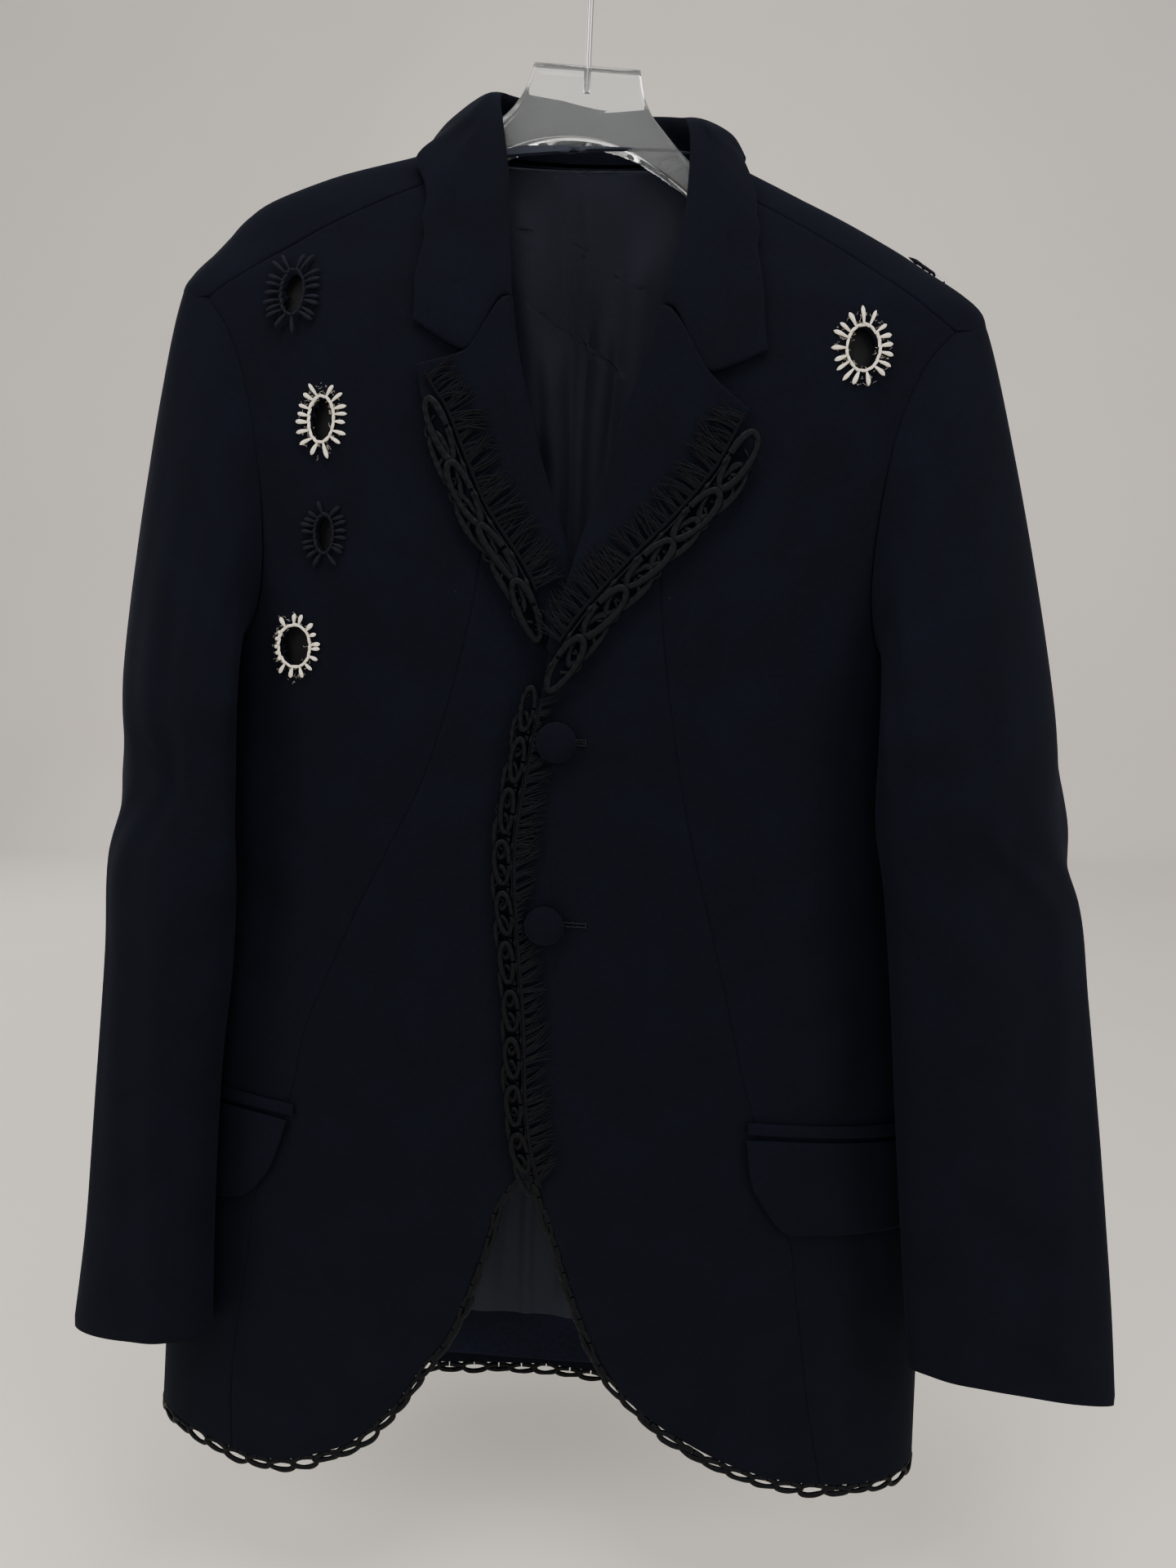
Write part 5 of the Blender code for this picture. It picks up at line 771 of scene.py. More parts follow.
at = np.linspace(0, len(COLLAR) - 1, NECK_STATIONS)
named = {name: COLLAR[:, i] for i, name in enumerate(COLLAR_COLUMNS)}
collar = {}
for part in ("foot", "middle", "edge"):
    place = from_front(coords(named[part + "_x"], named[part + "_z"]), named[part + "_back"] > 0)
    place[:, 0] += 4 * (place[:, 0] < 0)
    collar[part] = from_plane(round_line(to_plane(place), at))
collar["fold"] = round_line(coords(named["fold_x"], named["fold_y"], named["fold_z"]), at)
for part in ("middle_lift", "edge_lift"):
    collar[part] = np.interp(at, np.arange(len(COLLAR)), named[part])

to_left = np.arange(NECK_STATIONS)[:, None] <= NECK_MIDDLE
neck = {"right": collar["foot"], "left": collar["foot"] - (4, 0) * to_left}
arm = {"left": armhole_ring(-1), "right": armhole_ring(1)}
middle_seam = from_front([(0.0050, -0.20), (0.0040, -0.50), (0.0050, BACK_HEM)], True)
centre_back = even_line(np.vstack([collar["foot"][NECK_MIDDLE], middle_seam]), 0.060)
shoulder = {}
side_seam = {}
back_hem = {}
for side, sign in SIDES:
    start, end = neck[side][NECK_SHOULDER[side]], arm[side][ARM_AT_SHOULDER]
    first, last = on_body(start), on_body(end)
    t = np.linspace(0, 1, 8)[:, None]
    # the seam bows up 4 mm over the shoulder
    line = first + (last - first) * t + (0, 0, 0.004) * np.sin(math.pi * t)
    shoulder[side] = from_front(line[:, [0, 2]])
    shoulder[side][[0, -1]] = start, end
    turns = np.array([SIDE_SEAM_TURN, 1.2, 1.3, 1.45, 1.6, 1.75, 1.9])
    low = SIDE_HEM + (BACK_HEM - SIDE_HEM) * (turns - SIDE_SEAM_TURN) / (2 - SIDE_SEAM_TURN)
    own_centre = centre_back + np.array((0 if side == "right" else -4, 0))
    back_hem[side] = even_line(np.vstack([coords(turns * sign, low), own_centre[-1]]), HEM_PITCH)
    line = [(sign * SIDE_SEAM_TURN, height) for height in (-0.42, -0.60, SIDE_HEM)]
    side_seam[side] = even_line(np.vstack([arm[side][ARM_AT_SIDE], line]), 0.055)
    neck_part = neck[side][8:17][::-1] if side == "left" else neck[side][16:25]
    back_arm = np.vstack([arm[side][:ARM_AT_SHOULDER + 1][::-1], arm[side][ARM_AT_SIDE:][::-1]])
    outer = np.vstack([fine(shoulder[side], 4), fine(back_arm, 6)[1:], fine(side_seam[side], 4)[1:]])
    inner = fine(own_centre, 6)
    place = panel_grid(inner, outer, BACK_CELL, top=fine(neck_part, 4), low=fine(back_hem[side], 3)[::-1])
    middle_fade = np.clip(np.abs(np.abs(place[..., 0]) - 2) / 0.15, 0, 1)
    place, quads = eyelet_cut(place, side, True)
    points = laid(place, folds_at(place, BACK_DRAPE) * middle_fade)
    cloth_piece("back_" + side, points, body_normal(place), CLOTH, wool, quads=quads)

## Side fronts
# From the shoulder and armhole down to the hem, joined to the centre front by a
# curved princess seam, pressed open. The eyelets are cut in them and worked over.
PRINCESS = {
    "left": metres([
        (-44, -200), (-43.7, -283), (-50.1, -320), (-66.7, -387), (-84.9, -429), (-113.8, -490),
        (-144.5, -565), (-152, -604)]),
    "right": metres([
        (57.5, -200), (56.3, -286), (60.6, -323), (73, -392), (84.1, -438.5), (101.9, -501),
        (117.7, -560.5), (128.2, -596)]),
}
PRINCESS_LOW = {
    "left": metres([(-176, -672), (-183, -720), (-193, -800), (-198, -855.5)]),
    "right": metres([(155.2, -672), (163.8, -720), (179.1, -807), (185, -846.5)]),
}
FRONT_EDGE = {
    "left": metres([(23.8, -330), (25.5, -449), (18, -540), (6, -600), (-8, -635), (-21.5, -658)]),
    "right": metres([
        (-6, -352), (-11, -383), (-16.8, -420), (-18.3, -449), (-14.8, -492), (-9.9, -541), (-6.8, -592),
        (-1.2, -627), (3.5, -642)]),
}
CUTAWAY = {
    "left": metres([
        (-21.5, -658), (-29, -687), (-38.5, -719.5), (-50, -750), (-65.5, -773), (-79, -796), (-93, -814),
        (-111, -832.5), (-131, -843.5), (-156, -854), (-183.5, -857), (-208, -854.5)]),
    "right": metres([
        (3.5, -642), (8.2, -657), (16.5, -681), (25, -707), (36.5, -738), (52, -768), (80, -797.5),
        (111, -818.5), (151, -836.5), (188, -846), (212, -850)]),
}
FRONT_CELL = 0.0036
# Drape of the fronts: the columns of the folds, ridges above 0 and troughs below
FRONT_DRAPE = {
    "left": metres([
        (-160, -120, -172, -330, 20, -1.6), (-118, -130, -106, -330, 25, 1.8),
        (-88, -200, -76, -360, 16, -0.9), (-190, -400, -196, -600, 22, 1.8),
        (-156, -400, -176, -590, 20, -1.4), (-100, -560, -90, -790, 28, 2.2),
        (-142, -640, -140, -820, 19, -1.4), (-55, -420, -50, -640, 25, 1.3),
        (5, -380, -45, -440, 12, -0.7)]),
    "right": metres([
        (175, -140, 180, -330, 18, -1.8), (136, -140, 130, -370, 25, 2), (98, -200, 90, -400, 18, -1.1),
        (150, -390, 162, -590, 24, 1.9), (195, -400, 199, -590, 20, -1.3), (88, -600, 76, -790, 26, 2.4),
        (118, -620, 106, -810, 18, -1.7), (50, -500, 42, -690, 20, 1.2), (36, -385, 80, -420, 11, -0.8),
        (34, -490, 78, -540, 12, -0.7), (176, -690, 190, -830, 18, 1.5)]),
}

hem = {}
meets = {}
princess = {}
for side, sign in SIDES:
    level = [(sign * turn, SIDE_HEM) for turn in (0.88, 0.95, 1.03, SIDE_SEAM_TURN)]
    hem[side] = even_line(np.vstack([from_front(CUTAWAY[side]), level]), HEM_PITCH)
    low = from_front(PRINCESS_LOW[side])
    # the row of the hem's line that the princess seam runs to
    meets[side] = int(np.argmin(np.abs(hem[side][:, 0] - low[-1, 0])))
    top = neck[side][NECK_PRINCESS[side]]
    princess[side] = np.vstack([even_line(np.vstack([top, from_front(PRINCESS[side])]), 0.045),
                                even_line(np.vstack([low[:-1], hem[side][meets[side]]]), 0.045)])
    neck_part = neck[side][24:29] if side == "right" else neck[side][4:9][::-1]
    inner = np.vstack([fine(neck_part, 3), fine(princess[side], 5)[1:]])
    front_arm = arm[side][ARM_AT_SHOULDER:ARM_AT_SIDE + 1]
    outer = np.vstack([fine(shoulder[side], 4), fine(front_arm, 6)[1:], fine(side_seam[side], 4)[1:]])
    place = panel_grid(inner, outer, FRONT_CELL, low=fine(hem[side][meets[side]:], 3))
    place, quads = eyelet_cut(place, side, False)
    points = laid(place, folds_at(place, FRONT_DRAPE[side]), side == "right")
    cloth_piece("side_front_" + side, points, body_normal(place), CLOTH, wool, quads=quads)

## Centre fronts
# From the neck under the lapel down the front edge, cut away in a curve below the
# buttons to the hem. The right one laps over the left one and carries the buttonholes.
ROLL_RADIUS = (0.0026, 0.0015)
LAPEL_STEPS = 15
# Lapels, from the gorge seam down: x and height of the roll line, the middle and the outer edge
LAPEL = {
    "left": metres([
        (-31.8, -136, -56.3, -166.8, -83.5, -174), (-28.5, -158, -53, -182, -79, -192),
        (-21.5, -188, -46, -203, -70.5, -215), (-11.5, -223, -35, -232, -57, -240),
        (0.5, -257, -18.5, -262.5, -37.5, -268), (9.5, -282.5, -4, -288, -18, -294),
        (16.5, -305, 6.5, -309, -6, -318)]),
    "right": metres([
        (49, -138, 76.8, -173.8, 99, -191.5), (42.5, -161, 69, -186, 95.5, -206),
        (33.5, -190, 59, -208, 83.5, -229), (23.2, -229, 44.5, -241, 65.5, -252),
        (12.6, -264.5, 27, -272, 40, -280), (3, -299, 10.5, -303, 17.5, -306),
        (-4, -325, -0.5, -328, 3.5, -330)]),
}


def lapel_rows(side):
    """A lapel's lines as (x, height) rows, and the cut edge of the front beside its roll."""
    rows = round_line(LAPEL[side], np.linspace(0, len(LAPEL[side]) - 1, LAPEL_STEPS))
    roll, middle, edge = rows[:, 0:2], rows[:, 2:4], rows[:, 4:6]
    along = unit(np.gradient(roll, axis=0))
    square = coords(-along[:, 1], along[:, 0]) * (-1 if side == "left" else 1)
    radius = np.linspace(*ROLL_RADIUS, LAPEL_STEPS)[:, None]
    return {"roll": roll, "middle": middle, "edge": edge, "square": square, "radius": radius,
            "panel_edge": from_front(roll + square * (radius + EDGE_GAP))}


front_edge = {}
for side in ("left", "right"):
    front_edge[side] = even_line(from_front(FRONT_EDGE[side]), 0.0200)
    neck_part = neck[side][:5][::-1] if side == "left" else neck[side][28:]
    roll = lapel_rows(side)["panel_edge"]
    outer = np.vstack([fine(neck_part, 3), fine(roll, 2)[1:], fine(front_edge[side], 4),
                       fine(hem[side][:meets[side] + 1], 3)[1:]])
    inner = fine(princess[side], 5)
    place = panel_grid(inner, outer, FRONT_CELL)
    points = laid(place, folds_at(place, FRONT_DRAPE[side]), side == "right")
    cloth_piece("centre_front_" + side, points, body_normal(place), CLOTH, wool)

## Pockets
# Slanted flap pockets on the lower fronts: a narrow welt sewn into the cut, and
# below it a lined flap with round corners, whose top edge is sewn in under the welt.
WELT = {
    "left": metres([(-149, -608.5), (-194, -607), (-229, -609)]),
    "right": metres([(125, -598), (170, -601.5), (229, -606.5)]),
}
FLAP = {
    "left": metres([
        (-153, -619.5), (-158, -635.5), (-166, -655), (-180, -672.5), (-193, -678.5), (-210, -680),
        (-228, -680)]),
    "right": metres([
        (124.5, -609), (129, -635.5), (138.6, -653), (152.2, -669.5), (171, -672), (200, -673.5),
        (228, -674.5)]),
}
WELT_HEIGHT = 0.0075
FLAP_GAP = 0.0030
WELT_FACE = 0.0027
FLAP_FACE = 0.0037
FLAP_CORNER = 0.012
POCKET_CELL = 0.0030

for side in ("left", "right"):
    top = fine(WELT[side], 12)
    place = panel_grid(from_front(top), from_front(top - (0, WELT_HEIGHT)), POCKET_CELL, columns=6)
    rise = 0.0006 * np.sin(np.linspace(0, math.pi, place.shape[1]))
    points = laid(place, WELT_FACE + rise)
    cloth_piece("pocket_welt_" + side, points, body_normal(place), CLOTH, wool)
    front = fine(FLAP[side], 10)
    upper = round_line(WELT[side], np.linspace(0.25, 2, 12)) - (0, WELT_HEIGHT + FLAP_GAP)
    upper = upper[np.abs(upper[:, 0]) > abs(front[0, 0]) + FLAP_CORNER]
    upper = fine(np.vstack([front[:1], upper]), 4)
    place = panel_grid(from_front(upper), from_front(front), POCKET_CELL)
    down = np.linspace(0, 1, place.shape[1])
    along = np.linspace(0, 1, place.shape[0])[:, None]
    # the flap starts flat under its welt, bellies out, and its lower edge leaves the front a little
    leaves = 0.0012 * down ** 2 * (0.6 + 0.4 * np.sin(along * 7 + 1))
    rise = 0.0008 * np.sin(down * math.pi) + leaves - 0.0006
    points = laid(place, FLAP_FACE + rise)
    cloth_piece("pocket_flap_" + side, points, body_normal(place), CLOTH, wool)

## Sleeves
# A wide two-piece sleeve on each side, set into the armhole over a soft pad and cut
# with a straight fall. The body's flat side tucks between its front and its back.
WRAP_HEIGHTS = (-0.372, -0.414)
WRAP_COLUMNS = ("share", "turn", "left_lift", "right_lift", "low_turn", "low_left_lift", "low_right_lift")
WRAP = metres([
    (0, 0.985, 37, 61, 0.955, 40.5, 70), (0.18, 0.813, 44, 56, 0.8, 42, 62),
    (0.3, 0.681, 42, 44, 0.7, 38, 44), (0.36, 0.644, 28, 30, 0.66, 24, 26),
    (0.42, 0.784, 10, 10, 0.76, 15, 13), (0.5, 0.965, 16, 16, 0.88, 22.5, 18),
    (0.58, 1.08, 12, 12, 0.97, 14, 14), (0.64, 1.18, 13, 15, 1.04, 16, 18),
    (0.72, 1.14, 24, 31, 1.04, 26, 38), (0.85, 1.068, 33, 52, 1, 38, 62)], plain=(0, 1, 4))
# a station's share of the way round the sleeve, and its angle on the sleeve's section
RING_ANGLE = np.array([(0, 0), (0.18, 75), (0.36, 180), (0.50, 240), (0.64, 300), (0.82, 335), (1, 360)])
SLEEVE_COLUMNS = ("height", "x", "y", "half_width", "outer", "inner", "turned", "front_up", "out_down")
SLEEVE = {
    "left": metres([
        (-460, -222.2, -44, 52.5, 30, 11, 33, 0, 0), (-520, -227.1, -40, 47.6, 31, 18, 28, 0, 0),
        (-610, -235.2, -43, 42.7, 29, 22, 21, 1, 1), (-700, -241.4, -45, 43.8, 27, 24, 14, 3, 2),
        (-766, -246.5, -46, 46.8, 26, 26, 10, 6, 3.5)], plain=(6,)),
    "right": metres([
        (-460, 250.7, -43, 65.5, 32, 13, 26, 0, 0), (-520, 260.5, -46, 63.8, 30, 15, 20, 0, 0),
        (-610, 273.8, -50, 63.4, 26, 18, 12, 1, 2), (-685, 284.3, -54, 62.7, 23, 20, 5, 3, 4),
        (-752, 292.9, -56, 62.4, 20, 20, 1, 6, 7)], plain=(6,)),
}
LEAVE_COLUMNS = ("share", "along", "out", "fall")
LEAVE = metres([
    (0, 60, 14, 140), (0.18, 50, 30, 100), (0.3, 20, 45, 80), (0.36, 6, 34, 60), (0.42, 8, 18, 35),
    (0.5, 12, 12, 30), (0.58, 10, 16, 35), (0.66, 14, 30, 70), (0.8, 40, 26, 110)], plain=(0,))
HEAD_SHARES = (0.0, 0.10, 0.24, 0.42, 0.62, 0.82, 1.0)
SLEEVE_ROWS = 6
SLEEVE_FINE = 128
STATION_STEPS = 5
SLEEVE_GAP = -0.0002
# the sleeve's head runs in under the edge of the armhole
HEAD_UNDER = 0.0010
TOP_FROM = -8
TOP_TO = 11
# Drape of the sleeves: row and station where a fold starts and ends, half its width in stations, depth
SLEEVE_DRAPE = {
    "left": metres([
        (1, 1.5, 12.5, 2.5, 1.1, 1.3), (2, 4.6, 13, 5.2, 0.9, -1.6), (8, 6.4, 14, 6, 0.9, 1.2),
        (2, 7.6, 7.5, 6.6, 1, -2), (1.5, -3, 12, -2.2, 1.4, 1.8), (5, -5.2, 13.5, -4.2, 1.1, -1.8),
        (7, 14.5, 13, 13.6, 1.2, 1.4), (6.2, 2.5, 7.6, 6.8, 0.5, -1.1), (9.4, 8.2, 10.6, 4.4, 0.45, -1)],
        plain=(0, 1, 2, 3, 4)),
    "right": metres([
        (1, 1.2, 12.5, 1.8, 1.2, 1.5), (2, 4.2, 13.5, 4.8, 1, -1.8), (7, 6.2, 14, 6.6, 0.9, 1.3),
        (2, 7.8, 7.2, 7, 0.9, -2.2), (1.5, -3.4, 12, -2.6, 1.3, 1.9), (4, -5.6, 13.5, -4.6, 1.1, -1.7),
        (7, 14.2, 13, 13.2, 1.2, 1.4), (6.8, 2.2, 8.4, 6.4, 0.5, -1.1), (10.2, 7.8, 11.6, 3.6, 0.5, -1.1)],
        plain=(0, 1, 2, 3, 4)),
}


def ring_point(size, sign, angle):
    """A point of a sleeve's section at an angle from its outer edge: an oval turned about its middle."""
    along = np.array([math.cos(size["turned"]), math.sin(size["turned"])])
    front = np.array([along[1], -along[0]])
    half = np.where(np.sin(angle) > 0, size["outer"], size["inner"])
    flat = (np.cos(angle) * size["half_width"])[:, None] * along + (np.sin(angle) * half)[:, None] * front
    height = size["height"] + np.sin(angle) * size["front_up"] - np.cos(angle) * size["out_down"]
    return coords(size["x"] + sign * flat[:, 0], size["y"] + flat[:, 1], height)


def by_share(table, columns):
    """A closed table's columns read at the sleeve's stations, by name."""
    share = np.arange(ARM_STATIONS) / ARM_STATIONS
    return {name: np.interp(share, np.append(table[:, 0], 1.0), np.append(table[:, i], table[0, i]))
            for i, name in enumerate(columns) if i}


for side, sign in SIDES:
    ring = arm[side]
    share = np.arange(ARM_STATIONS) / ARM_STATIONS
    point = on_body(ring)
    normal = body_normal(ring)
    along = unit(np.roll(point, -1, axis=0) - np.roll(point, 1, axis=0))
    into = unit(np.cross(normal, along)) * sign
    start = point - (into + normal) * HEAD_UNDER
    # two rings that lead from the armhole's foot to where the sleeve hangs free of the body
    wrap = by_share(WRAP, WRAP_COLUMNS)
    wraps = []
    for prefix, height in zip(("", "low_"), WRAP_HEIGHTS):
        wraps.append(laid(coords(sign * wrap[prefix + "turn"], height), wrap[prefix + side + "_lift"]))
        wraps[-1][:, 2] = height
    # the free sleeve's own rings, down to the cuff
    table = SLEEVE[side]
    angles = np.radians(np.interp(share, *RING_ANGLE.T))
    rings = []
    for height in np.linspace(table[0, 0], table[-1, 0], SLEEVE_ROWS):
        size = {name: smooth(-table[:, 0], table[:, i], -height) for i, name in enumerate(SLEEVE_COLUMNS)}
        size["turned"] = math.radians(size["turned"])
        rings.append(ring_point(size, sign, angles))
    # the head: a cubic from the armhole's rim to the first ring, with the way it leaves and arrives
    leave = by_share(LEAVE, LEAVE_COLUMNS)
    first = into * leave["along"][:, None] + normal * leave["out"][:, None]
    last = unit(wraps[1] - wraps[0]) * leave["fall"][:, None]
    rows = [start * (2 * t ** 3 - 3 * t ** 2 + 1) + first * (t ** 3 - 2 * t ** 2 + t)
            + wraps[0] * (3 * t ** 2 - 2 * t ** 3) + last * (t ** 3 - t ** 2) for t in HEAD_SHARES]
    coarse = np.stack(rows + wraps[1:] + rings)
    down = np.linspace(0, len(coarse) - 1, SLEEVE_FINE)
    tall = round_line(coarse, down)
    for name, begin, end in (("top_sleeve_", TOP_FROM, TOP_TO),
                             ("under_sleeve_", TOP_TO, TOP_FROM + ARM_STATIONS)):
        stations = np.arange(begin - 2, end + 3)
        strip = tall[:, stations % ARM_STATIONS].transpose(1, 0, 2)
        steps = np.arange((end - begin) * STATION_STEPS + 1) / STATION_STEPS + 2
        dense = round_line(strip, steps).transpose(1, 0, 2)
        station = steps - 2 + begin
        normals = grid_normals(dense)
        for _ in range(6):
            normals[1:-1] = unit(normals[:-2] + 2 * normals[1:-1] + normals[2:])
        normals = facing(normals, dense - tall.mean(axis=1, keepdims=True))
        # each fold of the drape runs straight from one row and station to another
        rise = np.zeros(dense.shape[:2])
        for row_a, place_a, row_b, place_b, half, depth in SLEEVE_DRAPE[side]:
            part = (down - row_a) / (row_b - row_a)
            middle = place_a + (place_b - place_a) * part
            off = (station - middle[:, None] + ARM_STATIONS / 2) % ARM_STATIONS - ARM_STATIONS / 2
            near = np.clip(1 - np.abs(off) / half, 0, 1)
            fade = np.clip(part / 0.25 + 0.1, 0, 1) * np.clip((1 - part) / 0.2 + 0.1, 0, 1)
            rise += depth * np.sin(near * math.pi / 2) ** 2 * fade[:, None]
        dense = dense + normals * rise[..., None]
        dense[:, 0] += unit(dense[:, 1] - dense[:, 0]) * SLEEVE_GAP / 2
        dense[:, -1] += unit(dense[:, -2] - dense[:, -1]) * SLEEVE_GAP / 2
        cloth_piece(name + side, dense, normals, CLOTH, wool)

## Collar
# A notched collar cut in one with its stand: the stand rises from the neck seam, and
# the fall turns over at the fold and lies round the neck and over the shoulders.
COLLAR_FOLD = 0.0024
COLLAR_GAP = 0.0022
COLLAR_REACH = np.array([0.5, 0.8, 1.0, 0.8, 0.1])


def finer_grid(grid, times, across):
    """A grid read finer: round lines through its rows, and smooth ones across by their mean lengths."""
    rows = fine(grid, times)
    places = lengths_along(rows, 1).mean(axis=0)
    at = np.concatenate([np.linspace(places[i], places[i + 1], count, endpoint=False)
                         for i, count in enumerate(across)] + [places[-1:]])
    close = places[-1] - EDGE_ROWS[1:]
    at = np.unique(np.concatenate([at, close[close > places[-2]]]))
    return smooth(places, rows.transpose(1, 0, 2), at).transpose(1, 0, 2), at


fold = collar["fold"]
foot = laid(moved_aside(collar["foot"], -COLLAR_GAP), -CLOTH)
middle = laid(collar["middle"], collar["middle_lift"])
edge = laid(collar["edge"], collar["edge_lift"])
along = unit(np.gradient(fold, axis=0))
ways = []
for end in (middle, foot):
    way = end - fold
    ways.append(unit(way - along * np.sum(way * along, axis=1, keepdims=True)))
into, across = unit(ways[0] + ways[1]), unit(ways[0] - ways[1])
centre = fold + into * COLLAR_FOLD
half = across * COLLAR_FOLD
grid = np.stack([foot, centre - half, fold, centre + half, middle, edge], axis=1)
# the ends run on down the roll until they meet the lapels' tops, which the gorge seam joins them to
grid[[0, -1], :5] += np.array([0.0004, 0.0000, -0.0052]) * COLLAR_REACH[:, None]
points, at = finer_grid(grid, 6, (5, 3, 3, 8, 12))
normals = facing(grid_normals(points), body_normal(fine(collar["edge"], 6))[:, None], 8)
# the fall is a little full: two low waves along it, and a thinner pressed edge
length = np.linspace(0, 1, points.shape[0])[:, None]
out = np.clip((at - at[-1] * 0.55) / (at[-1] * 0.45), 0, 1)[None]
full = 0.0007 * np.sin(length * 34) * np.sin(out * math.pi) + 0.0009 * np.sin(out * math.pi)
points = points + normals * full[..., None]
cloth_piece("collar", points, normals, CLOTH, wool)

## Lapels
# Each front turned back along its roll line, faced with the same cloth: a soft roll,
# a flat notch, and an edge that the trim is sewn along.
ROLL_ANGLES = (-80, -53, -27, 0, 27, 53, 80)
LAPEL_LIFT = (0.0042, 0.0034)
LAPEL_WALL = 0.0016

for side in ("left", "right"):
    rows = lapel_rows(side)
    lift = np.linspace(*LAPEL_LIFT, LAPEL_STEPS)
    columns = []
    for angle in np.radians(ROLL_ANGLES):
        out = rows["radius"] - math.cos(angle) * rows["radius"]
        height = (lift - LAPEL_WALL) / 2 + math.sin(angle) * (lift + LAPEL_WALL) / 2
        columns.append(laid(from_front(rows["roll"] + rows["square"] * out), height, side == "right"))
    for part in ("middle", "edge"):
        columns.append(laid(from_front(rows[part]), lift, side == "right"))
    grid = np.stack(columns, axis=1)
    points, at = finer_grid(grid, 8, (2, 2, 2, 2, 2, 2, 8, 12))
    share = np.linspace(0, 1, points.shape[0])[:, None]
    outward = body_normal(from_front(fine(rows["edge"], 8)))
    normals = facing(grid_normals(points), outward[:, None], 6)
    # the roll is soft: the lapel swells off the front beside it and settles towards its edge
    out = np.clip((at - 0.006) / (at[-1] - 0.006), 0, 1)[None]
    swell = (0.0022 - 0.0012 * share) * np.sin(out ** 0.7 * math.pi) * (1 - share) ** 0.3
    ripple = 0.0004 * np.sin(share * 21 + out * 3) * out
    points = points + normals * (swell + ripple * (1 - share))[..., None]
    cloth_piece("lapel_" + side, points, normals, LAPEL_WALL, wool)

## Looped cord trim
# Loops of satin cord, each laid over the next like scales, caught down at knots along
# a thinner cord on the lapels' and fronts' edges, with a second row of arcs behind
# them. The hem has a single row. It is common passementerie, sewn on by hand.

# pitch is that of the line's rows; step is from one loop to the next, half is a loop's half length
LAPEL_TRIM = {"pitch": 0.0200, "step": 0.0182, "half": 0.0166, "across": 0.0056, "centre": 0.0068,
              "cord": 0.0021, "flat": 0.52, "arc": 0.0013, "width": 0.0160, "under": 0.0022, "uneven": 0.08}
NARROW_TRIM = {**LAPEL_TRIM, "across": 0.0043, "centre": 0.0060, "under": 0.0034, "uneven": 0.16}
FRONT_TRIM = {"pitch": 0.0200, "step": 0.0147, "half": 0.0125, "across": 0.0040, "centre": 0.0058,
              "cord": 0.0017, "flat": 0.60, "arc": 0.0010, "width": 0.0125, "under": 0.0016, "uneven": 0.16}
HEM_TRIM = {"pitch": HEM_PITCH, "step": 0.0166, "half": 0.0086, "across": 0.0028, "centre": 0.0038,
            "cord": 0.0017, "flat": 0.80, "arc": 0.0, "width": 0.0092, "under": 0.0, "uneven": 0.42}
TRIM_WALL = 0.0024
# how far a trim's top stands off the cloth, where it lies flat on it
FLAT_TOP = 0.0002
TRIM_LINE = {
    "left": metres([(-65.5, -199), (-49.7, -235), (-40.5, -252.7), (-19.5, -281.7), (-6, -310)]),
    "right": metres([
        (92.5, -208.5), (82.5, -227.5), (64.5, -250.5), (39, -278.5), (17, -304.5), (5, -323), (-3, -337)]),
}


def beside(line, at, out, lift, lapped, sign):
    """Points beside a (turn, height) line: at row numbers along it, out from it on the body, and lifted."""
    at, out, lift = np.broadcast_arrays(at, out, lift)
    shape, flat = at.shape, at.ravel()
    base = round_line(line, flat)
    over = flat - np.clip(flat, 0, len(line) - 1)
    behind = np.clip(flat, 0, len(line) - 1.05)
    ways = unit(on_body(round_line(line, behind + 0.05)) - on_body(round_line(line, behind)))
    step = np.linalg.norm(on_body(line[1]) - on_body(line[0]))
    aside = unit(np.cross(body_normal(base), ways))
    target = on_body(base) + ways * over[:, None] * step
    place = settled(base, target + aside * sign * np.ravel(out)[:, None])
    points, normals = laid(place, np.ravel(lift), lapped), body_normal(place)
    return points.reshape(shape + (3,)), normals.reshape(shape + (3,))


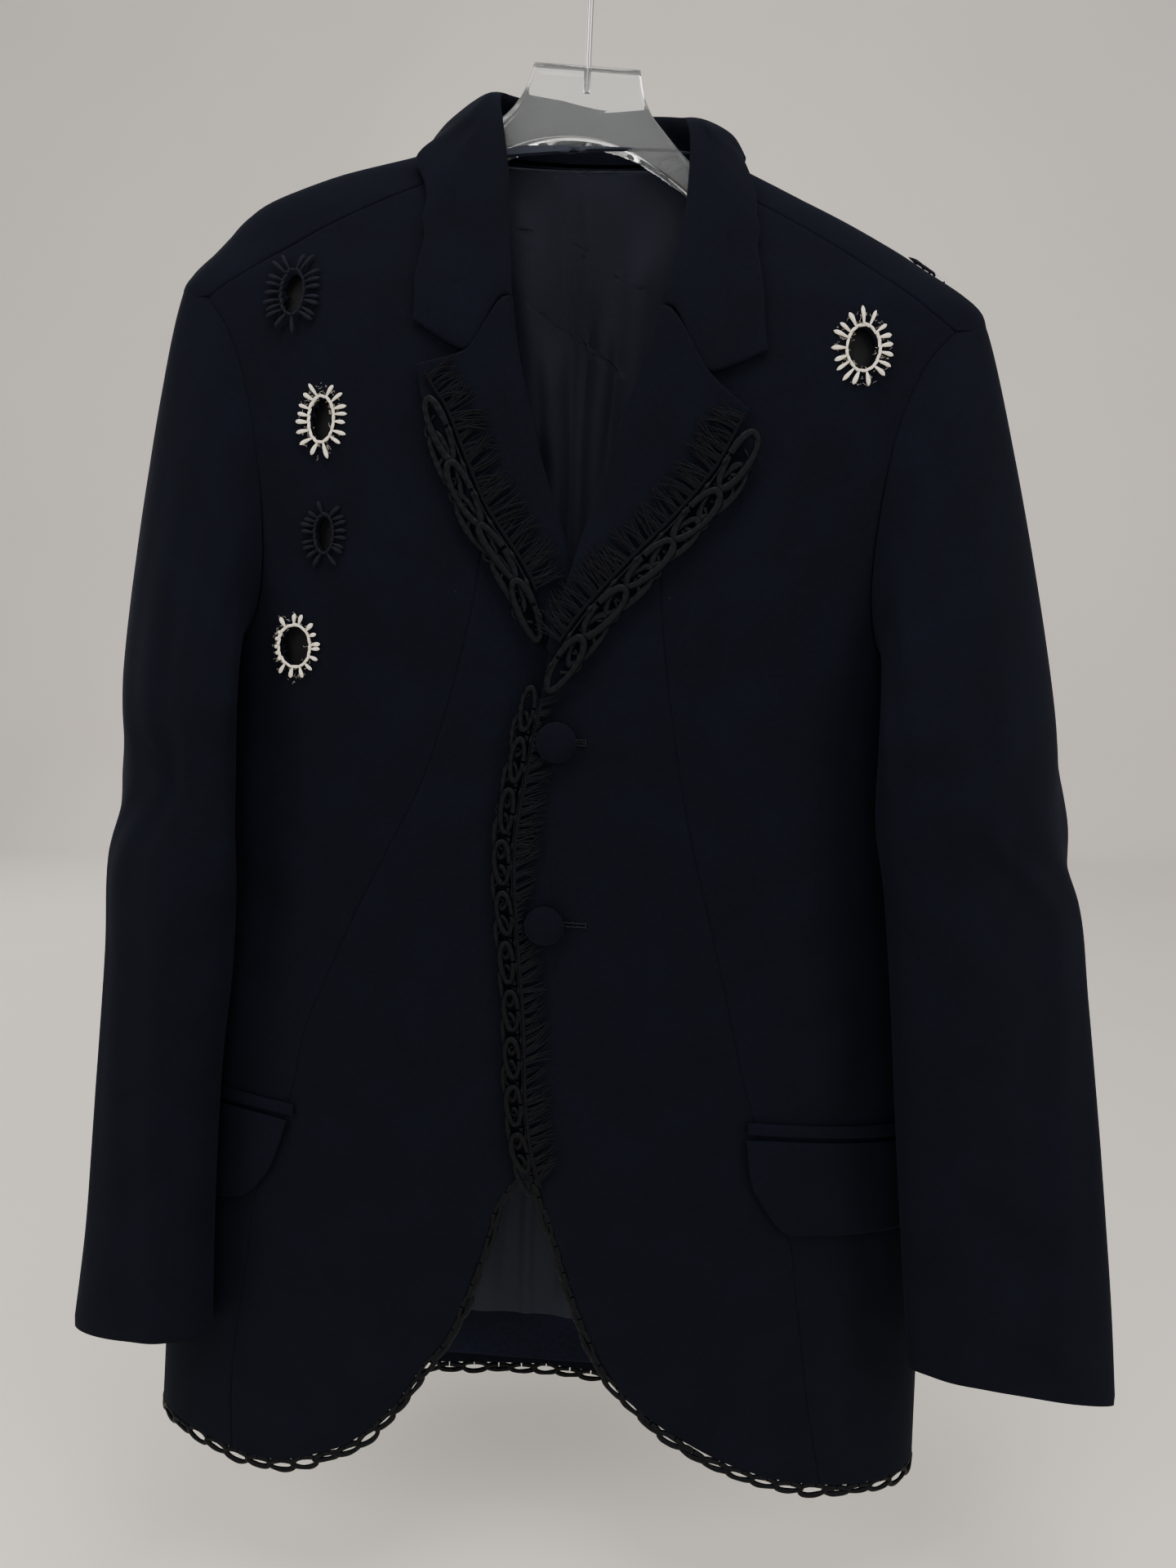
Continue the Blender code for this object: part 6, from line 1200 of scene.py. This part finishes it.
def cord_row(name, line, trim, top, lapped, sign, seed, knots=True, narrow=((0, 1), (1, 1))):
    """Rows of cord loops: every second loop lies over its neighbours, and thin arcs peep out behind.

    A loop at angle a stands along by its half length x cos a, and out by its half width x sin a, fuller
    at its first end; the cord is flat, and an upper loop's first end rises as it leaves its knot. Narrow
    pairs a share of the line with the share of their width that the loops keep there.
    """
    rng = np.random.default_rng(seed)
    rows = len(line) - 1
    count = round(rows * trim["pitch"] / trim["step"])
    space = rows / count
    middle = top - TRIM_WALL / 2
    angle = np.linspace(math.radians(-88), math.radians(266), 34)[None]
    parts = []
    double = bool(trim["under"])
    for first in (1, 0) if double else (0,):
        loops = np.arange(first, count, 2 if double else 1)[:, None]
        size = 1 + trim["uneven"] * rng.uniform(-1, 1, (len(loops), 1))
        skew = rng.uniform(-0.08, 0.08, (len(loops), 1)) * space
        along = np.cos(angle)
        at = (loops + 0.5) * space + trim["half"] / trim["pitch"] * along + skew * np.sin(angle)
        kept = np.interp((loops + 0.5) / count, *np.transpose(narrow))
        wide = trim["across"] * kept * size * np.sin(angle) * (1 - 0.26 * along * (np.sin(angle) > 0))
        out = trim["centre"] - trim["across"] * (1 - kept) + first * trim["under"] + wide
        out = out + 0.0004 * rng.uniform(-1, 1, (len(loops), 1))
        rise = (-0.0011 if first else 0.0009) if double else 0.0010 * along
        lift = middle + rise - (1 - first) * 0.0009 * along + 0.0002 * rng.uniform(-1, 1, (len(loops), 1))
        path, normal = beside(line, at, out, lift, lapped, sign)
        bulge = trim["cord"] * (1 + 0.10 * np.sin(angle * 2 + loops) + 0.05 * np.sin(angle * 5 + 2 * loops))
        parts.append(swept(path, bulge, 10, normal, squash=trim["flat"]))
    if trim["arc"]:
        share = np.linspace(0, 1, 13)[None]
        loops = np.arange(count)[:, None]
        at = (loops + 0.1 + 0.85 * share + rng.uniform(-0.16, 0.16, (count, 1))) * space
        crest = trim["width"] - trim["arc"] + 0.0010 * rng.uniform(-1, 1, (count, 1))
        out = crest - (crest - trim["centre"]) * (2 * np.abs(share - 0.5)) ** 2.2
        path, normal = beside(line, at, out, middle - 0.0014, lapped, sign)
        parts.append(swept(path, trim["arc"], 8, normal, squash=0.7))
    if knots:
        at = np.linspace(0, rows, 30 * rows + 1)[None]
        path, normal = beside(line, at, 0.0004, middle + 0.0010, lapped, sign)
        spots = (np.arange(0, count + 1) + rng.uniform(-0.10, 0.10, count + 1)) * space - 0.25 * space
        away = np.min(np.abs(at[0][:, None] - spots[None]), axis=1) * trim["pitch"]
        radius = 0.00065 + 0.0010 * np.exp(-(away / 0.0019) ** 2) + 0.00008 * np.sin(at[0] * 60)
        parts.append(swept(path, radius[None], 8, normal))
    return joined_piece(name, parts, cord)


def joined_piece(name, parts, finish, instead=True):
    """One piece from several sets of swept tubes, instead of the CAD's piece of that name if it has one."""
    verts, faces, maps = zip(*parts)
    starts = np.cumsum([0] + [len(part) for part in verts]).tolist()
    faces = [[i + start for i in face] for part, start in zip(faces, starts) for face in part]
    made = add_piece(name + "_worked", np.vstack(verts), faces, finish, uv=np.vstack(maps), sharp=80)
    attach(made, "root")
    if instead:
        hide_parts(name)
    return made


# Satin cord (rat tail): rayon filaments wound closely over a core, black with sharp silky gleams
cord, tree, shader = new_finish("satin_cord", "#030509", Roughness=0.42, Specular_IOR_Level=0.09)
where = add_node(tree, "UVMap", uv_map="cut")["UV"]
# the winding is 0.3 mm, and is drawn at 0.9 mm, at a slant round the cord
wound = add_node(tree, "Mapping", {"Vector": where, "Scale": (1.0, 1100.0, 1.0)})
turned = add_node(tree, "SeparateXYZ", {"Vector": wound["Vector"]})
slope = add_node(tree, "Math", {0: turned["X"], 1: 6.2832, 2: turned["Y"]}, operation="MULTIPLY_ADD")
ridge = add_node(tree, "Math", {0: slope["Value"]}, operation="SINE")
strands = add_node(tree, "TexNoise", {"Vector": wound["Vector"], "Scale": 1.3, "Detail": 2.0})
relief = add_node(tree, "Math", {0: ridge["Value"], 1: strands["Fac"]}, operation="ADD")
bump = add_node(tree, "Bump", {"Height": relief["Value"], "Strength": 0.4, "Distance": 0.0003})
tree.links.new(bump["Normal"], shader["Normal"])
gleam = add_node(tree, "MapRange", {"Value": strands["Fac"], "To Min": 0.40, "To Max": 0.60})
tree.links.new(gleam["Result"], shader["Roughness"])

# the hem's loops are small down the cutaway and full from its foot on
cutaway = ((0, 0.5), (0.38, 0.6), (0.5, 1), (1, 1))
# the left row begins a little higher, where the right front covers it
line = np.vstack([front_edge["left"][-2], hem["left"]])
cord_row("hem_trim_left", line, HEM_TRIM, FLAT_TOP, False, 1, 11, False, cutaway)
cord_row("hem_trim_right", hem["right"], HEM_TRIM, FLAT_TOP, True, -1, 12, False, cutaway)
back_line = np.vstack([back_hem["left"] + (4, 0), back_hem["right"][::-1][1:]])
cord_row("hem_trim_back", back_line, HEM_TRIM, FLAT_TOP, False, 1, 13, False)
cord_row("front_trim", front_edge["right"], FRONT_TRIM, FLAT_TOP, True, -1, 14)
for side, sign in SIDES:
    line = even_line(from_front(TRIM_LINE[side]), LAPEL_TRIM["pitch"])
    trim = LAPEL_TRIM if side == "right" else NARROW_TRIM
    top = LAPEL_LIFT[0] + TRIM_WALL + 0.0005
    cord_row("lapel_trim_" + side, line, trim, top, side == "right", sign, 16 + sign)

## Fringe
# The cut edge of a woven wool strip, frayed out into tufts of yarn and brushed back
# over the lapels and the front edge from the line of knots.
FRINGE_LINE = {
    "left": metres([
        (-77, -180), (-70.5, -190), (-63, -201), (-48.2, -234), (-39, -251.7), (-18, -280.7), (-11.5, -293)]),
    "right": metres([
        (97, -194.5), (91, -207.8), (81.1, -226.2), (63.1, -249.4), (37.6, -277.4), (15.6, -303.4),
        (4, -321)]),
}
BUTTONS = {"button_upper": (0.0040, -0.3755), "button_lower": (0.0013, -0.4803)}
BUTTON_RADIUS = 0.0113
# the strands gather in tufts this far apart
TUFT = 0.0062


def frayed(name, line, length, base, lapped, sign, slant, seed, spacing=0.00043):
    """Frayed yarn along a (turn, height) line: strands in tufts, each a curve of 7 points.

    A strand goes out by its length x share, and along by its slant x length x share, with a curl that
    grows with the share squared; it rises off the cloth by a half sine and settles on it again.
    """
    rng = np.random.default_rng(seed)
    total = lengths_along(on_body(line))[-1]
    count = int(total / spacing)
    rows = len(line) - 1
    root = np.sort(rng.uniform(0, rows, count))
    tuft = np.floor(root * total / rows / TUFT)
    picked = rng.uniform(-1, 1, (int(tuft.max()) + 1, 4))[tuft.astype(int)]
    middle = (tuft + 0.5) * TUFT * rows / total
    root = root + (middle - root) * 0.35
    share = np.linspace(0, 1, 7)[None]
    own = rng.uniform(-1, 1, (count, 5))
    spot = on_body(round_line(line, root))
    near = np.min([np.hypot(spot[:, 0] - x, spot[:, 2] - z) for x, z in BUTTONS.values()], axis=0)
    reach = length * (0.86 + 0.10 * picked[:, 0] + 0.16 * own[:, 0])
    reach = np.minimum(reach, np.maximum(near - BUTTON_RADIUS - 0.0006, 0.0035))
    way = slant + 0.22 * picked[:, 1] + 0.18 * own[:, 1]
    curl = 0.24 * picked[:, 2] + 0.26 * own[:, 2]
    pitch = total / rows
    out = reach[:, None] * share
    along = reach[:, None] * (way[:, None] * share + curl[:, None] * share ** 2) / pitch
    rise = 0.0016 + 0.0007 * own[:, 3:4] + 0.0006 * picked[:, 3:4]
    lift = base + rise * np.sin(share * 2.6) + 0.0004 * own[:, 4:5]
    path, normal = beside(line, root[:, None] + along, out, lift, lapped, sign)
    radius = 0.00036 * (1.1 - 0.75 * share ** 2) * (1 + 0.2 * own[:, 3:4])
    parts = [swept(path, radius, 4, normal)]
    at = np.linspace(0, rows, 30 * rows + 1)[None]
    path, normal = beside(line, at, 0.0006, base, lapped, sign)
    parts.append(swept(path, 0.0011 + 0.0003 * np.sin(at * 41), 6, normal))
    return joined_piece(name, parts, fray)


# Frayed worsted yarn: matt black-navy, fuzzy, each strand catching a little light on its back
fray, tree, shader = new_finish("frayed_worsted", "#05060A", "#6A7390", Roughness=0.85, Sheen_Weight=0.04,
                                Sheen_Roughness=0.45, Specular_IOR_Level=0.15)
where = add_node(tree, "UVMap", uv_map="cut")["UV"]
# the yarn's twist, one turn in 1.6 mm
twist = add_node(tree, "Mapping", {"Vector": where, "Scale": (6.2832, 3900.0, 1.0)})
turned = add_node(tree, "SeparateXYZ", {"Vector": twist["Vector"]})
slope = add_node(tree, "Math", {0: turned["X"], 1: turned["Y"]}, operation="ADD")
plies = add_node(tree, "Math", {0: slope["Value"]}, operation="SINE")
spot = add_node(tree, "TexCoord")["Object"]
cloud = add_node(tree, "TexNoise", {"Vector": spot, "Scale": 240.0, "Detail": 2.0})
relief_and_dye(tree, shader, plies["Value"], 0.3, 0.0002, cloud["Fac"], "#040508", "#0A0C12")

for side, sign in SIDES:
    line = even_line(from_front(FRINGE_LINE[side]), 0.0060)
    base = LAPEL_LIFT[0] + 0.0018
    frayed("lapel_fringe_" + side, line, 0.0195, base, side == "right", -sign, -0.10, 31 + sign)
line = even_line(front_edge["right"], 0.0060)
frayed("front_fringe", moved_aside(line, 0.0008), 0.0150, 0.0016, True, 1, -0.55, 35, 0.0005)

## Buttons and buttonholes
# Two buttons of pressed metal covered with the suit's own cloth, sewn on a shank of
# thread, and hand-worked buttonholes whose ends show beside them.
BUTTON_LIFT = 0.0034
BUTTON_SIDES = 64
# radius as a share and height, from the shank's foot up over the dome
BUTTON_PROFILE = metres([
    (0.24, -3.1), (0.3, -1.6), (0.34, -0.2), (0.7, -0.4), (0.9, 0), (0.985, 0.8), (1, 1.8), (0.96, 3.3),
    (0.86, 4.7), (0.7, 5.9), (0.5, 6.8), (0.28, 7.4), (0.1, 7.6), (0.002, 7.6)], plain=(0,))


def circle(angle):
    """Points of the unit circle at the angles."""
    return coords(np.cos(angle), np.sin(angle))


for name, spot in BUTTONS.items():
    place = from_front([spot])
    centre = laid(place, BUTTON_LIFT, True)[0]
    out = body_normal(place)[0]
    side_way = unit(np.cross(out, (0, 0, 1)))
    up = np.cross(side_way, out)
    profile = fine(BUTTON_PROFILE, 3)
    angle = np.linspace(0, 2 * math.pi, BUTTON_SIDES, endpoint=False)
    # small gathers where the cloth is drawn in under the rim
    drawn = 1 + 0.012 * np.sin(angle * 13) * np.exp(-((profile[:, 1:] - 0.0012) / 0.0012) ** 2)
    flat = (profile[:, :1] * BUTTON_RADIUS * drawn)[..., None] * circle(angle)
    grid = centre + flat @ np.stack([side_way, up]) + profile[:, 1, None, None] * out
    index = np.arange(len(profile) * BUTTON_SIDES).reshape(-1, BUTTON_SIDES)
    # looking from outside, side_way x up points inwards, so the rows are turned
    faces = ring_quads(index)[:, ::-1].tolist() + [index[0].tolist(), index[-1, ::-1].tolist()]
    button = add_piece(name + "_covered", grid.reshape(-1, 3), faces, wool, uv=flat.reshape(-1, 2), sharp=60)
    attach(button, "root")
    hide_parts(name)

# each buttonhole: x, height and length, and the heights of its rows of stitches from there
worked = []
for x, z, reach, rows_apart in ((0.0040, -0.3755, 0.0160, (0.0016, 0.0002, -0.0013)),
                                (0.0013, -0.4800, 0.0232, (0.0011, -0.0011))):
    along = np.linspace(0, 1, 40)
    for off in rows_apart:
        spots = coords(x + reach * along, z + off + 0.0002 * np.sin(along * 40))
        path = laid(from_front(spots), 0.0004, True)[None]
        worked.append(swept(path, 0.00045 + 0.00012 * np.sin(along * 150), 6))
    spots = [(x + reach, z + off) for off in np.linspace(-0.0020, 0.0020, 9)]
    worked.append(swept(laid(from_front(spots), 0.0004, True)[None], 0.00055, 6))
# a row of small stitches holds the facing, 22 mm in from the front edge
height = np.arange(-0.395, -0.635, -0.0048)
edge_x = np.interp(-height, -FRONT_EDGE["right"][:, 1], FRONT_EDGE["right"][:, 0]) + 0.0225
along = np.linspace(0, 1, 5)
spots = coords(edge_x[:, None], height[:, None] - 0.0030 * along)
path = laid(from_front(spots), 0.00002 + 0.00022 * np.sin(math.pi * along), True)
joined_piece("facing_stitches", [swept(path, 0.00022, 5)], fray, instead=False)
# Silk buttonhole twist: fine and glossy, near the cloth's colour
twist_thread, tree, shader = new_finish("silk_twist", "#0B0D13", Roughness=0.5, Specular_IOR_Level=0.12)
where = add_node(tree, "UVMap", uv_map="cut")["UV"]
# the purls of the stitches, 0.7 mm apart
purls = add_node(tree, "TexWave", {"Vector": where, "Scale": 230.0, "Distortion": 0.8}, bands_direction="Y")
relief_and_dye(tree, shader, purls["Fac"], 0.4, 0.0002, purls["Fac"], "#090B10", "#11141C")
joined_piece("buttonholes", worked, twist_thread, instead=False)

## Eyelets
# Ovals cut in the cloth and worked all round in thick wool yarn with a common
# buttonhole stitch: a ring of purls on the rim, and fat stitches that stand out from it.
EYELET_LIFT = 0.0009
STITCHES = {"eyelet_left_1": (19, "navy"), "eyelet_left_2": (16, "cream"), "eyelet_left_3": (17, "navy"),
            "eyelet_left_4": (17, "cream"), "eyelet_right_1": (17, "cream"), "eyelet_right_2": (17, "navy")}


def yarn(name, light, dark, tint):
    """Soft woollen yarn: two plies twisted, thick and felted, with fibres that blur its outline."""
    made, tree, shader = new_finish(name, light, tint, Roughness=0.92, Sheen_Weight=0.15, Sheen_Roughness=0.5,
                                    Specular_IOR_Level=0.2)
    where = add_node(tree, "UVMap", uv_map="cut")["UV"]
    # the plies go round once in 5 mm
    wound = add_node(tree, "Mapping", {"Vector": where, "Scale": (12.566, 1250.0, 1.0)})
    turned = add_node(tree, "SeparateXYZ", {"Vector": wound["Vector"]})
    slope = add_node(tree, "Math", {0: turned["X"], 1: turned["Y"]}, operation="ADD")
    plies = add_node(tree, "Math", {0: slope["Value"]}, operation="SINE")
    spot = add_node(tree, "TexCoord")["Object"]
    fibres = add_node(tree, "TexNoise", {"Vector": spot, "Scale": 1700.0, "Detail": 3.0})
    relief = add_node(tree, "Math", {0: plies["Value"], 1: 0.35, 2: fibres["Fac"]}, operation="MULTIPLY_ADD")
    mixed = add_node(tree, "MapRange", {"Value": fibres["Fac"], "From Min": 0.3, "From Max": 0.65})
    relief_and_dye(tree, shader, relief["Value"], 0.5, 0.0004, mixed["Result"], dark, light)
    return made


yarns = {"cream": yarn("cream_wool_yarn", "#E4DFD3", "#C9C1AE", "#FFFAF0"),
         "navy": yarn("navy_wool_yarn", "#0A0D18", "#05060B", "#4A5678")}
for number, (name, (stitches, colour)) in enumerate(STITCHES.items()):
    _, back, (centre, hole, reach) = EYELETS[name]
    rng = np.random.default_rng(50 + number)
    hole = hole + 0.0002
    # even steps round the oval, by its length, and the way straight out from it at each
    round_oval = np.linspace(0, 2 * math.pi, 721)
    walked = lengths_along((hole + reach) / 2 * circle(round_oval))
    share = (np.arange(stitches) + 0.5 + 0.22 * rng.uniform(-1, 1, stitches)) / stitches
    angle = np.interp(share * walked[-1], walked, round_oval)
    rim = circle(angle) * (hole + 0.0008)
    way = unit(rim / hole ** 2)
    way = unit(way + 0.16 * rng.uniform(-1, 1, (stitches, 1)) * way[:, ::-1] * (-1, 1))
    fuller = 0.10 * (np.abs(np.sin(angle)) > 0.8)
    long = np.mean(reach - hole) * (1 + 0.13 * rng.uniform(-1, 1, stitches) + fuller)
    # this one's stitches on the sleeve's side are short
    if name == "eyelet_left_4":
        long = np.where(np.cos(angle) < -0.55, 0.35 * long, long)
    share = np.linspace(0, 1, 10)
    out = 0.0004 + (long - 0.0010)[:, None] * share
    spots = centre + rim[:, None] + way[:, None] * out[..., None]
    place = from_front(spots, back)
    lift = EYELET_LIFT + 0.0006 + 0.0007 * np.sin(share * 2.7)[None]
    path, normal = laid(place, lift), body_normal(place)
    fat = np.interp(share, [0, 0.15, 0.35, 0.6, 0.8, 0.93, 1.0],
                    [0.0005, 0.0006, 0.0009, 0.00118, 0.0011, 0.0007, 0.0002])
    parts = [swept(path, fat[None] * (1 + 0.13 * rng.uniform(-1, 1, (stitches, 1))), 9, normal, squash=0.85)]
    # purls: each an oblong link from one stitch to the next, its end over the next one's start
    share = np.linspace(-0.12, 1.12, 9)[None]
    after = np.roll(angle, -1) + np.where(np.arange(stitches) == stitches - 1, 2 * math.pi, 0)
    turn = angle[:, None] + share * (after - angle)[:, None]
    slip = 0.0005 * (share - 0.5) + 0.0002 * rng.uniform(-1, 1, (stitches, 1))
    spots = centre + (hole + 0.0008 + slip[..., None]) * circle(turn)
    place = from_front(spots, back)
    path, normal = laid(place, EYELET_LIFT + 0.0009 + 0.0007 * (share - 0.5)), body_normal(place)
    fat = 0.00055 + 0.00032 * np.sin(np.clip(share, 0, 1) * math.pi)
    parts.append(swept(path, fat * (1 + 0.12 * rng.uniform(-1, 1, (stitches, 1))), 8, normal))
    # loose fibres that stand out from the stitches and over the hole
    hairs = 110
    turn = rng.uniform(0, 2 * math.pi, (hairs, 1))
    away = rng.uniform(-0.15, 0.95, (hairs, 1))
    share = np.linspace(0, 1, 6)[None]
    wander = np.cumsum(rng.normal(0, 0.00055, (hairs, 6, 2)), axis=1)
    start = hole + (reach - hole) * away[..., None]
    spots = centre + start * circle(turn) + wander
    place = from_front(spots, back)
    lift = EYELET_LIFT + 0.0014 + 0.0016 * share * rng.uniform(0.1, 1, (hairs, 1))
    path, normal = laid(place, lift), body_normal(place)
    parts.append(swept(path, 0.00004, 3, normal))
    joined_piece(name, parts, yarns[colour])

## Room
# A plain pale wall that curves into a plain pale floor, soft studio light from five
# large lamps, and the camera where the picture was taken from.

# Matt paper, as a studio roll: even, with the faintest cloud
paper, tree, shader = new_finish("matt_paper", "#E6DFD6", Roughness=0.9, Specular_IOR_Level=0.2)
where = add_node(tree, "TexCoord")["Object"]
cloud = add_node(tree, "TexNoise", {"Vector": where, "Scale": 3.0, "Detail": 2.0})
dark, light = linear("#E3DCD3"), linear("#E9E3DB")
tone = add_node(tree, "Mix", {0: cloud["Fac"], 6: dark, 7: light}, data_type="RGBA")
tree.links.new(tone[2], shader["Base Color"])
FLOOR = -1.06
WALL = 2.6
BEND = 0.25
bend = np.radians(np.linspace(0, 90, 13))
round_foot = (WALL - BEND, FLOOR + BEND) + BEND * circle(bend)[:, ::-1] * (1, -1)
profile = np.vstack([(-4, FLOOR), round_foot, (WALL, 3.2)])
across = np.linspace(-4, 4, 9)
grid = coords(across, profile[:, :1], profile[:, 1:])
faces = grid_quads(*grid.shape[:2])[:, ::-1].tolist()
add_piece("paper_roll", grid.reshape(-1, 3), faces, paper, place=np.eye(4))

world = bpy.data.worlds.new("soft_room")
bpy.context.scene.world = world
world.use_nodes = True
sky = world.node_tree.nodes["Background"].inputs
sky["Color"].default_value = linear("#E9ECF2")
sky["Strength"].default_value = 0.55
for name, place, aim, size, power in (("left_lamp", (-1.5, -1.5, 0.7), (0.0, 0.0, -0.45), 1.4, 27.0),
                                      ("right_lamp", (1.7, -1.4, 0.4), (0.0, 0.0, -0.5), 1.4, 24.0),
                                      ("top_lamp", (0.1, -0.7, 1.5), (0.0, 0.0, -0.3), 1.2, 34.0),
                                      ("back_lamp", (-1.7, 1.9, 0.6), (0.0, 0.0, -0.4), 1.4, 22.0),
                                      ("front_lamp", (0.15, -2.2, -0.45), (0.0, 0.0, -0.5), 1.0, 13.0)):
    lamp = bpy.data.lights.new(name, "AREA")
    lamp.shape = "DISK"
    lamp.size = size
    lamp.energy = power
    lamp.color = linear("#FFF9F2")[:3]
    held = bpy.data.objects.new(name, lamp)
    held.location = place
    way = np.array(aim) - np.array(place)
    held.rotation_euler = (math.atan2(math.hypot(way[0], way[1]), -way[2]), 0, math.atan2(-way[0], way[1]))
    bpy.context.scene.collection.objects.link(held)

lens = bpy.data.cameras.new("picture")
lens.sensor_fit = "VERTICAL"
lens.sensor_height = 36.0
lens.lens = 27.04
camera = bpy.data.objects.new("picture", lens)
turned = math.radians(3.5)
camera.location = (0.72 * math.sin(turned), -0.72 * math.cos(turned), -0.403)
camera.rotation_euler = (math.radians(81.6), 0, turned)
bpy.context.scene.collection.objects.link(camera)
bpy.context.scene.camera = camera
